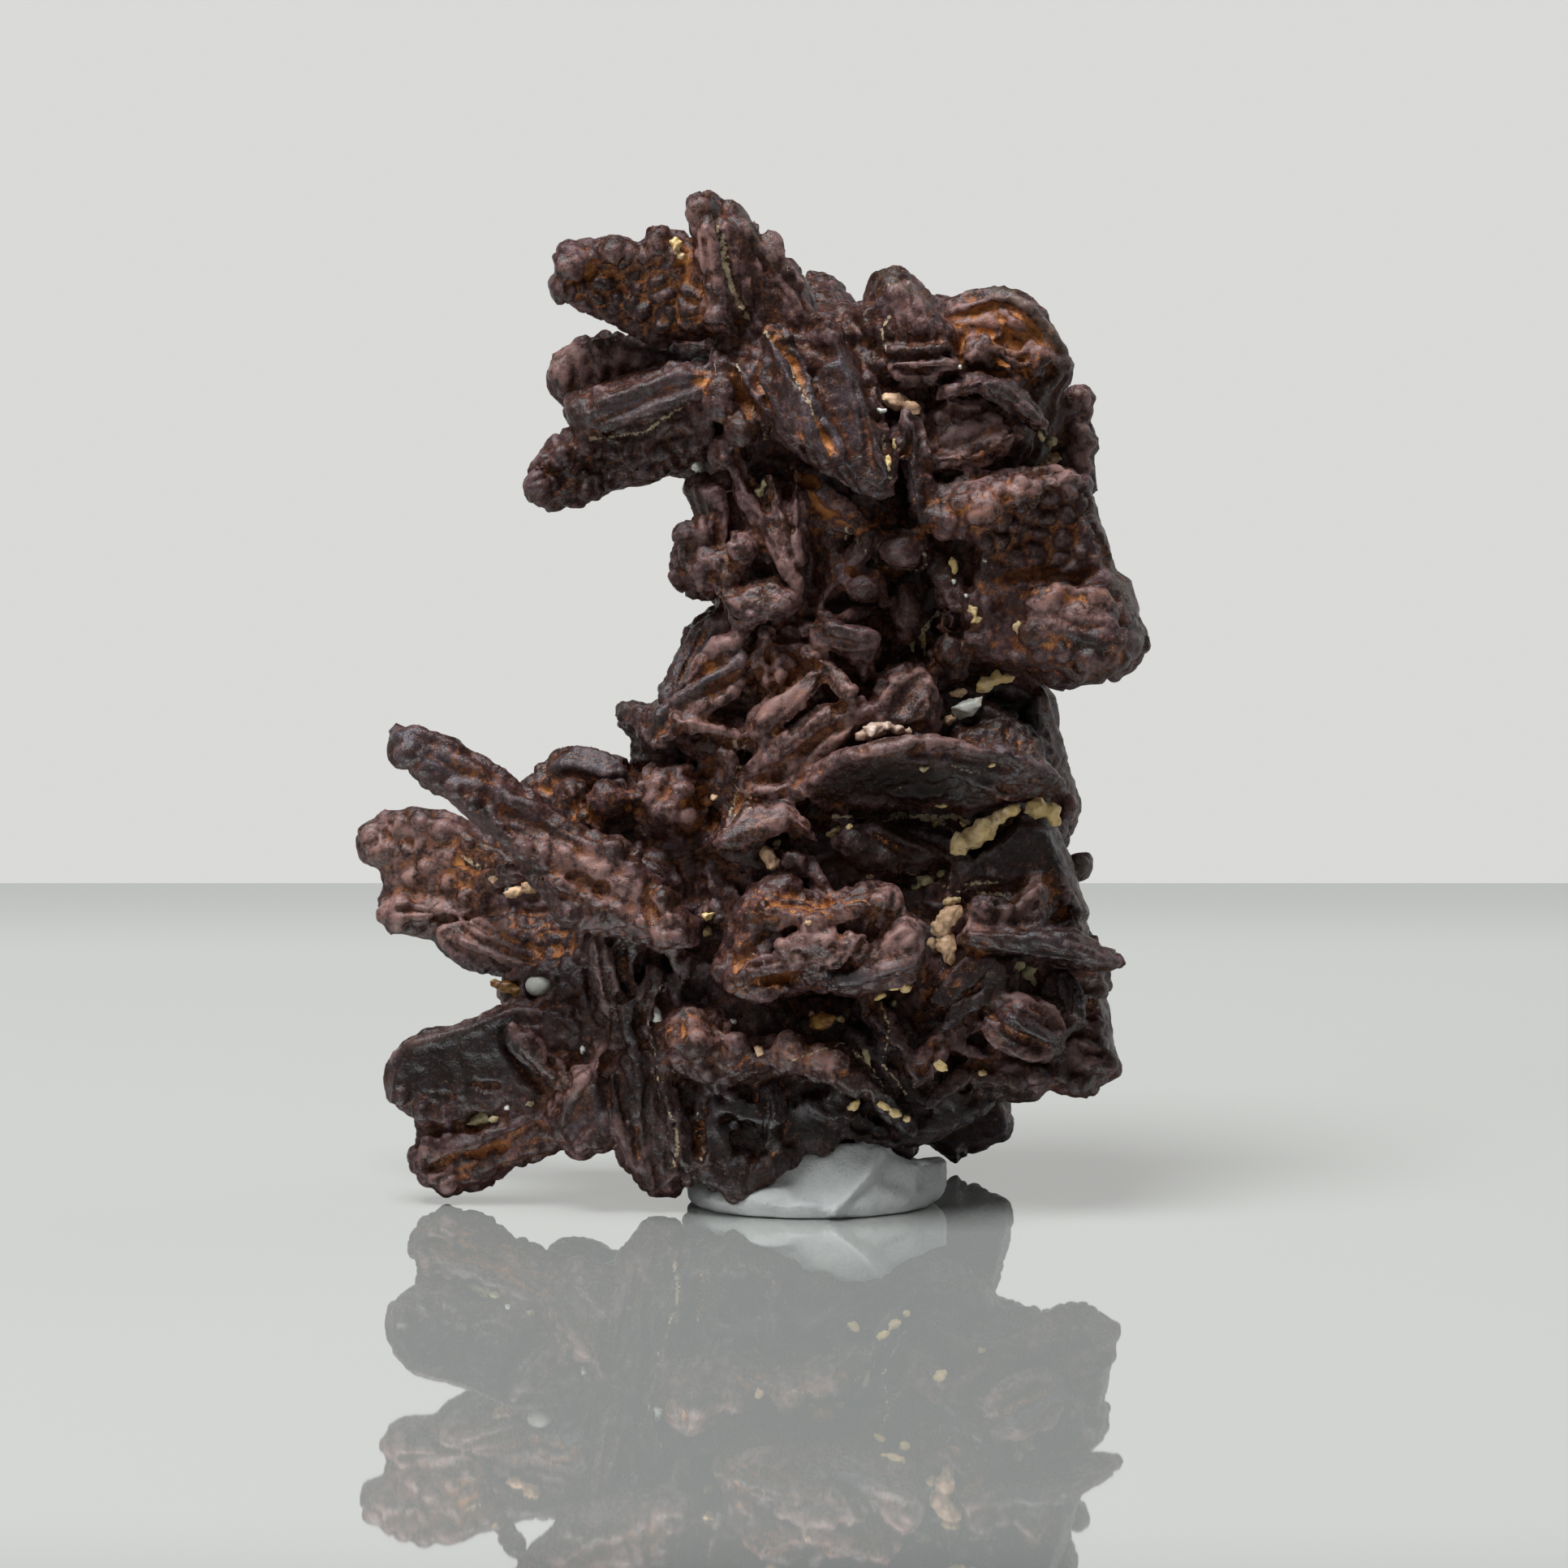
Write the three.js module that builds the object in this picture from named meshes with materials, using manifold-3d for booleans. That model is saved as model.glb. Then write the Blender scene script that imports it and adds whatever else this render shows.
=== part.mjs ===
// Goethite pseudomorph after marcasite: a hand-sized cluster of flat, iron-brown blades that
// grew through one another, standing on a pressed lump of display putty. Pale sand grains and
// crumbs of the parent rock are lodged between the blades.
//
// Units are millimetres, +Z is up, the origin is at the middle of the base.
// Every form is placed by (across, up, out): across is X, up is Z, and out is the way the
// crystals grow from the heart of the cluster, forward (-Y) and a little upward.

import * as THREE from "three";
import { mergeVertices } from "three/addons/utils/BufferGeometryUtils.js";
import Module from "manifold-3d";

const wasm = await Module();
wasm.setup();

// ---------- driving dimensions ----------

const outRise = THREE.MathUtils.degToRad(8); // how far "out" rises above level
const gap = 0.3; // free space round a piece that is lodged in another
const floorClearance = 0.05; // the tips that reach the base stop this far above it
const shortestEdge = 0.5; // edges shorter than this are drawn together once the forms are joined
const puttyReach = 6; // only this much of the cluster's height can meet the putty
const slabWidth = 200; // wider than the whole cluster

// The (across, up, out) frame as a matrix, and the level frame.
const growth = new THREE.Matrix4().makeBasis(
  new THREE.Vector3(1, 0, 0),
  new THREE.Vector3(0, 0, 1 / Math.cos(outRise)),
  new THREE.Vector3(0, -1, Math.tan(outRise)),
);
const upright = new THREE.Matrix4();

// ---------- solids ----------

// A closed shape, given by its points and its faces' corners, as a solid.
function solidOf(points, faces, frame) {
  const placed = points.map((point) => point.clone().applyMatrix4(frame));
  return new wasm.Manifold(
    new wasm.Mesh({
      numProp: 3,
      vertProperties: new Float32Array(placed.flatMap((point) => point.toArray())),
      triVerts: new Uint32Array(faces),
    }),
  );
}

// A solid as a geometry.
function geometryOf(solid) {
  const mesh = solid.getMesh();
  const geometry = new THREE.BufferGeometry();
  geometry.setAttribute("position", new THREE.BufferAttribute(new Float32Array(mesh.vertProperties), 3));
  geometry.setIndex(new THREE.BufferAttribute(new Uint32Array(mesh.triVerts), 1));
  geometry.computeVertexNormals();
  return geometry;
}

// A solid whose shortest edges are drawn together, without turning any face over.
function withoutShortEdges(solid, shortest) {
  const mesh = solid.getMesh();
  const points = [];
  for (let i = 0; i < mesh.vertProperties.length; i += 3) {
    points.push(new THREE.Vector3().fromArray(mesh.vertProperties, i));
  }
  let faces = [];
  for (let i = 0; i < mesh.triVerts.length; i += 3) faces.push([...mesh.triVerts.slice(i, i + 3)]);

  const facesAt = points.map(() => new Set());
  for (const face of faces) face.forEach((corner) => facesAt[corner].add(face));
  const neighbours = (corner) => new Set([...facesAt[corner]].flat());
  const normalOf = (face, moved, place) => {
    const [a, b, c] = face.map((corner) => (moved.includes(corner) ? place : points[corner]));
    return b.clone().sub(a).cross(c.clone().sub(a)).normalize();
  };

  // How well the faces round an edge keep their direction when it shrinks to a place, 1 at best.
  const keptDirection = (kept, dropped, place) => {
    let worst = 1;
    for (const corner of [kept, dropped]) {
      for (const face of facesAt[corner]) {
        if (face.includes(kept) && face.includes(dropped)) continue;
        worst = Math.min(worst, normalOf(face, [], place).dot(normalOf(face, [kept, dropped], place)));
      }
    }
    return worst;
  };

  const shrink = (kept, dropped) => {
    const shared = [...neighbours(kept)].filter((corner) => neighbours(dropped).has(corner));
    if (shared.length !== 4) return false;
    const places = [points[kept], points[dropped], points[kept].clone().lerp(points[dropped], 0.5)];
    const scores = places.map((place) => keptDirection(kept, dropped, place));
    const best = Math.max(...scores);
    if (best < 0.5) return false;
    points[kept] = places[scores.indexOf(best)].clone();
    for (const face of [...facesAt[dropped]]) {
      if (face.includes(kept)) {
        face.forEach((corner) => facesAt[corner].delete(face));
        face.length = 0;
      } else {
        face[face.indexOf(dropped)] = kept;
        facesAt[kept].add(face);
      }
    }
    facesAt[dropped].clear();
    return true;
  };

  for (let changed = true; changed; ) {
    const edges = faces.flatMap(([a, b, c]) => [[a, b], [b, c], [c, a]]).filter(([a, b]) => a < b);
    const length = ([a, b]) => points[a].distanceTo(points[b]);
    const short = edges.filter((edge) => length(edge) < shortest).sort((p, q) => length(p) - length(q));
    changed = false;
    for (const [a, b] of short) {
      const stillAnEdge = [...facesAt[a]].some((face) => face.includes(b));
      if (stillAnEdge && length([a, b]) < shortest && shrink(a, b)) changed = true;
    }
    faces = faces.filter((face) => face.length > 0);
  }
  return solidOf(points, faces.flat(), upright);
}

// The faces that join rings of count corners, each ring to the next.
function wallBetween(rings, count) {
  const faces = [];
  for (let ring = 0; ring + 1 < rings; ring++) {
    for (let i = 0; i < count; i++) {
      const a = ring * count + i;
      const b = ring * count + ((i + 1) % count);
      faces.push(a, b, a + count, b, b + count, a + count);
    }
  }
  return faces;
}

// The faces that close the first and the last ring, each convex.
function convexEnds(rings, count) {
  const last = (rings - 1) * count;
  const faces = [];
  for (let i = 1; i + 1 < count; i++) {
    faces.push(0, i + 1, i);
    faces.push(last, last + i, last + i + 1);
  }
  return faces;
}

// An outline moved inwards by a bevel, corner by corner.
function inset(contour, bevel) {
  return contour.map((corner, i) => {
    const before = contour[(i + contour.length - 1) % contour.length];
    const after = contour[(i + 1) % contour.length];
    const arriving = corner.clone().sub(before).normalize();
    const leaving = after.clone().sub(corner).normalize();
    const inward = new THREE.Vector2(-arriving.y - leaving.y, arriving.x + leaving.x).normalize();
    const spread = Math.max(inward.dot(new THREE.Vector2(-leaving.y, leaving.x)), 0.6);
    return corner.clone().addScaledVector(inward, bevel / spread);
  });
}

// A plate whose broad face is turned outwards and whose rim is bevelled to an edge. outline is
// [across, up] points, anticlockwise; out is the middle of its thickness; lean is how much out
// changes per mm across and up.
function plate({ outline, out, thick, bevel = 0.7, lean = [0, 0] }) {
  const contour = outline.map(([across, up]) => new THREE.Vector2(across, up));
  const middle = new THREE.Box2().setFromPoints(contour).getCenter(new THREE.Vector2());
  const ring = (corners, offset) => corners.map((corner) => {
    const tilt = lean[0] * (corner.x - middle.x) + lean[1] * (corner.y - middle.y);
    return new THREE.Vector3(corner.x, corner.y, out + offset + tilt);
  });
  const face = inset(contour, bevel);
  const points = [...ring(face, -thick / 2), ...ring(contour, 0), ...ring(face, thick / 2)];
  const count = contour.length;
  const faces = wallBetween(3, count);
  for (const [a, b, c] of THREE.ShapeUtils.triangulateShape(contour, [])) {
    faces.push(a, c, b, 2 * count + a, 2 * count + b, 2 * count + c);
  }
  return solidOf(points, faces, growth);
}

// Half-widths of a blade along its length, as [share of the length, share of the half-width].
const forms = {
  spear: [[0, 0.75], [0.4, 1], [0.75, 0.8], [0.93, 0.4], [1, 0.1]],
  paddle: [[0, 0.65], [0.5, 1], [0.82, 0.95], [0.96, 0.6], [1, 0.3]],
  chisel: [[0, 0.8], [0.6, 1], [0.93, 0.9], [1, 0.65]],
};

// A blade from root to tip, each [across, up, out]. roll 0 turns its broad face outwards,
// roll 90 turns its edge outwards. A blade nearly as thick as it is wide is a rib with a sharp
// ridge, and a thinner one has two flat faces.
function blade({ root, tip, wide, thick, roll = 0, form = "spear" }) {
  const from = new THREE.Vector3(...root);
  const along = new THREE.Vector3(...tip).sub(from);
  const length = along.length();
  along.normalize();
  const facing = new THREE.Vector3(0, 0, 1).addScaledVector(along, -along.z);
  if (facing.length() < 0.2) facing.set(0, 1, 0).addScaledVector(along, -along.y);
  facing.normalize().applyAxisAngle(along, THREE.MathUtils.degToRad(roll));
  const side = new THREE.Vector3().crossVectors(facing, along);
  const edge = Math.min(0.45 * thick, 0.2 * wide);
  const isRib = thick > 0.7 * wide;
  const points = [];
  for (const [share, widthShare] of forms[form]) {
    const halfWidth = Math.max((wide / 2) * widthShare, 0.15);
    const halfThick = (thick / 2) * (0.45 + 0.55 * widthShare);
    const flat = Math.max(halfWidth - edge, 0.3 * halfWidth);
    const sharp = [[halfWidth, 0], [0, halfThick], [-halfWidth, 0], [0, -halfThick]];
    const flattened = [
      [halfWidth, 0], [flat, halfThick], [-flat, halfThick],
      [-halfWidth, 0], [-flat, -halfThick], [flat, -halfThick],
    ];
    const ring = isRib ? sharp : flattened;
    for (const [sideways, outwards] of ring) {
      points.push(
        from.clone()
          .addScaledVector(along, share * length)
          .addScaledVector(side, sideways)
          .addScaledVector(facing, outwards),
      );
    }
  }
  const rings = forms[form].length;
  const count = points.length / rings;
  return solidOf(points, [...wallBetween(rings, count), ...convexEnds(rings, count)], growth);
}

// A round lump at the origin: radii, and how finely it is faceted.
function lump(radii, detail) {
  const geometry = new THREE.IcosahedronGeometry(1, detail);
  geometry.deleteAttribute("normal");
  geometry.deleteAttribute("uv");
  return mergeVertices(geometry.scale(...radii));
}

// A welded geometry as a solid.
function solidOfGeometry(geometry, frame = growth) {
  const position = geometry.getAttribute("position");
  const pointAt = (_, i) => new THREE.Vector3().fromBufferAttribute(position, i);
  const points = Array.from({ length: position.count }, pointAt);
  return solidOf(points, geometry.index.array, frame);
}

// A round lump: centre [across, up, out] and radius, or three radii.
function knob(centre, radius, detail = 0) {
  const radii = Array.isArray(radius) ? radius : [radius, radius, radius];
  return solidOfGeometry(lump(radii, detail).translate(...centre));
}

// ---------- the heart of the cluster ----------

// The mass that every blade is rooted in: centre, radii.
const heart = [
  [[1.2, 49.4, -1.2], [8, 5.6, 5.6]],
  [[9.6, 48.6, -2], [6, 6, 4.6]],
  [[9, 37.8, -1.4], [8, 7, 4.4]],
  [[0, 40.4, -1.2], [7.4, 7, 5.6]],
  [[-1, 30, -1], [8.4, 8.6, 5.8]],
  [[8, 27, -2], [7.8, 8, 5.6]],
  [[-3, 18.8, -0.4], [11.4, 8.4, 6.4]],
  [[8.4, 15, -0.6], [9.4, 9.4, 6.4]],
  [[-7.4, 9.6, 0.4], [9, 7, 6.4]],
  [[2.4, 8.4, 0], [10.4, 5.8, 6.2]],
  [[-9.8, 18.2, 3], [4, 3.8, 3.4]],
  [[-13.6, 12.6, 0], [5.9, 2.8, 3.6]],
];

// ---------- plates on the front, in groups ----------

const upperFan = [
  // top paddle
  { out: 1, thick: 3.6, bevel: 0.9, lean: [0.12, 0],
    outline: [[-6, 52.5], [-6, 57], [-7.6, 59], [-9.2, 59.2], [-10.5, 58.4], [-11.8, 58.7],
      [-14.2, 58.5], [-15.3, 57.8], [-15.9, 56.3], [-15.6, 55], [-14, 54], [-12, 53.2], [-9.7, 52]] },
  // round leaf behind it
  { out: -2.4, thick: 3.2, bevel: 1, lean: [0.1, 0.1],
    outline: [[-4.5, 47.5], [-5, 52], [-10.5, 52.7], [-12.5, 53.2], [-14.5, 52.7], [-15.9, 51.7],
      [-16.5, 50.3], [-16.1, 49.1], [-15, 48.2], [-12.5, 47.4]] },
  // lower paddle, its end knobby
  { out: 0.4, thick: 4, bevel: 1, lean: [0.1, 0.1],
    outline: [[-5, 45.6], [-5, 49.4], [-8, 49.4], [-13, 48.4], [-14.8, 48.1], [-15, 47], [-16.4, 46.2],
      [-17.4, 45], [-17.8, 43.7], [-17.3, 42.5], [-16.2, 42], [-14, 42.3], [-12.2, 43.2], [-10, 43.6],
      [-8, 44.3]] },
  // crest, its left ridge
  { out: 3, thick: 3.4, bevel: 0.8, lean: [0.05, -0.1],
    outline: [[-4.2, 52], [-4.6, 56], [-5.4, 59.4], [-6.1, 61.3], [-6.8, 61.5], [-7.8, 61],
      [-7.8, 60.1], [-7.5, 58.4], [-7, 56], [-6.9, 53]] },
  // crest, its long striped face
  { out: 1, thick: 4, bevel: 0.8, lean: [-0.12, -0.05],
    outline: [[1.8, 50], [1.6, 54], [0.5, 54.4], [0, 55.6], [-0.5, 56.6], [-1.3, 57.4], [-2.3, 57.5],
      [-2.7, 58.3], [-3.7, 59.6], [-4, 60.2], [-4.7, 60.7], [-5.5, 60.7], [-6.3, 61.4], [-6.6, 59],
      [-6, 51]] },
];

const darkKnuckle = [
  // shoulder under the ridges
  { out: 4.2, thick: 4, bevel: 1.4, lean: [0.05, -0.12],
    outline: [[3.9, 47.2], [3.4, 50.6], [1.8, 52.6], [-2.4, 52.8], [-4.6, 51.4], [-4.8, 49.2],
      [-3.6, 47], [0.2, 44.4], [3, 42.8], [5.1, 43]] },
  // glossy facet between the ridges
  { out: 7, thick: 2.6, bevel: 0.6, lean: [0.1, -0.2],
    outline: [[1, 46.6], [0.2, 49.2], [-1.2, 50.6], [-2, 49.4], [-1.2, 47]] },
  // wedge at their foot
  { out: 6.2, thick: 3, bevel: 0.8, lean: [-0.1, -0.15],
    outline: [[5, 42.9], [4.4, 45.4], [2.4, 46.2], [0.6, 45], [2.2, 43.2], [3.8, 42.4]] },
];

const upperRight = [
  // peak with upright stripes
  { out: 1.4, thick: 4.4, bevel: 0.8, lean: [-0.05, -0.15],
    outline: [[8.8, 50], [8.9, 53], [7.5, 54.9], [6.2, 56.2], [5.2, 57], [4.4, 56.8], [3.7, 56.5],
      [3.1, 55], [2, 53.9], [4.2, 50]] },
  // three steps under the peak
  { out: 3.6, thick: 2, bevel: 0.3, lean: [0, -0.5],
    outline: [[8.6, 51.4], [8.4, 52.3], [4.2, 52], [4.4, 51.1]] },
  { out: 4.2, thick: 2, bevel: 0.3, lean: [0, -0.5],
    outline: [[8.9, 50.4], [8.8, 51.2], [4.4, 50.9], [4.6, 50]] },
  { out: 3.6, thick: 2.6, bevel: 0.3, lean: [0, -0.5],
    outline: [[8, 49.4], [7.9, 50.2], [4.8, 49.9], [5, 49.2]] },
  // lobe with a turned-up rim
  { out: -0.6, thick: 4, bevel: 0.9, lean: [0.1, 0.1],
    outline: [[14.1, 47.8], [15.9, 49.9], [16.1, 50.9], [15.4, 51.9], [14.9, 53.2], [14.2, 54.2],
      [13.3, 55], [12.5, 55.6], [11.2, 55.8], [9, 55.2], [7.4, 54.9], [7.6, 50]] },
  // lens with curved layers: upper layer, lower layer, hollow face between them
  { out: 3.6, thick: 3.2, bevel: 0.7, lean: [-0.15, 0.1],
    outline: [[14.4, 46.2], [14, 48], [12.4, 49.7], [10.2, 50.3], [8, 49.5], [7.4, 48.5], [9.6, 49],
      [11.6, 48.4], [13.2, 46.9]] },
  { out: 2, thick: 3.4, bevel: 0.8, lean: [-0.1, 0.1],
    outline: [[12.2, 45.8], [12.6, 48.6], [8.2, 49.2], [6.7, 48], [6.8, 45]] },
  { out: 3.6, thick: 2.8, bevel: 0.6, lean: [-0.1, 0.15],
    outline: [[10.2, 44.6], [13, 46.4], [12.4, 47.3], [9.8, 45.9], [7.6, 45.6], [6.8, 46.6],
      [6.6, 44.9], [7.4, 44]] },
  // narrow leaf at the right edge
  { out: -3.4, thick: 2.6, bevel: 0.8, lean: [0.1, 0],
    outline: [[16.9, 42.6], [17.6, 43.4], [17.4, 44.8], [17.7, 46.4], [17.1, 47.7], [17.5, 49.1],
      [16.9, 49.9], [16, 49.8], [14.2, 48.3], [11.5, 44]] },
];

const rightPlate = [
  // broad plate
  { out: 1.4, thick: 5, bevel: 0.9, lean: [-0.1, 0],
    outline: [[8, 33.8], [10.3, 32.3], [13.5, 31.4], [15.7, 31], [17, 31.4], [18.6, 31.6],
      [19.8, 32.2], [20.7, 33.4], [20.6, 34.4], [20, 36.2], [19.4, 37.8], [18.5, 38.6], [18.1, 40.2],
      [17.5, 41.8], [16.9, 43.8], [15.6, 44.7], [13.8, 44.6], [11.8, 44.3], [8.4, 44.1], [9.4, 39]] },
  // heavy lower corner
  { out: 3.2, thick: 4.8, bevel: 1.6, lean: [-0.08, -0.1],
    outline: [[12.6, 32.2], [15.8, 31.2], [18.6, 31.7], [20, 33.2], [19.6, 35.8], [18.8, 37.3],
      [16, 37.7], [13.6, 37.4], [12.2, 35.2]] },
  // thick upper edge
  { out: 3.6, thick: 3.6, bevel: 1.3, lean: [-0.1, 0.1],
    outline: [[7.2, 40.4], [10, 39.9], [12, 41.2], [13.2, 42.4], [16, 43], [16.3, 44.1], [14.8, 44.8],
      [12, 44.6], [9.6, 44.4], [7.2, 43.4]] },
];

const stem = [
  // left bulge
  { out: 1, thick: 5, bevel: 1.1,
    outline: [[-4, 36.5], [-4, 44.5], [-7.4, 44.3], [-7.9, 43.3], [-7.1, 41.8], [-7.4, 41.1],
      [-8.6, 40.3], [-9, 38.4], [-8.4, 37.3], [-6.9, 36.4]] },
  // long dark facet
  { out: 0.2, thick: 4, bevel: 0.5, lean: [0.3, 0],
    outline: [[-4.5, 28], [-4.4, 35.8], [-6.4, 36], [-7.6, 34.9], [-8.3, 32.8], [-8.9, 31],
      [-9.4, 28.4]] },
  // spike at the left
  { out: 0.8, thick: 3, bevel: 0.6, lean: [0.2, 0],
    outline: [[-7.6, 27.4], [-8.2, 31], [-9.5, 30.5], [-11.2, 30.4], [-12, 30.1], [-11.9, 29.1],
      [-11.6, 28.4], [-11.1, 27.9], [-11, 26.8], [-10.4, 25.6], [-6, 24.4]] },
  // arrow-shaped shelf
  { out: 5.4, thick: 2.4, bevel: 0.5, lean: [0, -0.45],
    outline: [[-4, 34.9], [-1.4, 35.5], [-0.5, 36.5], [-2.2, 38], [-3.6, 37.8], [-5.7, 36.5]] },
  // sloping face above the diagonal blade
  { out: 4.2, thick: 2.4, bevel: 0.5, lean: [0.2, 0.1],
    outline: [[-8.6, 30.6], [-4, 33.3], [-4.9, 34.8], [-6.2, 34.3], [-7.5, 32.6]] },
  // wedge that points up and right
  { out: 5, thick: 2.8, bevel: 0.7, lean: [0.05, -0.25],
    outline: [[-3.6, 28.1], [-1.9, 29], [0.3, 31.2], [1, 32.5], [-0.6, 32.7], [-2.7, 31.2],
      [-4.1, 29.4]] },
  // leaf that bends down beside it
  { out: 5, thick: 2.4, bevel: 0.6, lean: [0.1, -0.1],
    outline: [[2.2, 29.9], [2.9, 30.4], [2.5, 31.8], [1.2, 33], [-0.6, 34], [-1.4, 33.4], [0.4, 32.4],
      [1.2, 31]] },
  // triangular face above the block
  { out: 4.4, thick: 2.2, bevel: 0.4, lean: [0.1, 0.2],
    outline: [[3.2, 31.2], [4.5, 33.3], [4.2, 34], [0.8, 34], [1.8, 32.6]] },
  // triangular shelf low on the stem
  { out: 6.6, thick: 2.8, bevel: 0.5, lean: [0, -0.55],
    outline: [[-6.2, 21.5], [-3.6, 21.9], [-1.2, 22.6], [0.4, 21.9], [-0.2, 23.2], [-1.4, 24.2],
      [-4.2, 24.5]] },
  // narrow ledge above the shelf
  { out: 6, thick: 2.2, bevel: 0.4, lean: [0.1, -0.4],
    outline: [[-4.2, 24.6], [-2.4, 24.4], [-0.2, 25.2], [-1.4, 25.8], [-3.6, 25.5]] },
  // knobbly mass at the left
  { out: 4.2, thick: 4.2, bevel: 1.4, lean: [0.1, 0],
    outline: [[-10, 22.2], [-8, 22], [-6.6, 23.6], [-6.7, 25.8], [-8, 26.9], [-9.8, 27], [-11, 25.4],
      [-11, 23.6]] },
];

const rightSide = [
  // broad blade that juts out under the waist, upper edge foremost
  { out: 5.8, thick: 2.8, bevel: 0.6, lean: [-0.12, 0.9],
    outline: [[0.2, 24], [4, 23.5], [7.5, 23.8], [10, 23.4], [13, 24.2], [15.3, 24.9], [15.5, 25.7],
      [13.8, 26.9], [12, 27.8], [10, 28], [8, 28.5], [6, 28.6], [3, 27.9], [1, 27], [-1.1, 25.6]] },
  // block on top of it
  { out: 4.2, thick: 4.2, bevel: 0.8, lean: [-0.25, -0.1],
    outline: [[3.2, 27.5], [8.1, 27.5], [8, 30], [7.5, 32.2], [6.9, 32.8], [5.5, 32.9], [4.3, 32.4],
      [3, 30]] },
  // reddish slope behind the blade
  { out: 3.4, thick: 2.6, bevel: 0.5, lean: [-0.1, -0.5],
    outline: [[8, 26.5], [14.4, 25.5], [14, 28.4], [11.8, 29.6], [8.4, 28.8]] },
  // column at the back right
  { out: -3.4, thick: 5.4, bevel: 0.8, lean: [-0.1, 0],
    outline: [[10, 21], [15.6, 21.4], [16.3, 22.8], [16.7, 24.1], [16.3, 25.4], [15.8, 26.6],
      [15.4, 28.4], [15, 30.2], [14.5, 31.6], [9, 32.5]] },
  // dark arrow-shaped plate
  { out: 5.2, thick: 3, bevel: 0.6, lean: [-0.1, 0.2],
    outline: [[1.5, 20.8], [3.2, 19.8], [7, 20.2], [8.9, 21], [5.6, 22.6], [3.8, 23.2], [1.8, 22.8],
      [1.1, 21.8]] },
  // dark block
  { out: 2.2, thick: 5.4, bevel: 0.8, lean: [-0.3, 0.1],
    outline: [[8, 15], [17.3, 15], [17.1, 17.6], [16.4, 19.4], [15.8, 21], [15, 22.8], [14.2, 23.4],
      [12.4, 23.5], [10.4, 21.8], [8.6, 20.8], [7, 18]] },
  // pointed blade that juts out at the right
  { out: 6.4, thick: 3.2, bevel: 0.6, lean: [-0.06, 0.35],
    outline: [[8.6, 15.6], [12, 15.1], [16, 14.1], [18.2, 13.9], [19.1, 14.4], [18.4, 15.3],
      [17.4, 15.8], [15.8, 16.8], [13.2, 16.7], [9.2, 17]] },
  // its purple lens and upright fin
  { out: 5.8, thick: 3, bevel: 0.6, lean: [-0.15, 0.2],
    outline: [[12.4, 16.4], [12.4, 18.2], [11, 18.8], [9.4, 18.4], [8.8, 17], [10, 16.2]] },
  { out: 5, thick: 3, bevel: 0.4, lean: [-0.2, 0],
    outline: [[12.6, 16.2], [14.3, 16.2], [14.5, 19], [14, 20], [13, 19.2], [11.8, 18.2]] },
  // stepped blocks at the far right
  { out: 0.6, thick: 6, bevel: 0.8, lean: [-0.1, 0],
    outline: [[14, 9], [18.8, 9.5], [18.4, 10.6], [18.4, 14], [17.2, 16.2], [14, 16]] },
  { out: 1.6, thick: 6, bevel: 0.9, lean: [-0.1, 0],
    outline: [[13.6, 6.8], [15.6, 6.2], [17, 6.1], [18.2, 7.1], [19.1, 7.7], [18.7, 9.8], [16.6, 10.8],
      [13.6, 10]] },
  // layered lens: its outer layer and the layer inside
  { out: 6.6, thick: 3, bevel: 0.9, lean: [-0.15, 0.1],
    outline: [[10.6, 9.8], [12, 8.7], [14.4, 8.3], [15.3, 8.7], [16.2, 9.9], [15.9, 10.9], [14.2, 12],
      [12.7, 12.6], [11.2, 12.2], [10.2, 11.2]] },
  { out: 7.8, thick: 2.2, bevel: 0.5, lean: [-0.2, 0.1],
    outline: [[11.4, 11], [12.6, 10], [14.4, 9.3], [15.4, 9.7], [14.2, 10.9], [12.8, 11.6], [11.8, 12]] },
  // brown slab behind the layered lens
  { out: 5.2, thick: 4, bevel: 0.8, lean: [-0.1, 0.15],
    outline: [[8.4, 10.8], [12.4, 11.2], [12.6, 14.6], [11.4, 15.6], [9, 15.6], [7, 13.6], [6.2, 11.8]] },
  // low block
  { out: 3, thick: 5, bevel: 1.1, lean: [-0.1, 0],
    outline: [[9.5, 5.9], [13.6, 5.9], [14.9, 6.6], [15, 9], [11.5, 9.6], [8.5, 7.5]] },
];

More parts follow.
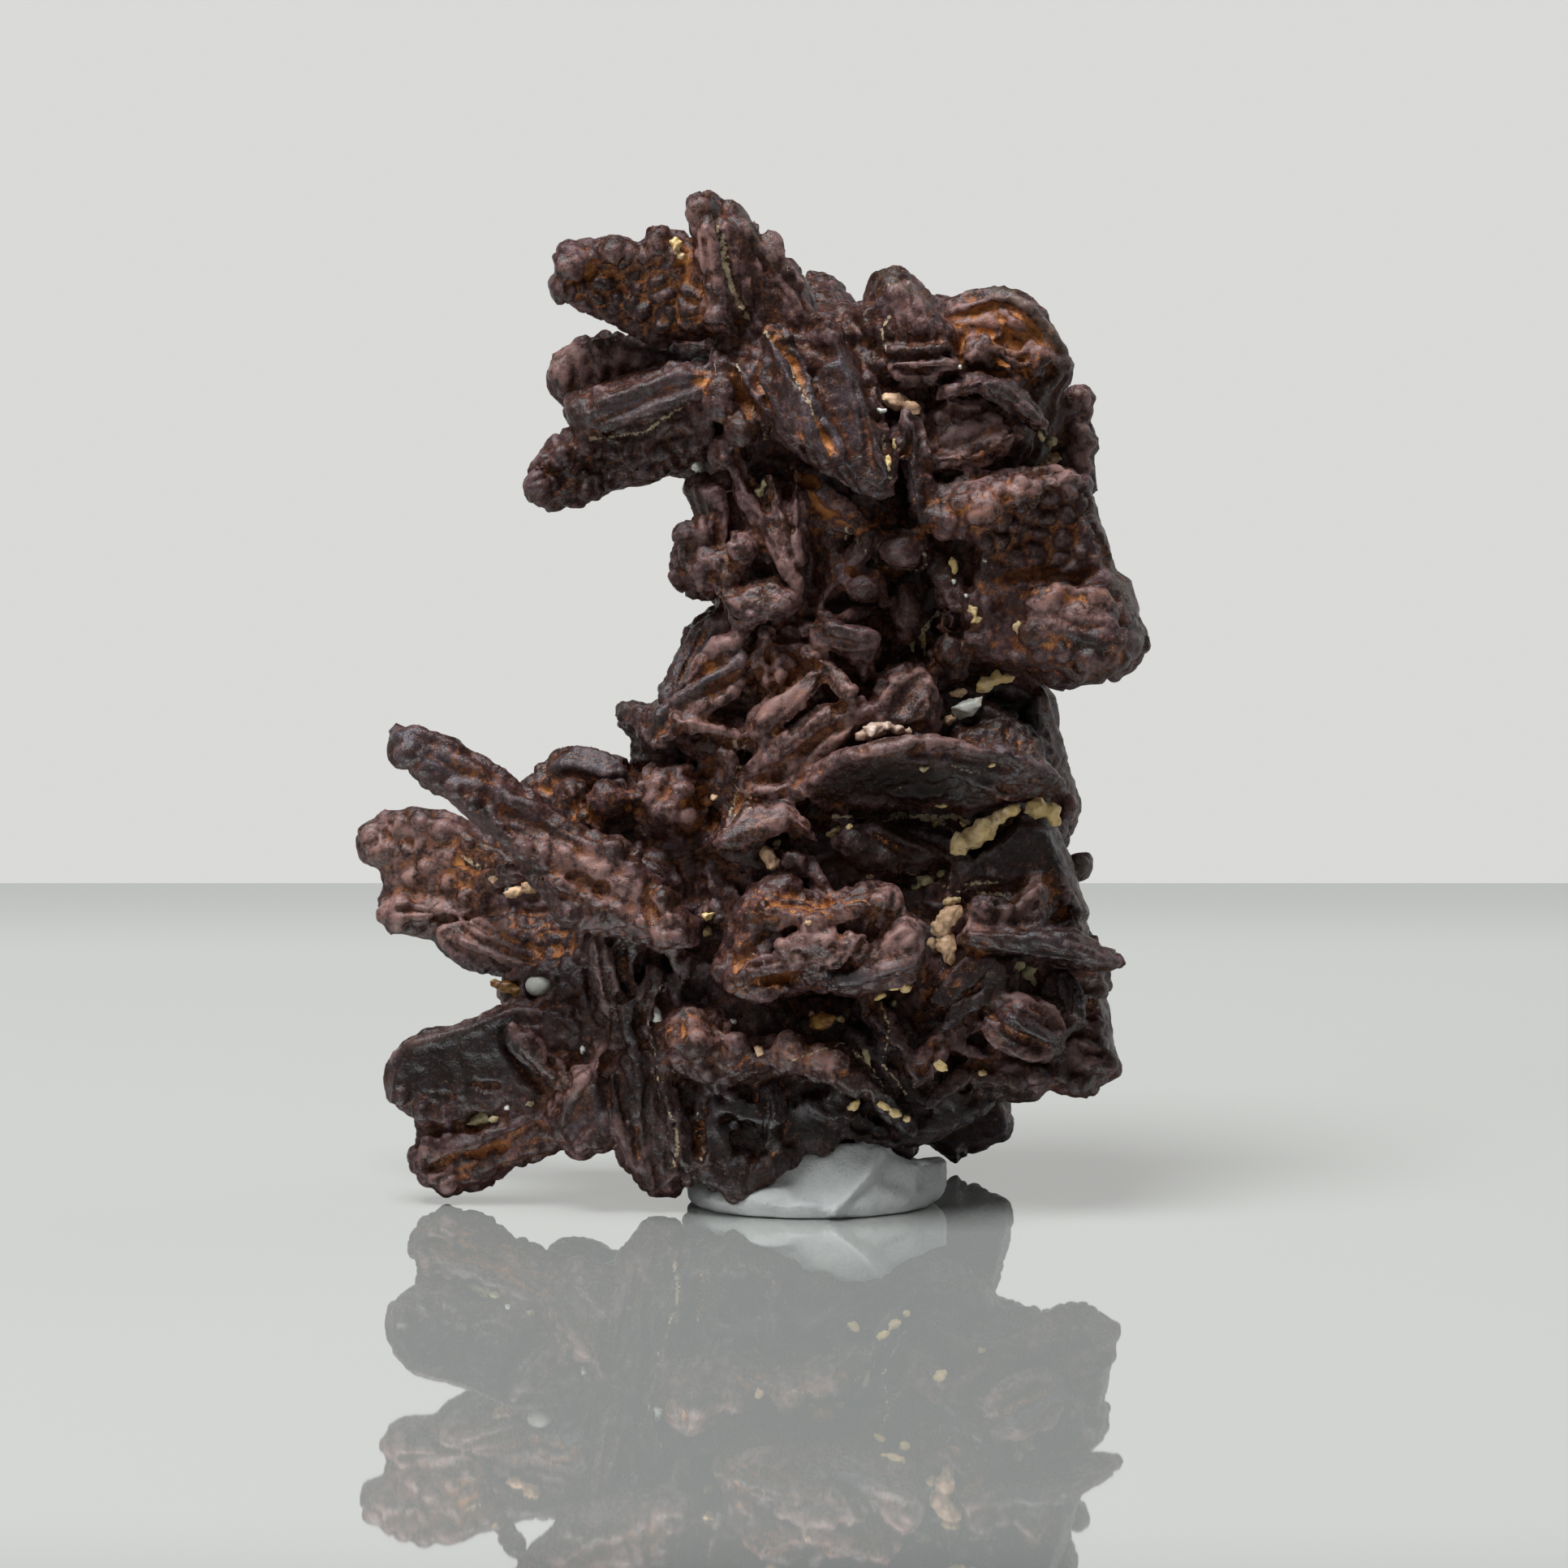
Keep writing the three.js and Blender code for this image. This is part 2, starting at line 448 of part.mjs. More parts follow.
const leftFan = [
  // long blade that juts up and left
  { out: 6.2, thick: 3.2, bevel: 0.8, lean: [0.14, -0.1],
    outline: [[-7, 15.4], [-6.8, 17.4], [-9, 19.6], [-11.4, 22], [-13.4, 22.5], [-15.5, 24],
      [-17.9, 25.5], [-19.6, 26.9], [-20.8, 27.1], [-22.6, 28.2], [-24.1, 28.7], [-25.3, 29.5],
      [-26, 28.7], [-25.8, 27], [-25.3, 26.3], [-24.4, 26], [-23.8, 25.2], [-22.3, 24.4],
      [-21.4, 23.7], [-19.8, 22.2], [-17.5, 19.7], [-15.6, 17.5], [-14, 16.3], [-10.8, 16], [-9.2, 15]] },
  // its ridges
  { out: 7.6, thick: 2, bevel: 0.8, lean: [0.14, -0.1],
    outline: [[-9, 16.2], [-8.4, 18], [-11, 20.8], [-13, 21.8], [-16.4, 24.2], [-18.6, 25],
      [-17.4, 23.4], [-13.8, 20.6], [-11.4, 18]] },
  { out: 7.4, thick: 2, bevel: 0.8, lean: [0.14, -0.1],
    outline: [[-10.4, 16.6], [-12, 18.4], [-15, 20.6], [-18.4, 22.8], [-20.8, 25.2], [-21.8, 24.8],
      [-19.6, 22.8], [-17.2, 20.2], [-15, 17.8], [-13.4, 16.9]] },
  // broad scalloped paddle, further back
  { out: -4.4, thick: 3, bevel: 0.9, lean: [0.42, 0],
    outline: [[-10, 12.6], [-10, 20], [-18, 21.6], [-20.3, 22.7], [-22.4, 23.8], [-24.4, 24.1],
      [-26.6, 23.8], [-27.7, 23.1], [-28.4, 22.1], [-28.1, 20.6], [-26.9, 20], [-26.6, 18.9],
      [-27, 18.1], [-26.6, 16.8], [-25.6, 16], [-23.6, 15.7], [-22.7, 14.7], [-21.2, 13.7], [-18, 13.2]] },
  // thick roll along the paddle's lower edge
  { out: -1.8, thick: 2.8, bevel: 1, lean: [0.4, 0],
    outline: [[-12.4, 13.8], [-12.4, 17.6], [-19, 17.4], [-22, 17], [-23.1, 16], [-22.2, 14.6],
      [-20.6, 13.7], [-17, 13.4]] },
  // ledge at the paddle's end
  { out: -5.4, thick: 3, bevel: 0.8, lean: [0.4, 0.1],
    outline: [[-23, 16.6], [-22.6, 18], [-25, 18.8], [-26.8, 18.4], [-26.6, 16.9], [-25.4, 16.2]] },
  // lower paddle
  { out: 2.6, thick: 3, bevel: 0.8, lean: [0.06, 0.1],
    outline: [[-11, 5], [-11, 10.6], [-15, 12.1], [-17, 12.4], [-18.8, 12.2], [-20.3, 11.3],
      [-22.3, 10.6], [-23.8, 10.5], [-25.1, 9.6], [-26.1, 8.3], [-26.4, 7], [-26, 5.9], [-24.8, 5.1],
      [-24.1, 4.1], [-22, 3.9], [-17, 4.4]] },
  // lowest blade, which touches down
  { out: 2.3, thick: 2.6, bevel: 0.7, lean: [0.05, 0.2],
    outline: [[-13.4, 3.2], [-12.5, 6.4], [-17.6, 5.9], [-20, 5], [-22, 4.4], [-23.8, 4.1],
      [-24.6, 3.2], [-25.1, 2.5], [-24.7, 1.5], [-24, 0.8], [-23.2, 0.4], [-22.4, -0.2], [-21, 0.3],
      [-19.8, 0.6], [-18.4, 1.7], [-16.4, 2.4]] },
  // faceted crystal behind the long blade
  { out: 0.4, thick: 4, bevel: 0.6, lean: [0.15, 0.1],
    outline: [[-8.5, 21], [-9, 25.6], [-11.4, 26.6], [-13, 27], [-15, 27.8], [-15.8, 27.3],
      [-16.6, 26.3], [-18, 25.5], [-16, 21]] },
  // small crystals above the gap
  { out: 4.2, thick: 4.4, bevel: 0.8, lean: [0.15, 0],
    outline: [[-14.3, 2.3], [-12.4, 2.9], [-10.8, 4], [-11.3, 8], [-13.2, 9.6], [-14.6, 7.4],
      [-16.1, 5.4], [-16, 4.2], [-15.2, 2.9]] },
];

const foot = [
  // chunky ridged blade, foremost of all: its base, then four lobes
  { out: 7.6, thick: 4.6, bevel: 1.1, lean: [0.05, 0.12],
    outline: [[-6.2, 13.6], [-5, 12.2], [-3.5, 11.9], [0.5, 12.7], [2.5, 12.3], [4.4, 12.7], [6, 13.3],
      [6.9, 14.8], [7, 16.8], [5.9, 17.7], [5.3, 19.2], [3.8, 19.6], [2, 19.1], [0.4, 18.6],
      [-1, 19.4], [-2.6, 20], [-4, 19.2], [-5.2, 17.4], [-5.6, 15.6]] },
  { out: 9.8, thick: 3, bevel: 1, lean: [0.02, 0.12],
    outline: [[-3.4, 16.8], [-1.4, 16.4], [1.4, 16.6], [4.2, 17], [5.4, 18], [4.6, 19.3], [2.4, 19],
      [0, 18.2], [-1.8, 18.8], [-3.4, 19], [-4.4, 17.9]] },
  { out: 10.2, thick: 3, bevel: 0.9, lean: [0.05, 0.1],
    outline: [[-1.4, 13.6], [0.6, 14.1], [2.4, 15.6], [3.2, 16.6], [1.4, 16.6], [-0.8, 15.9],
      [-2, 14.8]] },
  { out: 9.8, thick: 3.2, bevel: 0.8, lean: [0.05, 0.1],
    outline: [[0.6, 12.9], [2.6, 12.6], [4.6, 12.9], [6.2, 13.6], [6.8, 15], [6.8, 16.8], [5.6, 17.6],
      [4.2, 16.9], [3, 15.4], [1.4, 14.2]] },
  { out: 9.6, thick: 3, bevel: 0.8, lean: [0.05, 0.1],
    outline: [[-5.8, 13.4], [-4.8, 12.4], [-3, 12.2], [-0.6, 13], [-2.4, 14], [-3.4, 15], [-5.2, 14.6]] },
  // knobbly mass under it
  { out: 6.6, thick: 4.4, bevel: 1.1, lean: [0.05, 0.05],
    outline: [[-8.8, 8], [-7.4, 6.9], [-6, 6], [-4.6, 6.6], [-3, 7.5], [-1, 7.3], [1.5, 6.2], [3.2, 7],
      [3.6, 8.2], [2, 9.6], [0, 10.2], [-2.5, 10.2], [-4.2, 10], [-5.4, 11.8], [-8, 12.4], [-9, 11],
      [-9.3, 9.4]] },
  // ribbed leaf that hangs at the left
  { out: 4.2, thick: 4, bevel: 0.8, lean: [0.15, 0.1],
    outline: [[-9.9, 0.1], [-8.4, 0.1], [-7.4, 1.2], [-7, 5], [-8, 9], [-10, 10.4], [-12.2, 10],
      [-12.8, 6], [-12.2, 2.9], [-10.8, 1.1]] },
  // lowest point of the cluster
  { out: 4.8, thick: 3.2, bevel: 0.7, lean: [0, 0.15],
    outline: [[-4.3, -0.7], [-3.4, -0.3], [-2.4, 1], [-1.3, 2.4], [0.6, 3.2], [3.4, 3.5], [2.4, 7.5],
      [-7.5, 8], [-7.8, 1.6], [-5.9, 0.8], [-4.9, -0.4]] },
  // dark blades over the base
  { out: 2.4, thick: 4, bevel: 0.6, lean: [-0.1, 0.1],
    outline: [[1, 3.4], [3, 3], [5, 2.3], [6, 2], [6.8, 3.4], [9, 5], [9, 8], [1, 8]] },
  // ragged dark plate at the back right, which touches down
  { out: -8.6, thick: 4, bevel: 0.6, lean: [0, 0.15],
    outline: [[9.2, 1.5], [9.7, 2.5], [10.6, 2.5], [12.4, 3.2], [12.8, 4.1], [12.2, 6.2], [11, 11],
      [4, 11], [5, 4], [8, 2.3]] },
];

// ---------- blades placed by root and tip ----------

const frontBlades = [
  // upper fan: the slab seen on its broken edge
  { root: [-4, 51, 0.5], tip: [-14.9, 47.9, 2.4], wide: 5.4, thick: 2.1, roll: 78, form: "chisel" },
  // ridges of the dark knuckle
  { root: [-2.4, 52.8, 5], tip: [1.4, 44.6, 8], wide: 2.4, thick: 3.4, roll: 20, form: "chisel" },
  { root: [0.6, 53, 4.8], tip: [4.4, 43.4, 7], wide: 2.6, thick: 3.4, roll: -15, form: "chisel" },
  { root: [-4.6, 50.8, 4], tip: [-0.4, 45.2, 6.6], wide: 2.2, thick: 2.6, roll: 10, form: "spear" },
  // upright blade under the pale crumb
  { root: [6, 48.4, 3.6], tip: [6.8, 40.4, 4.6], wide: 1.9, thick: 3, roll: 20, form: "spear" },
  // waist: fibrous ridges
  { root: [-4.8, 44.8, 4], tip: [-0.6, 37, 5.8], wide: 1.9, thick: 2, roll: 10, form: "spear" },
  { root: [-2.6, 44, 4], tip: [-1.7, 39.4, 5.6], wide: 1.5, thick: 2, roll: -10, form: "chisel" },
  { root: [-0.8, 44.4, 3.8], tip: [-0.7, 38.6, 5.4], wide: 1.3, thick: 2, roll: 15, form: "chisel" },
  { root: [0.6, 36.4, 4], tip: [3.9, 40.9, 5.2], wide: 1.7, thick: 2, roll: 0, form: "paddle" },
  { root: [0.4, 43.4, 4], tip: [3.2, 41, 4.6], wide: 1.8, thick: 1.6, roll: 40, form: "chisel" },
  { root: [-5.4, 41, 3], tip: [-8.6, 40.4, 3.4], wide: 1.7, thick: 1.8, roll: 0, form: "paddle" },
  { root: [-3.4, 41.4, 3.8], tip: [-5.6, 36.6, 4.8], wide: 1.6, thick: 1.6, roll: 20, form: "chisel" },
  { root: [-0.4, 34.6, 4.4], tip: [4.3, 34.2, 6.6], wide: 2.8, thick: 1.1, roll: 66, form: "spear" },
  { root: [6.8, 40.2, 2.6], tip: [9.7, 35.1, 4.6], wide: 2, thick: 1.4, roll: 20, form: "spear" },
  { root: [-4.6, 36, 4], tip: [-4.3, 33.4, 5], wide: 1.6, thick: 1.4, roll: 0, form: "chisel" },
  { root: [-2.7, 35, 4], tip: [-2.5, 31.2, 5.2], wide: 1.6, thick: 1.6, roll: 20, form: "chisel" },
  // stem: the long diagonal blade and its neighbours
  { root: [-3.2, 33.9, 3.6], tip: [-10.1, 27.8, 5], wide: 4.4, thick: 1.1, roll: 62, form: "chisel" },
  { root: [-3, 28, 4.2], tip: [-8.6, 29.7, 6], wide: 2.8, thick: 1.2, roll: 50, form: "spear" },
  { root: [-4.6, 24.6, 4.6], tip: [-1.6, 29, 6.2], wide: 1.8, thick: 1.6, roll: 35, form: "spear" },
  { root: [-3.2, 25, 5], tip: [1.2, 30, 6.4], wide: 1.9, thick: 1.6, roll: 35, form: "spear" },
  { root: [-1.4, 25.2, 5], tip: [3.4, 30.4, 6.2], wide: 2.2, thick: 1.6, roll: 35, form: "chisel" },
  { root: [-8.2, 28.2, 3.4], tip: [-4.6, 26.6, 6], wide: 2.4, thick: 1.2, roll: 50, form: "chisel" },
  { root: [-6.6, 26.4, 4], tip: [-4.2, 22.4, 6], wide: 2, thick: 1.4, roll: -30, form: "spear" },
  // left of the shelf
  { root: [-6.4, 22.4, 4.6], tip: [-5.4, 16.6, 6.6], wide: 1.8, thick: 1.6, roll: 30, form: "chisel" },
  { root: [-5.6, 19.8, 4.8], tip: [-3.2, 15.4, 7], wide: 2, thick: 1.8, roll: -20, form: "spear" },
  { root: [-10.2, 25.6, 5], tip: [-7.4, 22.8, 6.4], wide: 1.8, thick: 2, roll: 10, form: "paddle" },
  // under the shelf
  { root: [-6, 21.4, 5.4], tip: [-0.4, 20.4, 7.4], wide: 2.4, thick: 1.4, roll: 50, form: "chisel" },
  { root: [-1.4, 22.4, 5.6], tip: [0.8, 18.8, 7.6], wide: 1.6, thick: 1.2, roll: 30, form: "chisel" },
  { root: [1, 24.2, 4.4], tip: [5.4, 19.6, 6.6], wide: 1.6, thick: 1.2, roll: 40, form: "spear" },
  { root: [9.4, 23.4, 3.2], tip: [8.4, 18.6, 6.4], wide: 1.8, thick: 1.4, roll: 40, form: "spear" },
  // small finger of the lower left fan
  { root: [-14.2, 6.4, 3.8], tip: [-18.7, 10.6, 5.4], wide: 2.1, thick: 1.8, roll: 10, form: "paddle" },
  // purple ribs between the fans
  { root: [-12.2, 9.6, 4.4], tip: [-13.4, 16.2, 6], wide: 1.5, thick: 2, roll: 40, form: "chisel" },
  { root: [-11.2, 9.4, 4.8], tip: [-11.8, 16, 6.4], wide: 1.4, thick: 2.2, roll: 60, form: "chisel" },
  { root: [-9, 7, 5.4], tip: [-11.6, 12.2, 6.8], wide: 1.5, thick: 1.8, roll: 30, form: "chisel" },
  { root: [-10.4, 10, 5.8], tip: [-9.4, 14.4, 6.6], wide: 1.5, thick: 1.8, roll: 30, form: "chisel" },
  { root: [-8.4, 12, 5.6], tip: [-7.4, 15.4, 7.2], wide: 1.6, thick: 1.8, roll: 10, form: "paddle" },
  // foot: upright ribs
  { root: [-8.6, 8.6, 5.2], tip: [-7.4, 1, 6.2], wide: 1.5, thick: 2, roll: 0, form: "chisel" },
  { root: [-11.3, 8.8, 4.8], tip: [-9.6, 0.5, 5.6], wide: 1.4, thick: 1.8, roll: 0, form: "chisel" },
  { root: [-6.2, 7.4, 5.8], tip: [-5.8, 1, 6.2], wide: 1.4, thick: 1.6, roll: 30, form: "spear" },
  { root: [-3, 8, 6], tip: [-2.4, 4.1, 7.4], wide: 1.7, thick: 2, roll: 0, form: "chisel" },
  { root: [-7.2, 5.4, 5.4], tip: [-3.8, 6.2, 7], wide: 1.2, thick: 1.8, roll: 30, form: "chisel" },
  { root: [-1.8, 6.8, 5.8], tip: [3, 5, 6.8], wide: 1.4, thick: 1.8, roll: 30, form: "spear" },
  { root: [3.2, 7.2, 5.2], tip: [6.4, 3.7, 6.2], wide: 1.6, thick: 1.8, roll: 0, form: "spear" },
  { root: [2.2, 10.4, 6], tip: [4.8, 7.2, 7.6], wide: 1.6, thick: 1.8, roll: -20, form: "spear" },
  { root: [3.2, 12.6, 6.2], tip: [5.4, 9.4, 7.8], wide: 2, thick: 1.8, roll: 20, form: "chisel" },
  // foot: crystals that fan down from the right
  { root: [10.4, 13.4, 5], tip: [6, 6.9, 8], wide: 1.9, thick: 1.8, roll: -20, form: "paddle" },
  { root: [11.4, 11.6, 5], tip: [7.4, 9.8, 7.4], wide: 1.8, thick: 1.6, roll: 30, form: "chisel" },
  { root: [11.6, 9.6, 4.6], tip: [6.8, 5.6, 6.2], wide: 1.8, thick: 1.6, roll: -30, form: "spear" },
  { root: [12, 7, 2.8], tip: [6.2, 4.1, 4.6], wide: 2.6, thick: 1.4, roll: 50, form: "spear" },
  { root: [14.2, 14.4, 3.4], tip: [16.4, 10.6, 6], wide: 2.2, thick: 2.2, roll: 60, form: "chisel" },
];

const frontKnobs = [
  // upper fan
  [[-14.6, 57.2, 2.2], 1.3], [[-12, 57.7, 2.4], 1.1], [[-9.2, 58.2, 2.4], 1.2], [[-15, 55.6, 1.8], 1.2],
  [[-16.5, 43.5, 1.6], 1.3], [[-14.8, 45.2, 2.2], 1.2], [[-13.4, 46.4, 2.6], 1.1],
  [[-13.6, 43.6, 1.8], 1.1],
  [[-5.6, 48.8, 4], 1.5], [[-4.2, 47, 4.6], 1.5], [[-5.4, 50.6, 3.6], 1.3], [[-5.2, 45.4, 3.8], 1.3],
  // upper right
  [[12.8, 53.6, 1.4], 1.3], [[10.2, 51.6, 2.2], 1.3], [[13.6, 51.2, 1.4], 1.3],
  // right plate
  [[8.2, 41.6, 4.6], 1.5], [[10.4, 42.2, 5], 1.8], [[12.7, 43.2, 4.6], 1.5],
  [[14.6, 36.3, 5], [2, 1.4, 1.2]],
  [[17, 36.4, 4.6], [1.6, 1.2, 1.2]], [[8.4, 33.3, 2.8], 1.7],
  // stem
  [[5.4, 39.7, 4.4], [1.8, 1.4, 1.7]], [[3.2, 37.5, 4.6], [1.6, 1.2, 1.5]],
  [[5.7, 35.8, 3.2], [1.1, 2.2, 1.6]],
  [[-4.2, 39.7, 4.6], [1.2, 1.3, 1.4]], [[-6, 38.4, 3.6], 1.6], [[-1.6, 32.6, 4.6], [1.1, 1.5, 1.2]],
  // lower left fan
  [[-25.2, 17.2, -5.6], [1.8, 1.4, 1.4]], [[-14.8, 17.8, 7], [1.1, 1.4, 1.2]], [[-12, 21, 7.8], 1.2],
  [[-10.4, 18.6, 8.4], [1.4, 1.4, 1.2]], [[-8.8, 16.8, 8.6], [1.4, 1.2, 1.2]], [[-14.6, 24.7, 2.2], 1.5],
  [[-12.2, 24.4, 3.6], 1.5], [[-13.7, 22.7, 3.2], 1.6],
  // foot
  [[-7.4, 10.2, 8], 1.8], [[-4.6, 9.2, 8.2], 1.2], [[-1.4, 8.9, 8.2], 1.5], [[1.2, 8.3, 8.2], 1.4],
  [[2.6, 7.4, 8], 1.2],
  [[16.4, 20.1, -1.4], [1.1, 1.1, 1.6]],
];

// ---------- the back and the flanks ----------

const backBlades = [
  // crest
  { root: [-2, 54, -1], tip: [-6.4, 58.4, -8.6], wide: 6, thick: 2.2, roll: 30, form: "paddle" },
  { root: [0, 52, -3], tip: [-9, 52.8, -10.2], wide: 6.2, thick: 2.4, roll: 20, form: "paddle" },
  { root: [2, 52, -3], tip: [1.4, 55.6, -12], wide: 6, thick: 2, roll: 60, form: "chisel" },
  { root: [6, 51, -3], tip: [9.4, 55.2, -10.4], wide: 6, thick: 2.4, roll: -25, form: "spear" },
  { root: [8, 49, -3], tip: [14.4, 50, -9.6], wide: 6, thick: 2.2, roll: 15, form: "paddle" },
  { root: [3, 48, -4], tip: [4, 47.6, -14], wide: 6.4, thick: 2.4, roll: 20, form: "paddle" },
  { root: [-3, 47, -3], tip: [-9, 45, -10], wide: 5.4, thick: 2.2, roll: -30, form: "spear" },
  { root: [9, 45, -3], tip: [12.6, 43.4, -12.2], wide: 6, thick: 2, roll: 70, form: "chisel" },
  // waist
  { root: [10, 38, -3], tip: [16.2, 36.8, -10.8], wide: 6.4, thick: 2.4, roll: 25, form: "paddle" },
  { root: [8, 36, -3], tip: [9.6, 33.4, -12.6], wide: 6, thick: 2.2, roll: -40, form: "spear" },
  { root: [2, 42, -4], tip: [-0.4, 40.8, -12.4], wide: 6.4, thick: 2.4, roll: 40, form: "chisel" },
  { root: [-2, 38, -3], tip: [-5.8, 37, -9.6], wide: 5, thick: 2.2, roll: -20, form: "paddle" },
  { root: [3, 36, -4], tip: [3.4, 35, -12.4], wide: 5.6, thick: 2, roll: 80, form: "spear" },
  { root: [-3, 32, -3], tip: [-6.4, 31.4, -10.2], wide: 5.6, thick: 2.2, roll: 30, form: "chisel" },
  { root: [2, 30, -4], tip: [1, 29, -12.8], wide: 6, thick: 2.4, roll: -15, form: "paddle" },
  { root: [8, 29, -4], tip: [11.4, 28.2, -11.4], wide: 5.6, thick: 2.2, roll: 50, form: "spear" },
  // lower half
  { root: [9, 22, -4], tip: [13.6, 21, -12.4], wide: 6.4, thick: 2.4, roll: 15, form: "paddle" },
  { root: [4, 22, -5], tip: [5.4, 21.4, -15.2], wide: 6.6, thick: 2.4, roll: 55, form: "paddle" },
  { root: [-3, 24, -4], tip: [-5.4, 23.8, -13.4], wide: 6.4, thick: 2.2, roll: -25, form: "spear" },
  { root: [-7, 20, -4], tip: [-14, 20.6, -11.4], wide: 6.6, thick: 2.4, roll: 25, form: "paddle" },
  { root: [-6, 15, -4], tip: [-12.2, 12.4, -13.2], wide: 6.6, thick: 2.4, roll: -30, form: "chisel" },
  { root: [-1, 16, -5], tip: [-2, 14.8, -16.2], wide: 7, thick: 2.6, roll: 20, form: "paddle" },
  { root: [6, 14, -5], tip: [8.4, 12.8, -15], wide: 6.4, thick: 2.4, roll: -40, form: "spear" },
  { root: [10, 14, -4], tip: [16.6, 12.6, -9.4], wide: 6.4, thick: 2.4, roll: 20, form: "chisel" },
  { root: [-8, 8, -3], tip: [-16.4, 6.6, -7.6], wide: 6, thick: 2.4, roll: 30, form: "paddle" },
  { root: [-4, 8, -4], tip: [-7.4, 4.8, -12.4], wide: 6, thick: 2.2, roll: -15, form: "spear" },
  { root: [3, 8, -4], tip: [2.4, 6, -13.2], wide: 6, thick: 2.4, roll: 35, form: "paddle" },
];

const backKnobs = [
  [[-5.6, 57.4, -6.8], 1.3], [[-8.4, 52.6, -8.8], 1.4], [[3.8, 47.4, -12.4], 1.5],
  [[13.4, 49.6, -8.2], 1.4],
  [[15, 36.8, -9.2], 1.5], [[-0.2, 40.6, -10.8], 1.4], [[1, 29, -11.2], 1.5], [[12.4, 21, -10.8], 1.5],
  [[5.2, 21.4, -13.4], 1.5], [[-12.6, 20.4, -9.8], 1.5], [[-2, 14.8, -14.4], 1.6], [[-15, 6.8, -6.6], 1.4],
  [[15.4, 12.6, -8], 1.4], [[2.4, 6, -11.6], 1.4],
];

// ---------- what is lodged between the blades ----------

// name: centre [across, up, out], radii, and the turn of its long axis in the face, in degrees.
// The name's first word is what the grain is made of.
const grains = {
  sand_bead_left: { at: [-16.8, 13, 2.6], radii: [0.85, 0.72, 0.85], turn: 0 },
  amber_chip_left: { at: [-18.8, 12.9, 1.8], radii: [0.95, 0.5, 0.7], turn: -12 },
  rock_crumb_waist: { at: [10.4, 22.6, 5.2], radii: [2, 0.72, 0.8], turn: 38 },
  rock_crumb_right_edge: { at: [14.1, 23.9, 4.2], radii: [1.05, 0.72, 0.8], turn: -15 },
  sand_tooth_right: { at: [9.6, 30.3, 3.8], radii: [1.2, 0.62, 0.8], turn: 15 },
  rock_crumb_under_plate: { at: [11.2, 31.7, 3.4], radii: [1.3, 0.7, 0.8], turn: 12 },
  sand_bead_shelf: { at: [3.9, 28.8, 7.4], radii: [0.85, 0.75, 0.7], turn: 0 },
  rock_crumb_centre: { at: [-2.6, 20.9, 7.6], radii: [0.8, 0.75, 0.7], turn: 20 },
  rock_crumb_beside_spike: { at: [8.1, 17.2, 7], radii: [1.15, 0.85, 0.9], turn: 25 },
  rock_crumb_under_ridges: { at: [5.4, 13, 8], radii: [0.95, 0.6, 0.8], turn: 5 },
  amber_grain_low: { at: [0.6, 10.8, 8], radii: [0.9, 0.75, 0.8], turn: 0 },
  rock_crumb_low_left: { at: [-20.5, 4.7, 3.4], radii: [0.9, 0.42, 0.6], turn: 12 },
  rock_crumb_high: { at: [5.5, 48.9, 4.4], radii: [0.95, 0.5, 0.6], turn: -8 },
};

// A grain, grown on every side by extra.
function grain({ at, radii, turn }, extra = 0) {
  const body = lump(radii.map((radius) => radius + extra), 0);
  return solidOfGeometry(body.rotateZ(THREE.MathUtils.degToRad(turn)).translate(...at));
}

// ---------- the display putty ----------

// Rings of the lump from the base up: height, half-length across, half-depth, and the middle
// of the ring [X, Y].
const puttyRings = [
  { height: 0, across: 7.6, deep: 5.8, middle: [0, -2.2] },
  { height: 0.9, across: 8.1, deep: 6.2, middle: [0, -2.2] },
  { height: 2.4, across: 6.9, deep: 5.4, middle: [1.2, -1.8] },
  { height: 4.6, across: 5.2, deep: 4, middle: [2.4, -1.2] },
];
const puttySides = 18;

function putty() {
  const points = puttyRings.flatMap(({ height, across, deep, middle }) =>
    Array.from({ length: puttySides }, (_, i) => {
      const angle = (i / puttySides) * 2 * Math.PI;
      const uneven = height > 0 ? 1 + 0.05 * Math.sin(3 * angle + 1) + 0.03 * Math.sin(7 * angle) : 1;
      const x = middle[0] + across * uneven * Math.cos(angle);
      const y = middle[1] + deep * uneven * Math.sin(angle);
      return new THREE.Vector3(x, y, height);
    }),
  );
  const rings = puttyRings.length;
  const faces = [...wallBetween(rings, puttySides), ...convexEnds(rings, puttySides)];
  return solidOf(points, faces, upright);
}

// The solid moved by a distance in each direction and joined: roughly grown on every side.
function grown(solid, by) {
  const steps = [[by, 0, 0], [-by, 0, 0], [0, by, 0], [0, -by, 0], [0, 0, by], [0, 0, -by]];
  const moved = steps.map((step) => solidOfGeometry(geometryOf(solid).translate(...step), upright));
  return moved.reduce((all, next) => all.add(next), solid);
}

// Everything between two heights, as a solid.
function slab(low, high) {
  const box = new THREE.BoxGeometry(slabWidth, slabWidth, high - low);
  box.deleteAttribute("normal");
  box.deleteAttribute("uv");
  return solidOfGeometry(mergeVertices(box.translate(0, 0, (low + high) / 2)), upright);
}

// ---------- assembly ----------

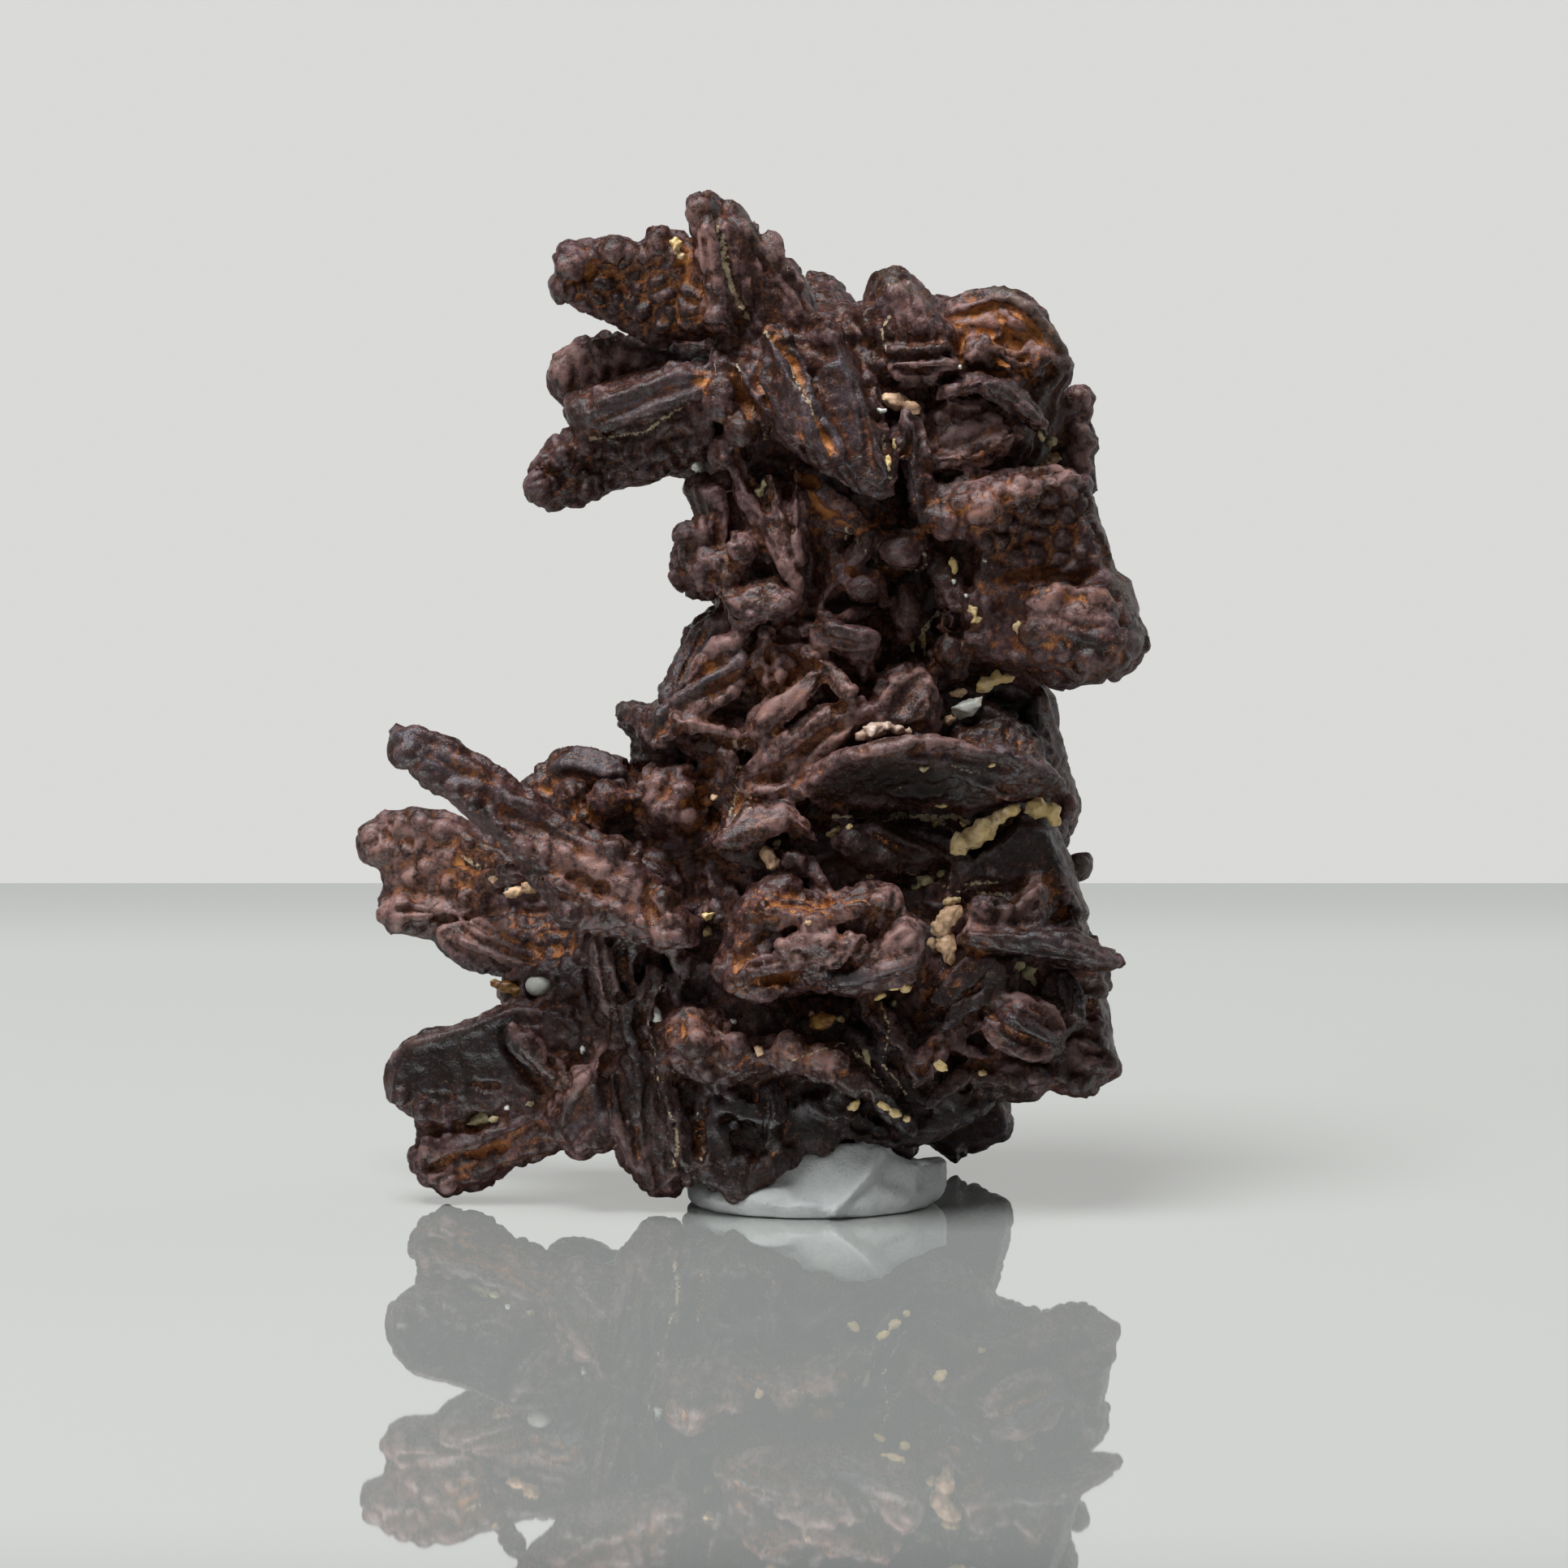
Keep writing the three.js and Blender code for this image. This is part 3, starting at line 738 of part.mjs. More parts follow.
const allForms = [
  ...heart.map(([centre, radii]) => knob(centre, radii, 1)),
  ...[upperFan, darkKnuckle, upperRight, rightPlate, stem, rightSide, leftFan, foot].flat().map(plate),
  ...[...frontBlades, ...backBlades].map(blade),
  ...[...frontKnobs, ...backKnobs].map(([centre, radius]) => knob(centre, radius)),
];
const joined = allForms.reduce((all, next) => all.add(next)).subtract(slab(-slabWidth, floorClearance));
const sockets = Object.values(grains).map((spec) => grain(spec, gap));
const plain = withoutShortEdges(joined, shortestEdge);
const cluster = sockets.reduce((all, socket) => all.subtract(socket), plain);
const pad = putty().subtract(grown(cluster.intersect(slab(0, puttyReach)), gap));

const stoneBrown = new THREE.MeshStandardMaterial({ color: 0x3b2620, roughness: 0.55, metalness: 0.05 });
const puttyWhite = new THREE.MeshStandardMaterial({ color: 0xc3cccf, roughness: 0.6, metalness: 0 });
const grainMaterials = {
  rock: new THREE.MeshStandardMaterial({ color: 0xd2c6a0, roughness: 0.6, metalness: 0 }),
  sand: new THREE.MeshStandardMaterial({ color: 0xe6e0d6, roughness: 0.45, metalness: 0 }),
  amber: new THREE.MeshStandardMaterial({ color: 0xa0662c, roughness: 0.4, metalness: 0 }),
};

const specimen = new THREE.Group();

function addPiece(name, solid, material) {
  const mesh = new THREE.Mesh(geometryOf(solid), material);
  mesh.name = name;
  specimen.add(mesh);
}

addPiece("goethite_cluster", cluster, stoneBrown);
addPiece("display_putty", pad, puttyWhite);
for (const [name, spec] of Object.entries(grains)) {
  const kind = name.split("_")[0];
  addPiece(name, grain(spec), grainMaterials[kind]);
}

// The origin is at the middle of the base.
const bounds = new THREE.Box3().setFromObject(specimen);
const centre = bounds.getCenter(new THREE.Vector3());
specimen.position.set(-centre.x, -centre.y, -bounds.min.z);

export default specimen;
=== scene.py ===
import math

import bmesh
import bpy
import numpy as np
from mathutils import Matrix, Vector, noise
from mathutils.bvhtree import BVHTree


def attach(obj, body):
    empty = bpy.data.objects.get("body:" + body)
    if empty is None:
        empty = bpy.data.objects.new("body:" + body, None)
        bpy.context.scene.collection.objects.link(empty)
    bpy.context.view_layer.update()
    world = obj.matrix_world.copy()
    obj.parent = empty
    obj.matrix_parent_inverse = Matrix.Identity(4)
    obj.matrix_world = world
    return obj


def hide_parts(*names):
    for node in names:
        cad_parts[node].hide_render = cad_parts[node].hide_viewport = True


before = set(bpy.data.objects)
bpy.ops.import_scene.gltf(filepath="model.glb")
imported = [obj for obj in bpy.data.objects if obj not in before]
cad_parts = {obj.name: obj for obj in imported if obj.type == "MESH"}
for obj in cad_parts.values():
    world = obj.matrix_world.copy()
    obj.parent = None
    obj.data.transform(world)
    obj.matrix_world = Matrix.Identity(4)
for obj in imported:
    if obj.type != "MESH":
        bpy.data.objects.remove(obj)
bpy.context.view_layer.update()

# ---------- the camera ----------
# It looks at the display face from slightly above, and from far enough off that the blades
# keep their true proportions.

look_down = math.radians(8)
view_distance = 0.6
view_width = 0.0966
rightwards = Vector((1, 0, 0))
upwards = Vector((0, math.sin(look_down), math.cos(look_down)))
to_viewer = Vector((0, -math.cos(look_down), math.sin(look_down)))
face_middle = Vector((0.00215, 0.00129, 0.02515))

camera = bpy.data.objects.new("camera", bpy.data.cameras.new("camera"))
camera.data.sensor_width = 36
camera.data.lens = 36 * view_distance / view_width
camera.data.clip_start, camera.data.clip_end = 0.05, 10
camera.location = face_middle + view_distance * to_viewer
camera.rotation_euler = (math.pi / 2 - look_down, 0, 0)
bpy.context.scene.collection.objects.link(camera)
bpy.context.scene.camera = camera
bpy.context.scene.view_settings.view_transform = "Standard"

# ---------- the goethite cluster ----------
# One body of iron oxide that took the place of an older mineral and kept the shape of its
# blades. Its skin is botryoidal: small knobs and ribs, waxy, with rust between them.
# Lengths here are in mm. A place is [across, up] on the display face, measured from its foot.

mm = 0.001
middle_place = (-1.7, 25.4)
voxel = 0.2


def sight_line(across, up):
    """The viewer's eye, and the direction in which it sees a place of the display face."""
    offset = (across - middle_place[0]) * rightwards + (up - middle_place[1]) * upwards
    eye = camera.location / mm
    return eye, (face_middle / mm + offset - eye).normalized()


def on_face(surface, across, up, reach=1.2):
    """The point of a surface at a place of the display face, with the way it faces there. A
    place just past the outline takes the nearest point within reach."""
    eye, direction = sight_line(across, up)
    point, normal, _, _ = surface.ray_cast(eye, direction)
    if point is not None:
        return point, normal
    nearest = None
    for depth in np.arange(-16, 16, 0.5):
        found = surface.find_nearest(eye + direction * (view_distance / mm + depth))
        if nearest is None or found[3] < nearest[3]:
            nearest = found
    return (nearest[0], nearest[1]) if nearest[3] < reach else (None, None)


# Round knobs along rims and on faces: across, up, radius.
knobs = [
    # top paddle: rim, then its end and lower edge
    (-15.2, 57, 1), (-14.3, 57.7, 0.9), (-13.2, 58, 0.7), (-12.2, 58.1, 0.75),
    (-11.3, 58.2, 0.7), (-10.3, 57.8, 0.55), (-9.4, 58.4, 0.85), (-8.7, 58.1, 0.7),
    (-15.4, 55.8, 0.8), (-14.9, 55.2, 0.65), (-14.1, 54.8, 0.7), (-13.2, 54.6, 0.6),
    (-13.8, 55.8, 0.75), (-12.5, 54, 0.5), (-11.7, 53.6, 0.5), (-10.6, 53.1, 0.6),
    (-9.9, 52.7, 0.5), (-9.1, 52.5, 0.5),
    # round leaf
    (-15.6, 50.9, 1.2), (-14.7, 52, 0.8), (-13.2, 52.4, 0.8), (-15.1, 49.5, 0.9),
    (-13, 51.3, 1.1), (-14.2, 51.3, 1), (-11.8, 51.4, 0.9), (-10.4, 51.4, 0.7),
    (-14, 50.2, 0.9), (-12.6, 51.4, 0.7), (-11.6, 52, 0.6), (-10.6, 51.7, 0.6),
    # lower paddle
    (-17.1, 43.7, 0.9), (-16.6, 42.8, 0.7), (-15.2, 42.8, 0.6), (-16.3, 45.1, 0.8),
    (-15.1, 44.6, 0.85), (-15.6, 45.8, 0.7), (-14.1, 45.9, 0.8), (-13.2, 45.4, 0.7),
    (-14.2, 43.3, 0.7), (-13.2, 43.2, 0.6), (-12.3, 43.8, 0.6), (-11.3, 44.1, 0.5),
    (-10.4, 44.3, 0.5), (-9.4, 44.5, 0.55), (-13.9, 47.7, 0.9), (-14.4, 47.1, 0.7),
    (-12.4, 46.6, 0.6), (-11.4, 45.7, 0.6), (-10.2, 45.6, 0.55),
    # crest
    (-7.3, 60.5, 0.85), (-6.5, 61, 0.8), (-7.2, 59.6, 0.5), (-6.9, 58, 0.6),
    (-6.9, 56.6, 0.6), (-6.8, 55.2, 0.6), (-6.3, 54.3, 0.7), (-1.5, 57, 0.6),
    (-0.7, 56.3, 0.6),
    # beside the dark knuckle
    (-5.9, 48.5, 1.3), (-5.2, 50, 1), (-4.1, 47.2, 1.15), (-5.3, 46.6, 0.9),
    (-5.5, 45.3, 0.7), (-5.5, 51, 0.8), (-6.2, 50.4, 0.5), (-2.4, 50.7, 0.7),
    # upper right lobe and the peak's foot
    (14.4, 51.5, 0.95), (9.9, 51.7, 0.6), (13.2, 52.4, 0.6), (11.6, 53.4, 0.7),
    (10.6, 52.9, 0.55), (12.6, 53.9, 0.6), (2.4, 53, 0.7), (3.5, 53.4, 0.5),
    (9.1, 51.1, 0.4), (13.9, 49.4, 0.6),
    # narrow leaf
    (16.8, 49.3, 0.7), (15.8, 49, 0.6), (17, 48.2, 0.6), (16.6, 47, 0.7),
    (17.3, 46.4, 0.5), (17, 45, 0.6), (17.1, 44, 0.5), (15.5, 48.2, 0.5),
    (15.2, 47.4, 0.5),
    # broad plate: thick upper edge
    (10.4, 42.4, 1.25), (11.8, 41.6, 0.8), (12.6, 43.1, 0.9), (11.5, 43.6, 0.75),
    (9.5, 41, 0.8), (10.8, 40.7, 0.9), (8.2, 41.8, 0.6), (8.8, 42.9, 0.6),
    (13.8, 43.4, 0.8), (12.8, 42.3, 0.6), (14.7, 43.4, 0.7), (8.2, 40.8, 0.55),
    # broad plate: bulge and lower corner
    (13.4, 35.9, 0.6), (12.9, 34.9, 0.55),
    (18.4, 33.2, 0.9), (19.4, 33.2, 0.8), (17, 33.2, 1), (15.4, 33.6, 0.8),
    (13.9, 33.4, 0.7), (16.4, 32, 0.8), (14.6, 31.9, 0.7), (12.7, 32.6, 0.6),
    (18.5, 34.8, 0.7), (15.8, 34.9, 0.6), (11.4, 37.1, 0.6), (12.4, 37, 0.55),
    (10.6, 34.4, 0.8), (10.2, 33.2, 0.7), (11.3, 35.6, 0.6), (10.7, 36.6, 0.55),
    (8.3, 33.4, 1), (9.3, 32.2, 0.7), (8.4, 32.2, 0.55),
    # waist
    (-6.9, 39.4, 0.6),
    (-6.5, 40.7, 0.9), (-4.2, 39.8, 0.95), (-3.1, 39.3, 0.5), (-5.6, 38.9, 0.7),
    (-4.9, 38, 0.7), (-7.9, 39.6, 0.7), (-8.2, 38.2, 0.6), (-5.2, 37.1, 0.55),
    # stem's left mass
    (-9.4, 25.8, 0.8), (-8.2, 25.9, 0.9), (-7.6, 24.9, 0.8), (-9.7, 24.5, 0.8),
    (-8.6, 23.9, 0.9), (-9.6, 23, 0.6), (-7.4, 23.6, 0.6), (-8.6, 22.8, 0.6),
    (-10.3, 25.4, 0.5), (-6.9, 22.9, 0.4),
    # knobs over the long blade
    (-14.5, 24.7, 1.1), (-15.5, 24, 0.65), (-14.1, 23.2, 0.75), (-12.3, 24.5, 1.2),
    (-11.8, 23.1, 0.6), (-13.1, 22.6, 0.7), (-15.2, 25.3, 0.5), (-10.8, 24.6, 0.6),
    (-10.9, 23.4, 0.5), (-16.4, 24.6, 0.5),
    # long blade
    (-25, 27, 1), (-23.9, 26.5, 0.9), (-23, 25.7, 0.7), (-21.9, 25.1, 0.8),
    (-20.9, 24.3, 0.6), (-19, 21.9, 0.8), (-17.8, 21.4, 0.8), (-16.8, 21.2, 1),
    (-15, 21, 0.9), (-16.2, 22.4, 0.7), (-13.4, 19.6, 0.7), (-13.6, 18.8, 0.6),
    (-15.6, 19.2, 0.6), (-14.8, 17.7, 1), (-12.4, 21.4, 0.8), (-10.9, 21.5, 0.7),
    (-10.7, 20, 0.8), (-9.3, 18.4, 0.9), (-8.8, 17.2, 0.6), (-9.2, 16.2, 1),
    (-10.4, 17, 0.7), (-12, 17.6, 0.7), (-11.2, 15.6, 1.1), (-12.6, 20.2, 0.6),
    (-20.2, 27, 0.5), (-22.4, 27.6, 0.5), (-23.6, 28.1, 0.5), (-21.2, 26.8, 0.45),
    (-18.9, 25.9, 0.45), (-13.2, 17.6, 0.6), (-11.6, 18.8, 0.6), (-14.4, 21.9, 0.5),
    (-8.6, 14.6, 0.6), (-10.2, 14.4, 0.6),
    # scalloped paddle
    (-27.4, 22.4, 1), (-26.8, 21.2, 0.9), (-25.6, 22.8, 0.9), (-24.2, 23.1, 0.8),
    (-25.4, 21, 0.9), (-22.8, 22.5, 0.8), (-23.8, 20.3, 0.7), (-22.4, 20.8, 0.8),
    (-24.6, 19.6, 0.8), (-26, 19.3, 0.7), (-25.4, 18, 0.9), (-22.4, 19.2, 0.8),
    (-21.4, 18.3, 0.8), (-22.8, 17.9, 0.7), (-22.6, 15.7, 0.9), (-21.6, 14.7, 0.8),
    (-20.4, 14.1, 0.7), (-26.4, 17.5, 0.6), (-24.4, 16.4, 0.7), (-25.6, 16.6, 0.6),
    (-20.2, 18.1, 0.6), (-19, 13.9, 0.5), (-21.2, 21.9, 0.6),
    # lower paddle
    (-24.2, 5.1, 0.8), (-22.6, 5, 0.8), (-21.2, 4.8, 0.6), (-25.3, 6.2, 0.8),
    (-23.4, 6.3, 0.6), (-21.6, 6.4, 0.5), (-24.2, 9.6, 0.5), (-22.2, 10.2, 0.45),
    (-20.2, 10.9, 0.5), (-18.4, 11.9, 0.5), (-25.6, 8.6, 0.5),
    # foot blade
    (-24.6, 2.6, 0.6), (-24.2, 1.6, 0.7), (-23.7, 3.1, 0.5), (-24.2, 3.8, 0.5),
    (-22.9, 2.4, 0.5), (-22.4, 0.8, 0.9), (-23.3, 1, 0.6), (-20.8, 1.1, 0.5),
    (-22.3, 3.4, 0.5),
    # between the fans
    (-14.3, 9.2, 0.6), (-13.3, 9.4, 0.55), (-15, 9.6, 0.5), (-14, 8.2, 0.5),
    # chunky blade at the centre
    (-1.6, 19.2, 0.95), (-2.9, 17.6, 0.55), (5.4, 18.4, 0.6), (-4, 18.3, 0.55),
    (-5.6, 13.8, 0.8), (-5, 12.8, 0.7), (-4.6, 15.2, 0.6), (-5.2, 16.2, 0.5),
    (4.4, 18.2, 0.6), (-3.2, 19.2, 0.55), (3.9, 17, 0.35), (3.3, 16.2, 0.3),
    (2.7, 15.5, 0.3), (2.1, 14.9, 0.3), (1.6, 14.3, 0.3), (-0.4, 18.6, 0.5),
    (-4.1, 0.1, 0.9), (-3.2, -0.1, 0.7), (-5, 0.6, 0.7),
    # mass under it
    (-8.4, 9.6, 0.6), (-7, 9.4, 1.15), (-6, 11, 0.85), (-8.6, 10.8, 0.7),
    (-7.2, 11.2, 0.7), (-5.2, 8.4, 0.8), (-4.5, 9.3, 0.75), (-1.5, 9.1, 1.1),
    (0.4, 8.9, 1), (-2.9, 8.5, 0.65), (1.7, 8.3, 0.8), (2.2, 7.3, 0.8),
    (-0.6, 7.8, 0.55), (-6.4, 7.6, 0.7), (-3.4, 9.9, 0.5), (-6.6, 12, 0.6),
    (1.2, 7.2, 0.6), (-8.4, 8.4, 0.6),
    # right side
    (2.4, 22.6, 0.7), (2.8, 21.4, 0.65), (4.7, 20.9, 1), (5.7, 21.5, 0.5),
    (8.4, 16.4, 0.6), (15.2, 19.6, 0.6), (15.8, 18.4, 0.6), (14.8, 18.2, 0.5),
    (10.7, 17.7, 0.75), (16.7, 20.4, 0.6), (11, 25, 0.7), (15.8, 24, 0.7),
    (17.1, 8.2, 0.7), (16.4, 7, 0.9), (18.3, 7.9, 0.8), (17.8, 9.5, 0.65),
    (13.8, 7.5, 0.75), (12.6, 6.8, 0.75), (14.4, 6.9, 0.7), (11.4, 7.2, 0.6),
    (8.6, 21.4, 0.5), (17.6, 12.8, 0.5), (17.4, 11.4, 0.45),
]

# Ribs and fingers with a rounded back: from, to, width.
fingers = [
    # crest and knuckle
    ((3.4, 56.2), (4, 53.6), 0.9), ((5.5, 47.6), (5.3, 44.6), 0.9),
    # waist
    ((-5, 44), (-1.4, 37.6), 1.2), ((-3.2, 43), (-0.6, 38.2), 0.9),
    ((-1.4, 43.2), (-1.2, 39.2), 1), ((-0.5, 43), (-0.5, 40.4), 0.7),
    ((-0.7, 38.6), (0.9, 36.2), 0.9), ((2.2, 38.7), (3.9, 40.9), 1.2),
    ((0.9, 37.6), (1.9, 40.6), 0.8), ((5.5, 37.4), (5.7, 34.2), 1.5),
    ((0.9, 35), (4.4, 36.8), 1), ((7.3, 39.2), (7.4, 37.4), 0.6),
    ((7.4, 38.6), (9.5, 35.6), 1), ((4.4, 37.4), (4.6, 35.4), 0.7),
    # stem
    ((-3.4, 33.6), (-3.1, 31.2), 0.9), ((-2.2, 33.3), (-1.7, 31.2), 1),
    ((-4.6, 35.4), (-4.4, 33.6), 0.7), ((-3.9, 25.2), (-1.4, 28.4), 1.1),
    ((-6, 26.4), (-5.6, 24.2), 0.8), ((-5, 26.6), (-4.9, 24.6), 0.6),
    ((-8.4, 27), (-5.6, 27.4), 0.8), ((-1.2, 23.6), (0.2, 22), 0.8),
    ((-5.7, 21.2), (-3.6, 20.2), 0.7), ((-4, 24.9), (-0.4, 24.7), 0.8),
    # left fan
    ((-18.5, 10.4), (-14.8, 6.8), 1.6), ((-18.8, 24.5), (-16.2, 23.7), 0.9),
    ((-13.5, 16), (-12.7, 11.4), 0.9), ((-12.4, 15.8), (-12.1, 12.6), 0.9),
    ((-11.3, 15.2), (-10.7, 13.4), 0.8), ((-10.3, 13.2), (-11.5, 11.2), 0.9),
    ((-11.5, 11.2), (-10.6, 8.6), 0.8), ((-12.3, 9.8), (-14.2, 6.8), 0.8),
    ((-14.2, 6.8), (-16.3, 5.2), 0.9), ((-15.3, 14.8), (-14.2, 12.2), 0.8),
    ((-23, 2.4), (-18.2, 4.4), 1), ((-21.4, 1.2), (-17, 3.4), 0.8),
    # foot ribs
    ((-10.6, 8.6), (-10.9, 3.2), 0.9), ((-9.2, 8), (-7.3, 1.6), 1),
    ((-11.3, 5), (-10.2, 1.2), 0.8), ((-9.7, 4.6), (-9.2, 1.2), 0.8),
    ((-8.4, 4.4), (-8.1, 1.4), 0.7), ((-7.1, 6.4), (-6.7, 1.8), 0.9),
    ((-7.2, 5.3), (-4.2, 6.1), 0.9), ((-6, 3.6), (-5.6, 1.2), 0.8),
    ((-3.3, 7), (-2.7, 4.4), 1.3), ((-3.8, 3.8), (-2.8, 2.2), 0.7),
    ((-1.9, 5.6), (-1.4, 3.4), 0.8), ((0.6, 5.6), (3.2, 4.6), 0.8), ((4.2, 6.6), (6, 4.6), 0.8),
    ((6.2, 5.2), (9.4, 5.8), 0.8), ((2.2, 11.8), (4.2, 11), 0.9),
    ((3, 10.4), (4.4, 8.2), 0.8), ((5, 11.4), (5.4, 9.6), 0.8), ((4.2, 9.6), (4.6, 7.6), 0.7),
    # blades at the lower right
    ((6, 7.5), (7.8, 9.9), 1), ((7, 7.4), (8.6, 9.4), 0.8), ((6.3, 12), (8.8, 15.2), 1),
    ((7.2, 11.6), (10, 14.8), 0.9), ((7.6, 10.6), (10.8, 12.4), 0.9),
    ((8.4, 13.2), (10.2, 15.2), 0.8), ((8.6, 9), (10.2, 9.2), 0.7),
    ((10.2, 9.8), (11.6, 8.9), 0.7), ((14.9, 13.8), (15.5, 11.4), 0.8),
    ((16, 13.6), (16.3, 11), 0.7), ((13.1, 17.2), (14, 19.6), 0.9),
    ((9.2, 16.9), (12.2, 16.5), 0.9), ((6.4, 18.3), (8.2, 17.8), 0.6),
    ((16.9, 13.8), (17, 10), 0.7),
    # chunky blade
    ((-5.2, 13), (-2.6, 13.9), 0.8), ((-3, 16.5), (-0.5, 17.3), 1),
    ((-0.5, 17), (1, 17.7), 0.8), ((2.4, 18.7), (3.8, 19.1), 0.8),
    ((1.3, 17.2), (3.4, 17.9), 1.2), ((-3.8, 12.5), (-1, 13.3), 0.9),
    ((1.6, 13.8), (4.2, 17), 0.6), ((-6, 16.4), (-5, 19.2), 0.7),
    ((-4.4, 16.8), (-4.8, 19.2), 0.6), ((-3.6, 18.5), (-2.4, 19.6), 0.7),
]

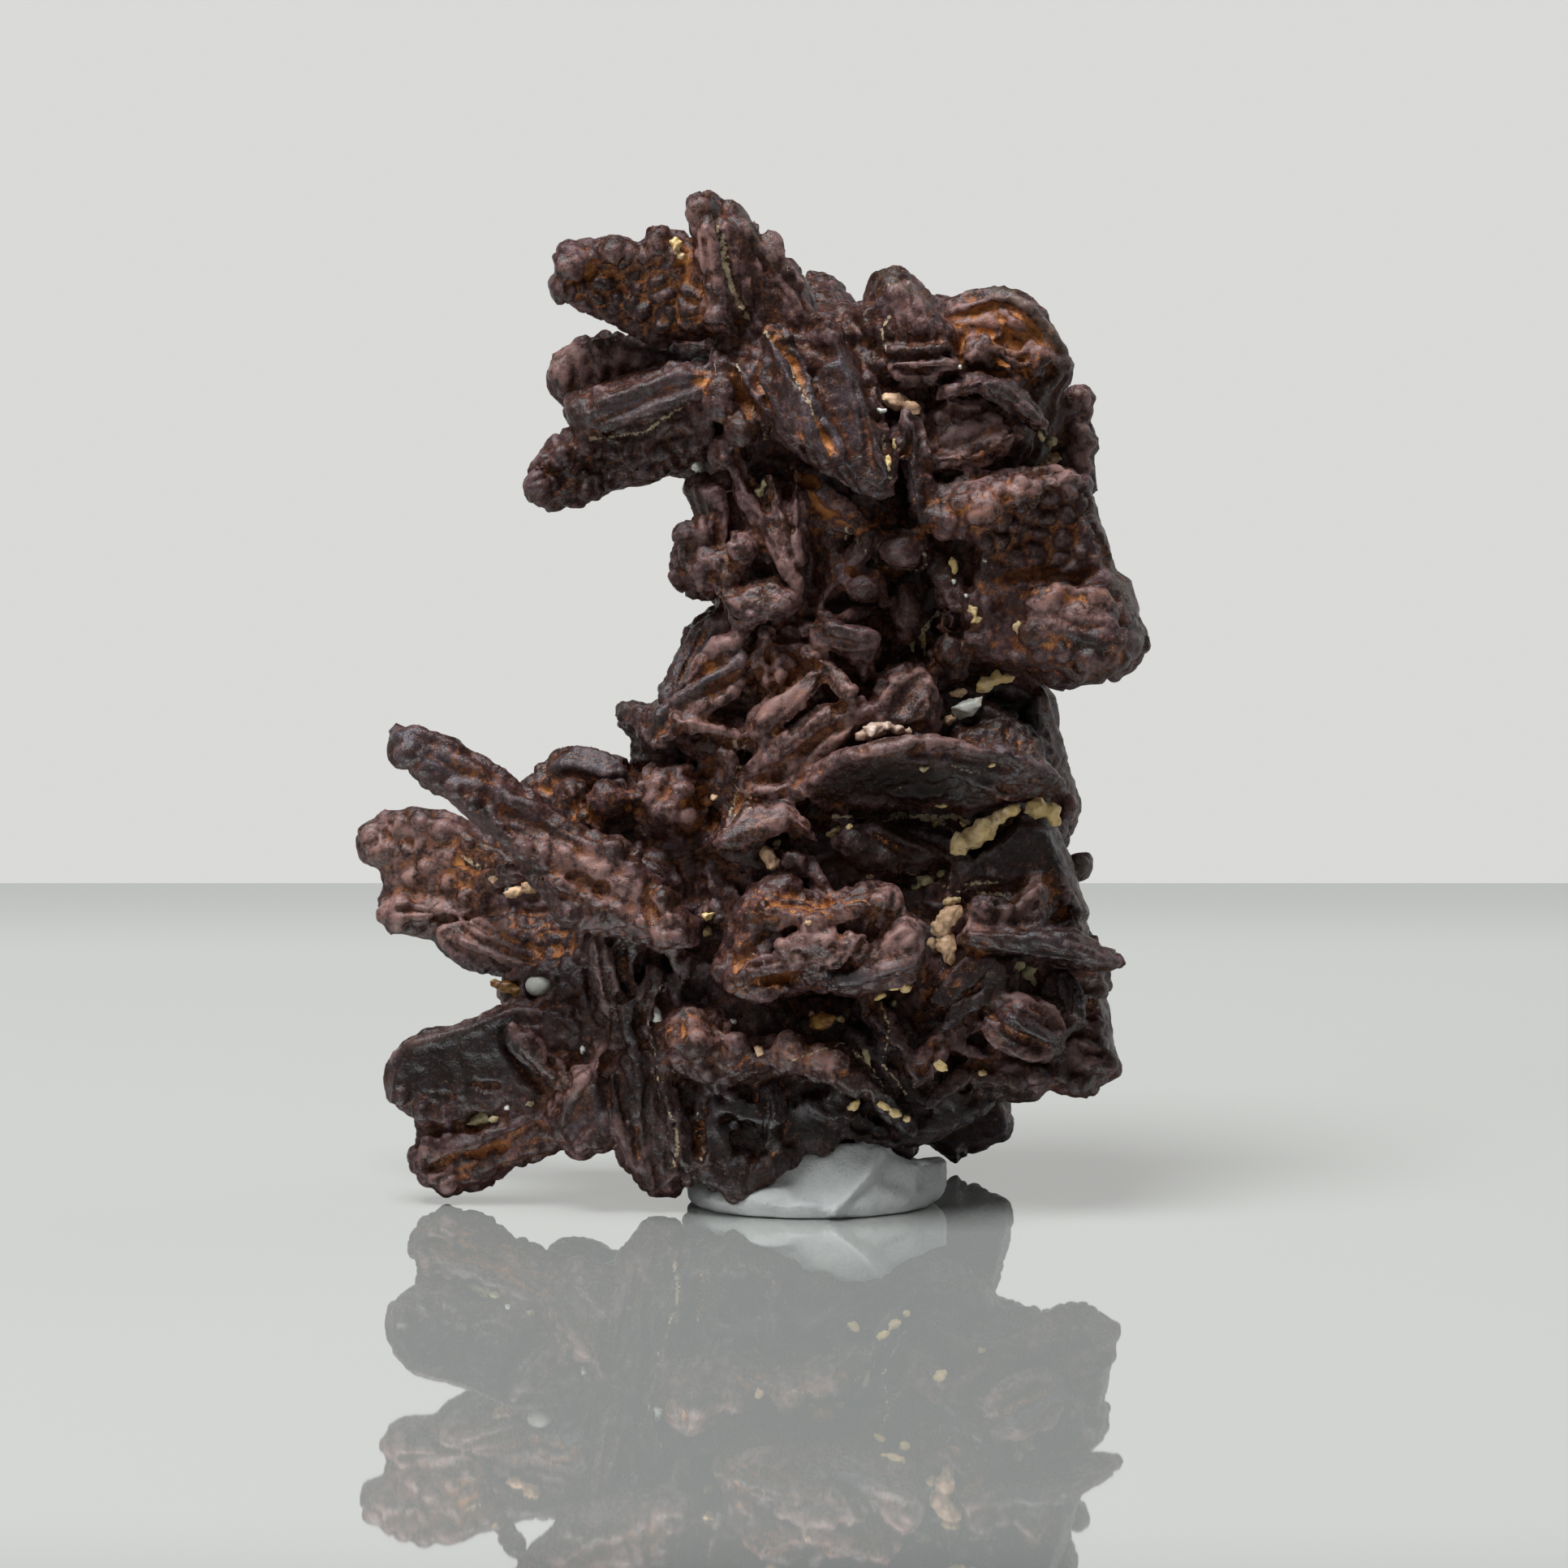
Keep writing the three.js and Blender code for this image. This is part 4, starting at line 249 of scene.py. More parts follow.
# Flat crystals with sharp edges: from, to, width, thickness, roll in degrees, lift.
crystals = [
    ((-20.6, 19.3), (-18.2, 20.2), 1, 0.6, 20, 0.6),
    ((-16.9, 25.9), (-14.5, 27.5), 1.3, 1.2, 0, 0.15),
    ((-14.8, 27.4), (-11.4, 25.9), 1.5, 1.2, -20, 0.2),
    ((-9.8, 25.8), (-7.2, 24.6), 1, 0.8, 25, 0.35),
    ((-9.4, 23.4), (-7.4, 24.2), 0.9, 0.8, -25, 0.35),
    ((13, 36.5), (18, 35.5), 1.7, 0.9, 18, 0.3),
    ((13.8, 34.2), (17.6, 34.9), 0.8, 0.7, -20, 0.35),
    ((15.2, 33.4), (18.8, 34.2), 1.1, 0.8, 30, 0.25),
    ((12.2, 33.2), (15, 32.6), 1, 0.7, -15, 0.25),
    ((11.8, 54.6), (14.9, 52.2), 1.3, 0.6, 20, 0.15),
    ((10.8, 52.4), (13.4, 51.2), 0.9, 0.6, -20, 0.15),
    ((-26, 28.6), (-20, 25), 2.5, 0.9, 0, 0.15),
    # the foot's own blades, over the putty
    ((-2.7, 7.2), (-2.2, 4.2), 1.5, 0.9, 10, 0.8), ((-2.6, 4), (-1.9, 1.9), 1.3, 0.8, 15, 0.6),
    ((-5.4, 5.6), (-5.9, 1.3), 2.2, 0.9, 15, 0.65),
    ((-8.3, 5.4), (-7.6, 1.6), 1.4, 0.9, -15, 0.5), ((-5.4, 6.4), (-2.6, 5.2), 0.5, 0.9, 0, 0.5),
    ((-6.2, 5.2), (-5.4, 1.2), 1.2, 0.5, 35, 0.4), ((-4.6, 5), (-4.6, 0.8), 1, 0.6, -30, 0.4),
    ((0.6, 6.4), (4.8, 3.8), 0.7, 0.8, 0, 0.5), ((1.6, 7.2), (5.8, 4.8), 0.5, 0.7, 20, 0.5),
    ((-1.2, 5.8), (1.8, 3.6), 0.9, 0.7, 10, 0.4), ((-0.4, 4), (2.6, 2.9), 0.8, 0.8, 0, 0.4),
    ((3.4, 4.4), (7.4, 3.4), 0.9, 0.8, 0, 0.4),
    # crest, across the crack and along it; steps of the peak
    ((-6.4, 57.4), (-3.2, 57), 6.4, 0.7, 0, 0.2),
    ((-6.7, 60), (-6.1, 55.4), 0.9, 0.6, 0, 0.5),
    ((-4.7, 60), (-3.3, 55.6), 0.7, 0.6, 10, 0.45),
    ((-3.6, 59), (-1.4, 54.8), 0.6, 0.5, 0, 0.4),
    ((-6.8, 54.8), (-4.2, 54.4), 2.6, 0.6, 0, 0.2),
    ((4.7, 51.3), (8.5, 51.45), 0.55, 0.7, 0, 0.55),
    ((4.7, 50.5), (8.4, 50.6), 0.45, 0.7, 0, 0.5), ((4.4, 52.15), (8.2, 52.3), 0.5, 0.6, 0, 0.45),
    # upper fan, knuckle, upright blade
    ((-6.2, 50.6), (-14.4, 47.8), 2.5, 1.2, 0, 0.5), ((1, 49.2), (3.9, 43.6), 1.3, 0.9, 0, 0.4),
    ((-2.8, 51.4), (0.2, 46.2), 2.3, 1, 10, 0.5), ((1.1, 51.6), (2.9, 45.8), 2.2, 1, -8, 0.5),
    ((3.3, 50.8), (4.5, 46.6), 1.2, 0.8, 12, 0.3), ((5.9, 48.2), (6.9, 40.4), 1.1, 0.8, -15, 0.6),
    ((5.1, 47.6), (5, 44), 0.8, 0.7, 15, 0.3), ((4.9, 56.2), (5.7, 52.6), 2.4, 0.8, 12, 0.3),
    ((5.6, 56.4), (7.6, 52.8), 1.2, 0.7, -25, 0.3),
    # waist
    ((0.3, 42.9), (4.6, 41.8), 1.1, 0.7, 30, 0.2), ((0.6, 41.5), (4.9, 40.9), 0.9, 0.6, 20, 0.2),
    ((-1.6, 37.8), (-4.4, 43.8), 1.3, 0.9, 20, 0.3),
    ((7, 39.4), (9.3, 35.8), 1, 0.7, -20, 0.4),
    ((-5.5, 36.4), (-0.9, 36.6), 1.9, 0.7, 30, 0.5),
    ((2, 35.6), (4.6, 36.4), 0.8, 0.6, -20, 0.3),
    ((-0.4, 36.8), (1.6, 34.8), 0.8, 0.6, 20, 0.3), ((7.9, 37.6), (8.4, 34.4), 0.8, 0.6, 10, 0.2),
    # stem
    ((-6.8, 36), (-9.3, 30.2), 2, 0.8, 25, 0.2),
    ((-3.6, 33.4), (-10.2, 28.4), 0.9, 0.8, -45, 0.6),
    ((-4.4, 32), (-8.8, 29.2), 1.8, 0.6, 20, 0.1),
    ((-12, 30), (-9.4, 29), 1.6, 0.8, 0, 0.2),
    ((-8.3, 29.3), (-4, 28.1), 0.9, 0.6, -30, 0.5),
    ((-3.9, 28.2), (0.7, 32.4), 1.7, 0.7, -30, 0.75),
    ((-3.2, 26.6), (1.9, 30.5), 1.6, 0.6, -25, 0.6),
    ((-0.5, 34), (2.7, 30.4), 1.3, 0.6, 25, 0.7),
    ((-0.1, 34.4), (4.3, 34.1), 0.9, 0.6, -30, 0.5), ((3, 31.2), (4.7, 34), 1.4, 0.6, 0, 0.3),
    ((5.5, 28.8), (5.7, 32.5), 4, 1, -8, 0.15),
    ((-5.4, 27.4), (-4.6, 24.6), 1, 0.7, 20, 0.3),
    ((-3.9, 25.8), (-1, 28.4), 1.1, 0.7, -20, 0.3),
    ((-5.9, 22.1), (-0.9, 23.4), 2, 0.8, 30, 0.5),
    ((-4.4, 24.9), (0.2, 24.8), 1, 0.6, 25, 0.5),
    ((-7.6, 27.8), (-4.6, 26.9), 0.9, 0.6, -20, 0.3),
    # chunky blade: its flat right end, its streaks, the bridge over its pit
    ((2.4, 14.2), (6.5, 15.8), 2.3, 0.7, 10, 0.25),
    ((-4.6, 13.8), (-1, 14.6), 1.3, 0.7, -10, 0.3),
    ((-3.4, 16.8), (-2.6, 13.6), 1.8, 0.6, 0, 0.25),
    ((-5.2, 12.6), (-1.8, 13.2), 0.7, 0.5, 20, 0.4), ((3.2, 16.8), (5.2, 18.2), 1.2, 0.6, 0, 0.3),
    # stem's left mass: a broken point, its folds, its gap
    ((-9.8, 25.6), (-7.2, 25.9), 2, 1.2, 20, 0.3),
    ((-10, 23.6), (-7.4, 24.2), 1.8, 1.1, -25, 0.35),
    ((-8.9, 26.4), (-8.4, 22.6), 1.6, 1.1, 20, 0.45),
    ((-7.6, 25.6), (-6.4, 22.6), 0.9, 0.8, -20, 0.2),
    # behind the long blade, in the scalloped paddle
    ((-25.4, 28.3), (-21.4, 26.8), 2.6, 0.8, -15, 0.25),
    ((-24.6, 28.7), (-16.8, 24.6), 0.7, 0.6, 0, 0.45),
    ((-14.8, 21.6), (-10.6, 19.4), 2, 0.7, 10, 0.2),
    ((-26.6, 22.2), (-23.6, 22), 2.4, 0.7, 0, 0.2),
    ((-26.4, 20.4), (-22.4, 20.2), 2.4, 0.7, 0, 0.15),
    ((-24, 18.4), (-20.8, 17.6), 1.8, 0.7, -10, 0.2),
    ((-15.9, 26.4), (-11.2, 26.3), 1.5, 0.9, 20, 0.3),
    ((-15.7, 27.2), (-13.4, 27.7), 1, 0.8, -10, 0.3),
    ((-20.7, 18.7), (-18, 20), 1, 0.6, 0, 0.3),
    # between the fans
    ((-13.4, 16.2), (-12.4, 11), 1.1, 0.8, 25, 0.4),
    ((-12.2, 15.8), (-11.8, 12.4), 0.9, 0.7, -20, 0.3),
    ((-10.1, 13.4), (-11.5, 10.6), 1, 0.7, 20, 0.4),
    ((-11.6, 11.4), (-10.6, 8.2), 0.9, 0.6, -15, 0.3),
    ((-9.6, 14.8), (-8, 12.8), 0.8, 0.6, 20, 0.3),
    ((-14.6, 13.6), (-13.4, 10.8), 0.9, 0.6, 20, 0.2),
    ((-8.9, 17), (-8.4, 13.8), 0.7, 0.5, 0, 0.3),
    ((-7.6, 15.6), (-6.4, 18), 0.8, 0.5, 20, 0.3),
    # foot: its left crystal, ribs, and the dark jumble over the putty
    ((-15.8, 3.6), (-13.4, 7.8), 2.2, 1.2, 20, 0.4),
    ((-14.8, 3.4), (-12.2, 3.4), 0.9, 0.6, 0, 0.3),
    ((-10.7, 8.6), (-10.9, 2.8), 1.1, 0.8, 20, 0.3),
    ((-9.3, 8), (-7.4, 1.4), 1.2, 0.8, -20, 0.3), ((-8.4, 6.2), (-8.2, 1.6), 0.8, 0.6, 25, 0.3),
    ((-11.8, 4.6), (-10.4, 1.2), 1, 0.7, -20, 0.2),
    ((-7, 5.8), (-6.4, 1), 1, 0.7, 20, 0.4), ((-6.4, 5.8), (-2.6, 4.8), 0.9, 0.6, -30, 0.6),
    ((-5.2, 4.6), (-4.4, 0.2), 1.2, 0.7, 15, 0.5), ((-3.4, 6.8), (-2.7, 3.6), 1.4, 0.8, 0, 0.5),
    ((-1.8, 6.4), (-1.6, 2.6), 1, 0.7, 20, 0.4), ((-0.8, 6.2), (3, 4), 1.3, 0.8, -25, 0.7),
    ((0.8, 6.8), (3.6, 5), 0.8, 0.6, 30, 0.4), ((3.4, 7), (6.4, 3.8), 1.3, 0.8, -20, 0.7),
    ((5.4, 6.4), (8.8, 5.6), 1, 0.6, 20, 0.4), ((7.4, 6.8), (10.8, 5.2), 1, 0.6, -15, 0.3),
    ((-3.2, 3.6), (-0.4, 1.2), 1.2, 0.7, 20, 0.3), ((-1, 3.8), (1.8, 2.2), 0.9, 0.6, -20, 0.3),
    ((2.4, 3.8), (5.4, 3), 0.9, 0.6, 15, 0.3), ((-5.8, 3), (-3.4, -0.2), 1.3, 0.8, -10, 0.3),
    ((-8.2, 3.2), (-5.8, 0.2), 1, 0.7, 15, 0.2), ((-4.2, 2.6), (-1.8, 0.2), 1, 0.7, -20, 0.2),
    # dark gaps in the middle
    ((2, 11.9), (4.4, 11.2), 0.9, 0.6, -20, 0.4), ((2.8, 10.6), (4.6, 8.2), 0.9, 0.6, 20, 0.4),
    ((4.8, 11.8), (5.4, 9.2), 0.8, 0.6, 0, 0.4), ((3.6, 9), (5.2, 6.8), 0.8, 0.6, 20, 0.4),
    ((5.6, 9.4), (6.6, 7), 0.8, 0.6, -20, 0.3), ((-5.6, 21.4), (-2.8, 20.2), 0.8, 0.5, 20, 0.4),
    ((-2, 21.9), (0.8, 19.3), 0.8, 0.5, -20, 0.5),
    ((-4.8, 20.3), (-1.6, 19.9), 0.6, 0.5, 0, 0.3), ((0.6, 22.6), (1.6, 20), 0.7, 0.5, 20, 0.3),
    ((-7.4, 20.8), (-5.4, 22.4), 0.8, 0.5, 20, 0.3),
    # right side
    ((2.2, 21.1), (7.4, 20), 1, 0.6, -20, 0.3), ((3.2, 23), (8.2, 20.7), 0.8, 0.6, 25, 0.5),
    ((4.4, 23), (8.8, 21.8), 0.9, 0.6, -20, 0.3),
    ((10, 22.6), (15, 20.2), 2.2, 0.8, 15, 0.2),
    ((9.4, 20.5), (12.8, 19.6), 1, 0.6, -10, 0.3),
    ((11.4, 16.8), (15, 17.2), 2.4, 0.8, 10, 0.2),
    ((12.6, 17.6), (14.2, 20), 0.8, 0.6, -25, 0.4),
    ((9.2, 15.9), (18.6, 14.6), 1.2, 0.8, 25, 0.4),
    ((14.5, 13.7), (16.3, 11), 2.6, 0.8, 20, 0.3),
    ((11.4, 12), (15.8, 10.2), 2.2, 0.7, 0, 0.3),
    ((10.6, 10.6), (15, 8.6), 1.2, 0.7, -15, 0.3),
    ((14.6, 31.2), (15, 26.4), 1.4, 0.8, 0, 0.2),
    ((9, 30.6), (13.6, 28.4), 1.2, 0.6, 15, 0.2), ((6.2, 11.8), (8.8, 15.4), 1.1, 0.7, 25, 0.4),
    ((7.4, 11.4), (10.4, 15.2), 1.1, 0.7, -20, 0.4),
    ((8.2, 10.6), (11, 12.6), 1, 0.6, 20, 0.3), ((6.4, 7.5), (7.9, 10), 1.2, 0.8, 0, 0.4),
    ((8.6, 9.6), (11.2, 8.2), 0.9, 0.6, 20, 0.3), ((11.6, 8), (15.4, 7.2), 0.9, 0.6, -20, 0.2),
    ((17, 13.6), (17.4, 9.8), 1.2, 0.6, 0, 0.2),
]

# Smooth swellings: across, up, half width, half height, how far they stand out.
swellings = [
    (-1.6, 3, 1.3, 1.6, 0.3), (0.6, 4, 1.6, 1.7, 0.3), (3.4, 4.4, 1.8, 1.8, 0.3),
    (6.6, 4.8, 1.4, 1.9, 0.3), (5.35, 39.8, 1.3, 1.05, 0.75), (3.3, 37.5, 1.15, 0.9, 0.6),
    (9.5, 46.9, 2.2, 1.45, 0.6), (15.9, 35.5, 2.9, 1.7, 0.6), (17.6, 34.4, 2, 1.3, 0.5),
    (14, 34.6, 1.6, 1.2, 0.4), (18.9, 33.1, 1.1, 1, 0.5), (0.9, 15, 3, 1.4, 0.5),
    (2.3, 17.6, 1.3, 0.7, 0.5), (0.1, 17.3, 0.9, 0.5, 0.4), (-1.6, 19.2, 1.1, 0.8, 0.5),
    (1.9, 18.4, 1.4, 0.6, 0.3), (-1.9, 13.5, 1.3, 0.7, 0.5), (-6.5, 9.2, 1.5, 1.3, 0.5),
    (-7.6, 11.2, 1.2, 1, 0.4), (-1.5, 9.1, 1.1, 1, 0.4), (-8.2, 24.9, 0.9, 0.8, 1),
    (-9.4, 23.6, 0.7, 0.7, 0.9), (10.7, 17.8, 1.2, 0.8, 0.4), (4.7, 21, 1.2, 0.9, 0.4),
    (-2.6, 57.2, 1.2, 2.4, 0.2), (11.1, 25, 1, 0.6, 0.3), (6.2, 25, 2.4, 0.9, 0.3),
    (9.4, 26, 1.4, 0.6, 0.2), (-14.6, 24.6, 1.1, 1, 0.4), (-12.3, 24.4, 1.2, 1.1, 0.4),
]

grown = bmesh.new()
grown.from_mesh(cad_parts["goethite_cluster"].data)
bmesh.ops.remove_doubles(grown, verts=grown.verts, dist=1e-7)
bmesh.ops.scale(grown, vec=Vector((1, 1, 1)) / mm, verts=grown.verts)
solid_surface = BVHTree.FromBMesh(grown)


def add_lump(middle, axes, radii):
    """Grows a round lump on the body: its middle, three axes and its radius along each."""
    turned = Matrix((axes[0], axes[1], axes[2])).transposed().to_4x4()
    stretched = Matrix.Diagonal((*radii, 1))
    bmesh.ops.create_icosphere(
        grown,
        subdivisions=2,
        radius=1,
        matrix=Matrix.Translation(middle) @ turned @ stretched,
    )


def axes_along(direction, outward):
    """Three axes at right angles: along a direction, sideways, and outward."""
    along = direction.normalized()
    sideways = outward.cross(along).normalized()
    return along, sideways, along.cross(sideways)


knob_sink = 0.45
for across, up, radius in knobs:
    point, outward = on_face(solid_surface, across, up, radius)
    if point is None:
        continue
    middle = point - outward * knob_sink * radius
    add_lump(middle, axes_along(rightwards, outward), (radius, radius, radius))

finger_sink, finger_end, finger_depth = 0.12, 0.6, 0.9
for start, end, width in fingers:
    (a, facing_a), (b, facing_b) = on_face(solid_surface, *start), on_face(solid_surface, *end)
    if a is None or b is None:
        continue
    outward = (facing_a + facing_b + to_viewer).normalized()
    half = width / 2
    axes = axes_along(b - a, outward)
    add_lump(
        (a + b) / 2 - outward * finger_sink * width,
        axes,
        ((b - a).length / 2 + finger_end * half, half, finger_depth * half),
    )

# The outline of a flat crystal, in halves of its length and width, one chisel end blunter.
outline = [
    (-1, -0.4), (-0.72, -1), (0.7, -1), (1, -0.25), (1, 0.35), (0.78, 1), (-0.66, 1), (-1, 0.5),
]
# How deep a crystal sits; then for its back and its front, how far out of its middle, in
# thicknesses, and how wide.
crystal_sink = 0.35
crystal_sides = ((-0.7, 1.0), (0.5, 0.82))
for start, end, width, thickness, roll, lift in crystals:
    (a, facing_a), (b, facing_b) = on_face(solid_surface, *start), on_face(solid_surface, *end)
    if a is None or b is None:
        continue
    outward = (facing_a + facing_b + 2 * to_viewer).normalized()
    along, sideways, out = axes_along(b - a, outward)
    turn = Matrix.Rotation(math.radians(roll), 3, along)
    sideways, out = turn @ sideways, turn @ out
    middle = (a + b) / 2 + outward * (lift - crystal_sink)
    half_length, half_width = (b - a).length / 2, width / 2
    rings = []
    for side, shrink in crystal_sides:
        ring = [
            middle
            + along * x * half_length * (shrink + 1) / 2
            + sideways * y * half_width * shrink
            + out * side * thickness
            for x, y in outline
        ]
        rings.append([grown.verts.new(place) for place in ring])
    bottom, top = rings
    grown.faces.new(bottom[::-1])
    grown.faces.new(top)
    for k in range(len(outline)):
        following = (k + 1) % len(outline)
        grown.faces.new((bottom[k], bottom[following], top[following], top[k]))

swelling_sink = 0.5
for across, up, half_width, half_height, standing in swellings:
    point, outward = on_face(solid_surface, across, up)
    if point is None:
        continue
    outward = (outward + to_viewer).normalized()
    middle = point - outward * swelling_sink
    swelling = (half_width, half_height, standing + swelling_sink)
    add_lump(middle, axes_along(rightwards, outward), swelling)

# Lumps that stand clear of the face behind them, each set out from a place on its root or rim:
# that place across and up; from it across, up and out; half length, width and depth; turn.
clear_lumps = [
    # the foot's lobe in front of the putty, a blunt V
    (-4.8, 2.4, 0.3, -1.1, 0.3, 1.9, 1.3, 1.1, 90),
    (-4.8, 2.4, -1.3, -0.8, 0.3, 2.1, 1, 1.1, -38),
    (-4.8, 2.4, 1.9, -0.7, 0.3, 2.4, 1, 1.1, 36),
    # the round leaf's face and its knobs
    (-14.8, 50.8, 1.9, 0.2, -0.6, 3, 1.3, 1, 20),
    (-14.8, 50.8, 0.9, 0.2, 0, 0.7, 0.6, 0.6, 0),
    (-14.8, 50.8, 1.9, 0.9, 0, 0.7, 0.6, 0.6, 30),
    (-14.8, 50.8, 2.5, 0.1, 0.1, 0.8, 0.6, 0.6, 0),
    (-14.8, 50.8, 3.5, 0.9, 0, 0.7, 0.6, 0.6, 20),
]
for (
    across, up, rightward, upward, outward, half_length, half_width, half_depth, turn
) in clear_lumps:
    root, _ = on_face(solid_surface, across, up)
    turn = math.radians(turn)
    add_lump(
        root + rightwards * rightward + upwards * upward + to_viewer * outward,
        (
            rightwards * math.cos(turn) + upwards * math.sin(turn),
            upwards * math.cos(turn) - rightwards * math.sin(turn),
            to_viewer,
        ),
        (half_length, half_width, half_depth),
    )

grown_mesh = bpy.data.meshes.new("grown")
grown.to_mesh(grown_mesh)
grown.free()
shell = bpy.data.objects.new("grown", grown_mesh)
bpy.context.scene.collection.objects.link(shell)
joining = shell.modifiers.new("joined", "REMESH")
joining.mode = "VOXEL"
joining.voxel_size = voxel
seen = shell.evaluated_get(bpy.context.evaluated_depsgraph_get())
joined = bpy.data.meshes.new_from_object(seen)
bpy.data.objects.remove(shell)

count = len(joined.vertices)
points = np.empty(count * 3)
joined.vertices.foreach_get("co", points)
points = points.reshape(-1, 3)
quads = np.empty(len(joined.polygons) * 4, np.int32)
joined.loops.foreach_get("vertex_index", quads)
quads = quads.reshape(-1, 4)
bpy.data.meshes.remove(joined)
steps = np.vstack([quads[:, [i, (i + 1) % 4]] for i in range(4)])
steps = np.vstack([steps, steps[:, ::-1]])
neighbours = np.bincount(steps[:, 0], minlength=count)


def eased(values, times):
    """Values at the vertices, each drawn halfway to the mean of its neighbours, several times."""
    for _ in range(times):
        columns = [
            np.bincount(steps[:, 0], column[steps[:, 1]], minlength=count) / neighbours
            for column in values.reshape(count, -1).T
        ]
        values = 0.5 * values + 0.5 * np.stack(columns, 1).reshape(values.shape)
    return values


def facing(points):
    """The direction in which the surface faces at each vertex."""
    across = points[quads[:, 2]] - points[quads[:, 0]]
    down = points[quads[:, 3]] - points[quads[:, 1]]
    crossed = np.cross(across, down)
    total = np.stack(
        [
            sum(np.bincount(quads[:, i], crossed[:, k], minlength=count) for i in range(4))
            for k in range(3)
        ],
        1,
    )
    return total / np.maximum(np.linalg.norm(total, axis=1), 1e-12)[:, None]


points = eased(points, 2)
outwards = facing(points)
surface = BVHTree.FromPolygons(points.tolist(), quads.tolist())


def path_over(places, spacing=0.22):
    """Points on the surface under a line drawn on the display face, its gaps closed up."""
    spots = [Vector(place) for place in places]
    drawn = [spots[0]]
    for a, b in zip(spots, spots[1:]):
        pieces = max(1, round((b - a).length / spacing))
        drawn += [a.lerp(b, (i + 1) / pieces) for i in range(pieces)]
    found = []
    for spot in drawn:
        point, _ = on_face(surface, spot.x, spot.y)
        if point is not None:
            found.append(point)
    if not found:
        return np.zeros((0, 3))
    found = np.array(found)
    depth = found @ np.array(to_viewer)
    padded = np.pad(depth, 2, "edge")
    level = np.median(np.stack([padded[i : i + len(depth)] for i in range(5)]), 0)
    return found + np.outer(level - depth, to_viewer)


def close_to(path, reach):
    """Vertices within reach of a path: which ones, how far, and the nearest path point."""
    near = np.ones(count, bool)
    for k in range(3):
        near &= (points[:, k] > path[:, k].min() - reach) & (
            points[:, k] < path[:, k].max() + reach
        )
    which = np.flatnonzero(near)
    gap = np.linalg.norm(points[which, None] - path[None], axis=2)
    nearest = gap.argmin(1)
    far = gap[np.arange(len(which)), nearest]
    held = far < reach
    return which[held], far[held], nearest[held]


def tapered(nearest, length):
    """1 along most of a path, less towards its ends."""
    if length < 4:
        return np.ones(len(nearest))
    share = nearest / (length - 1)
    return np.clip(np.minimum(share, 1 - share) / 0.16 + 0.25, 0, 1)


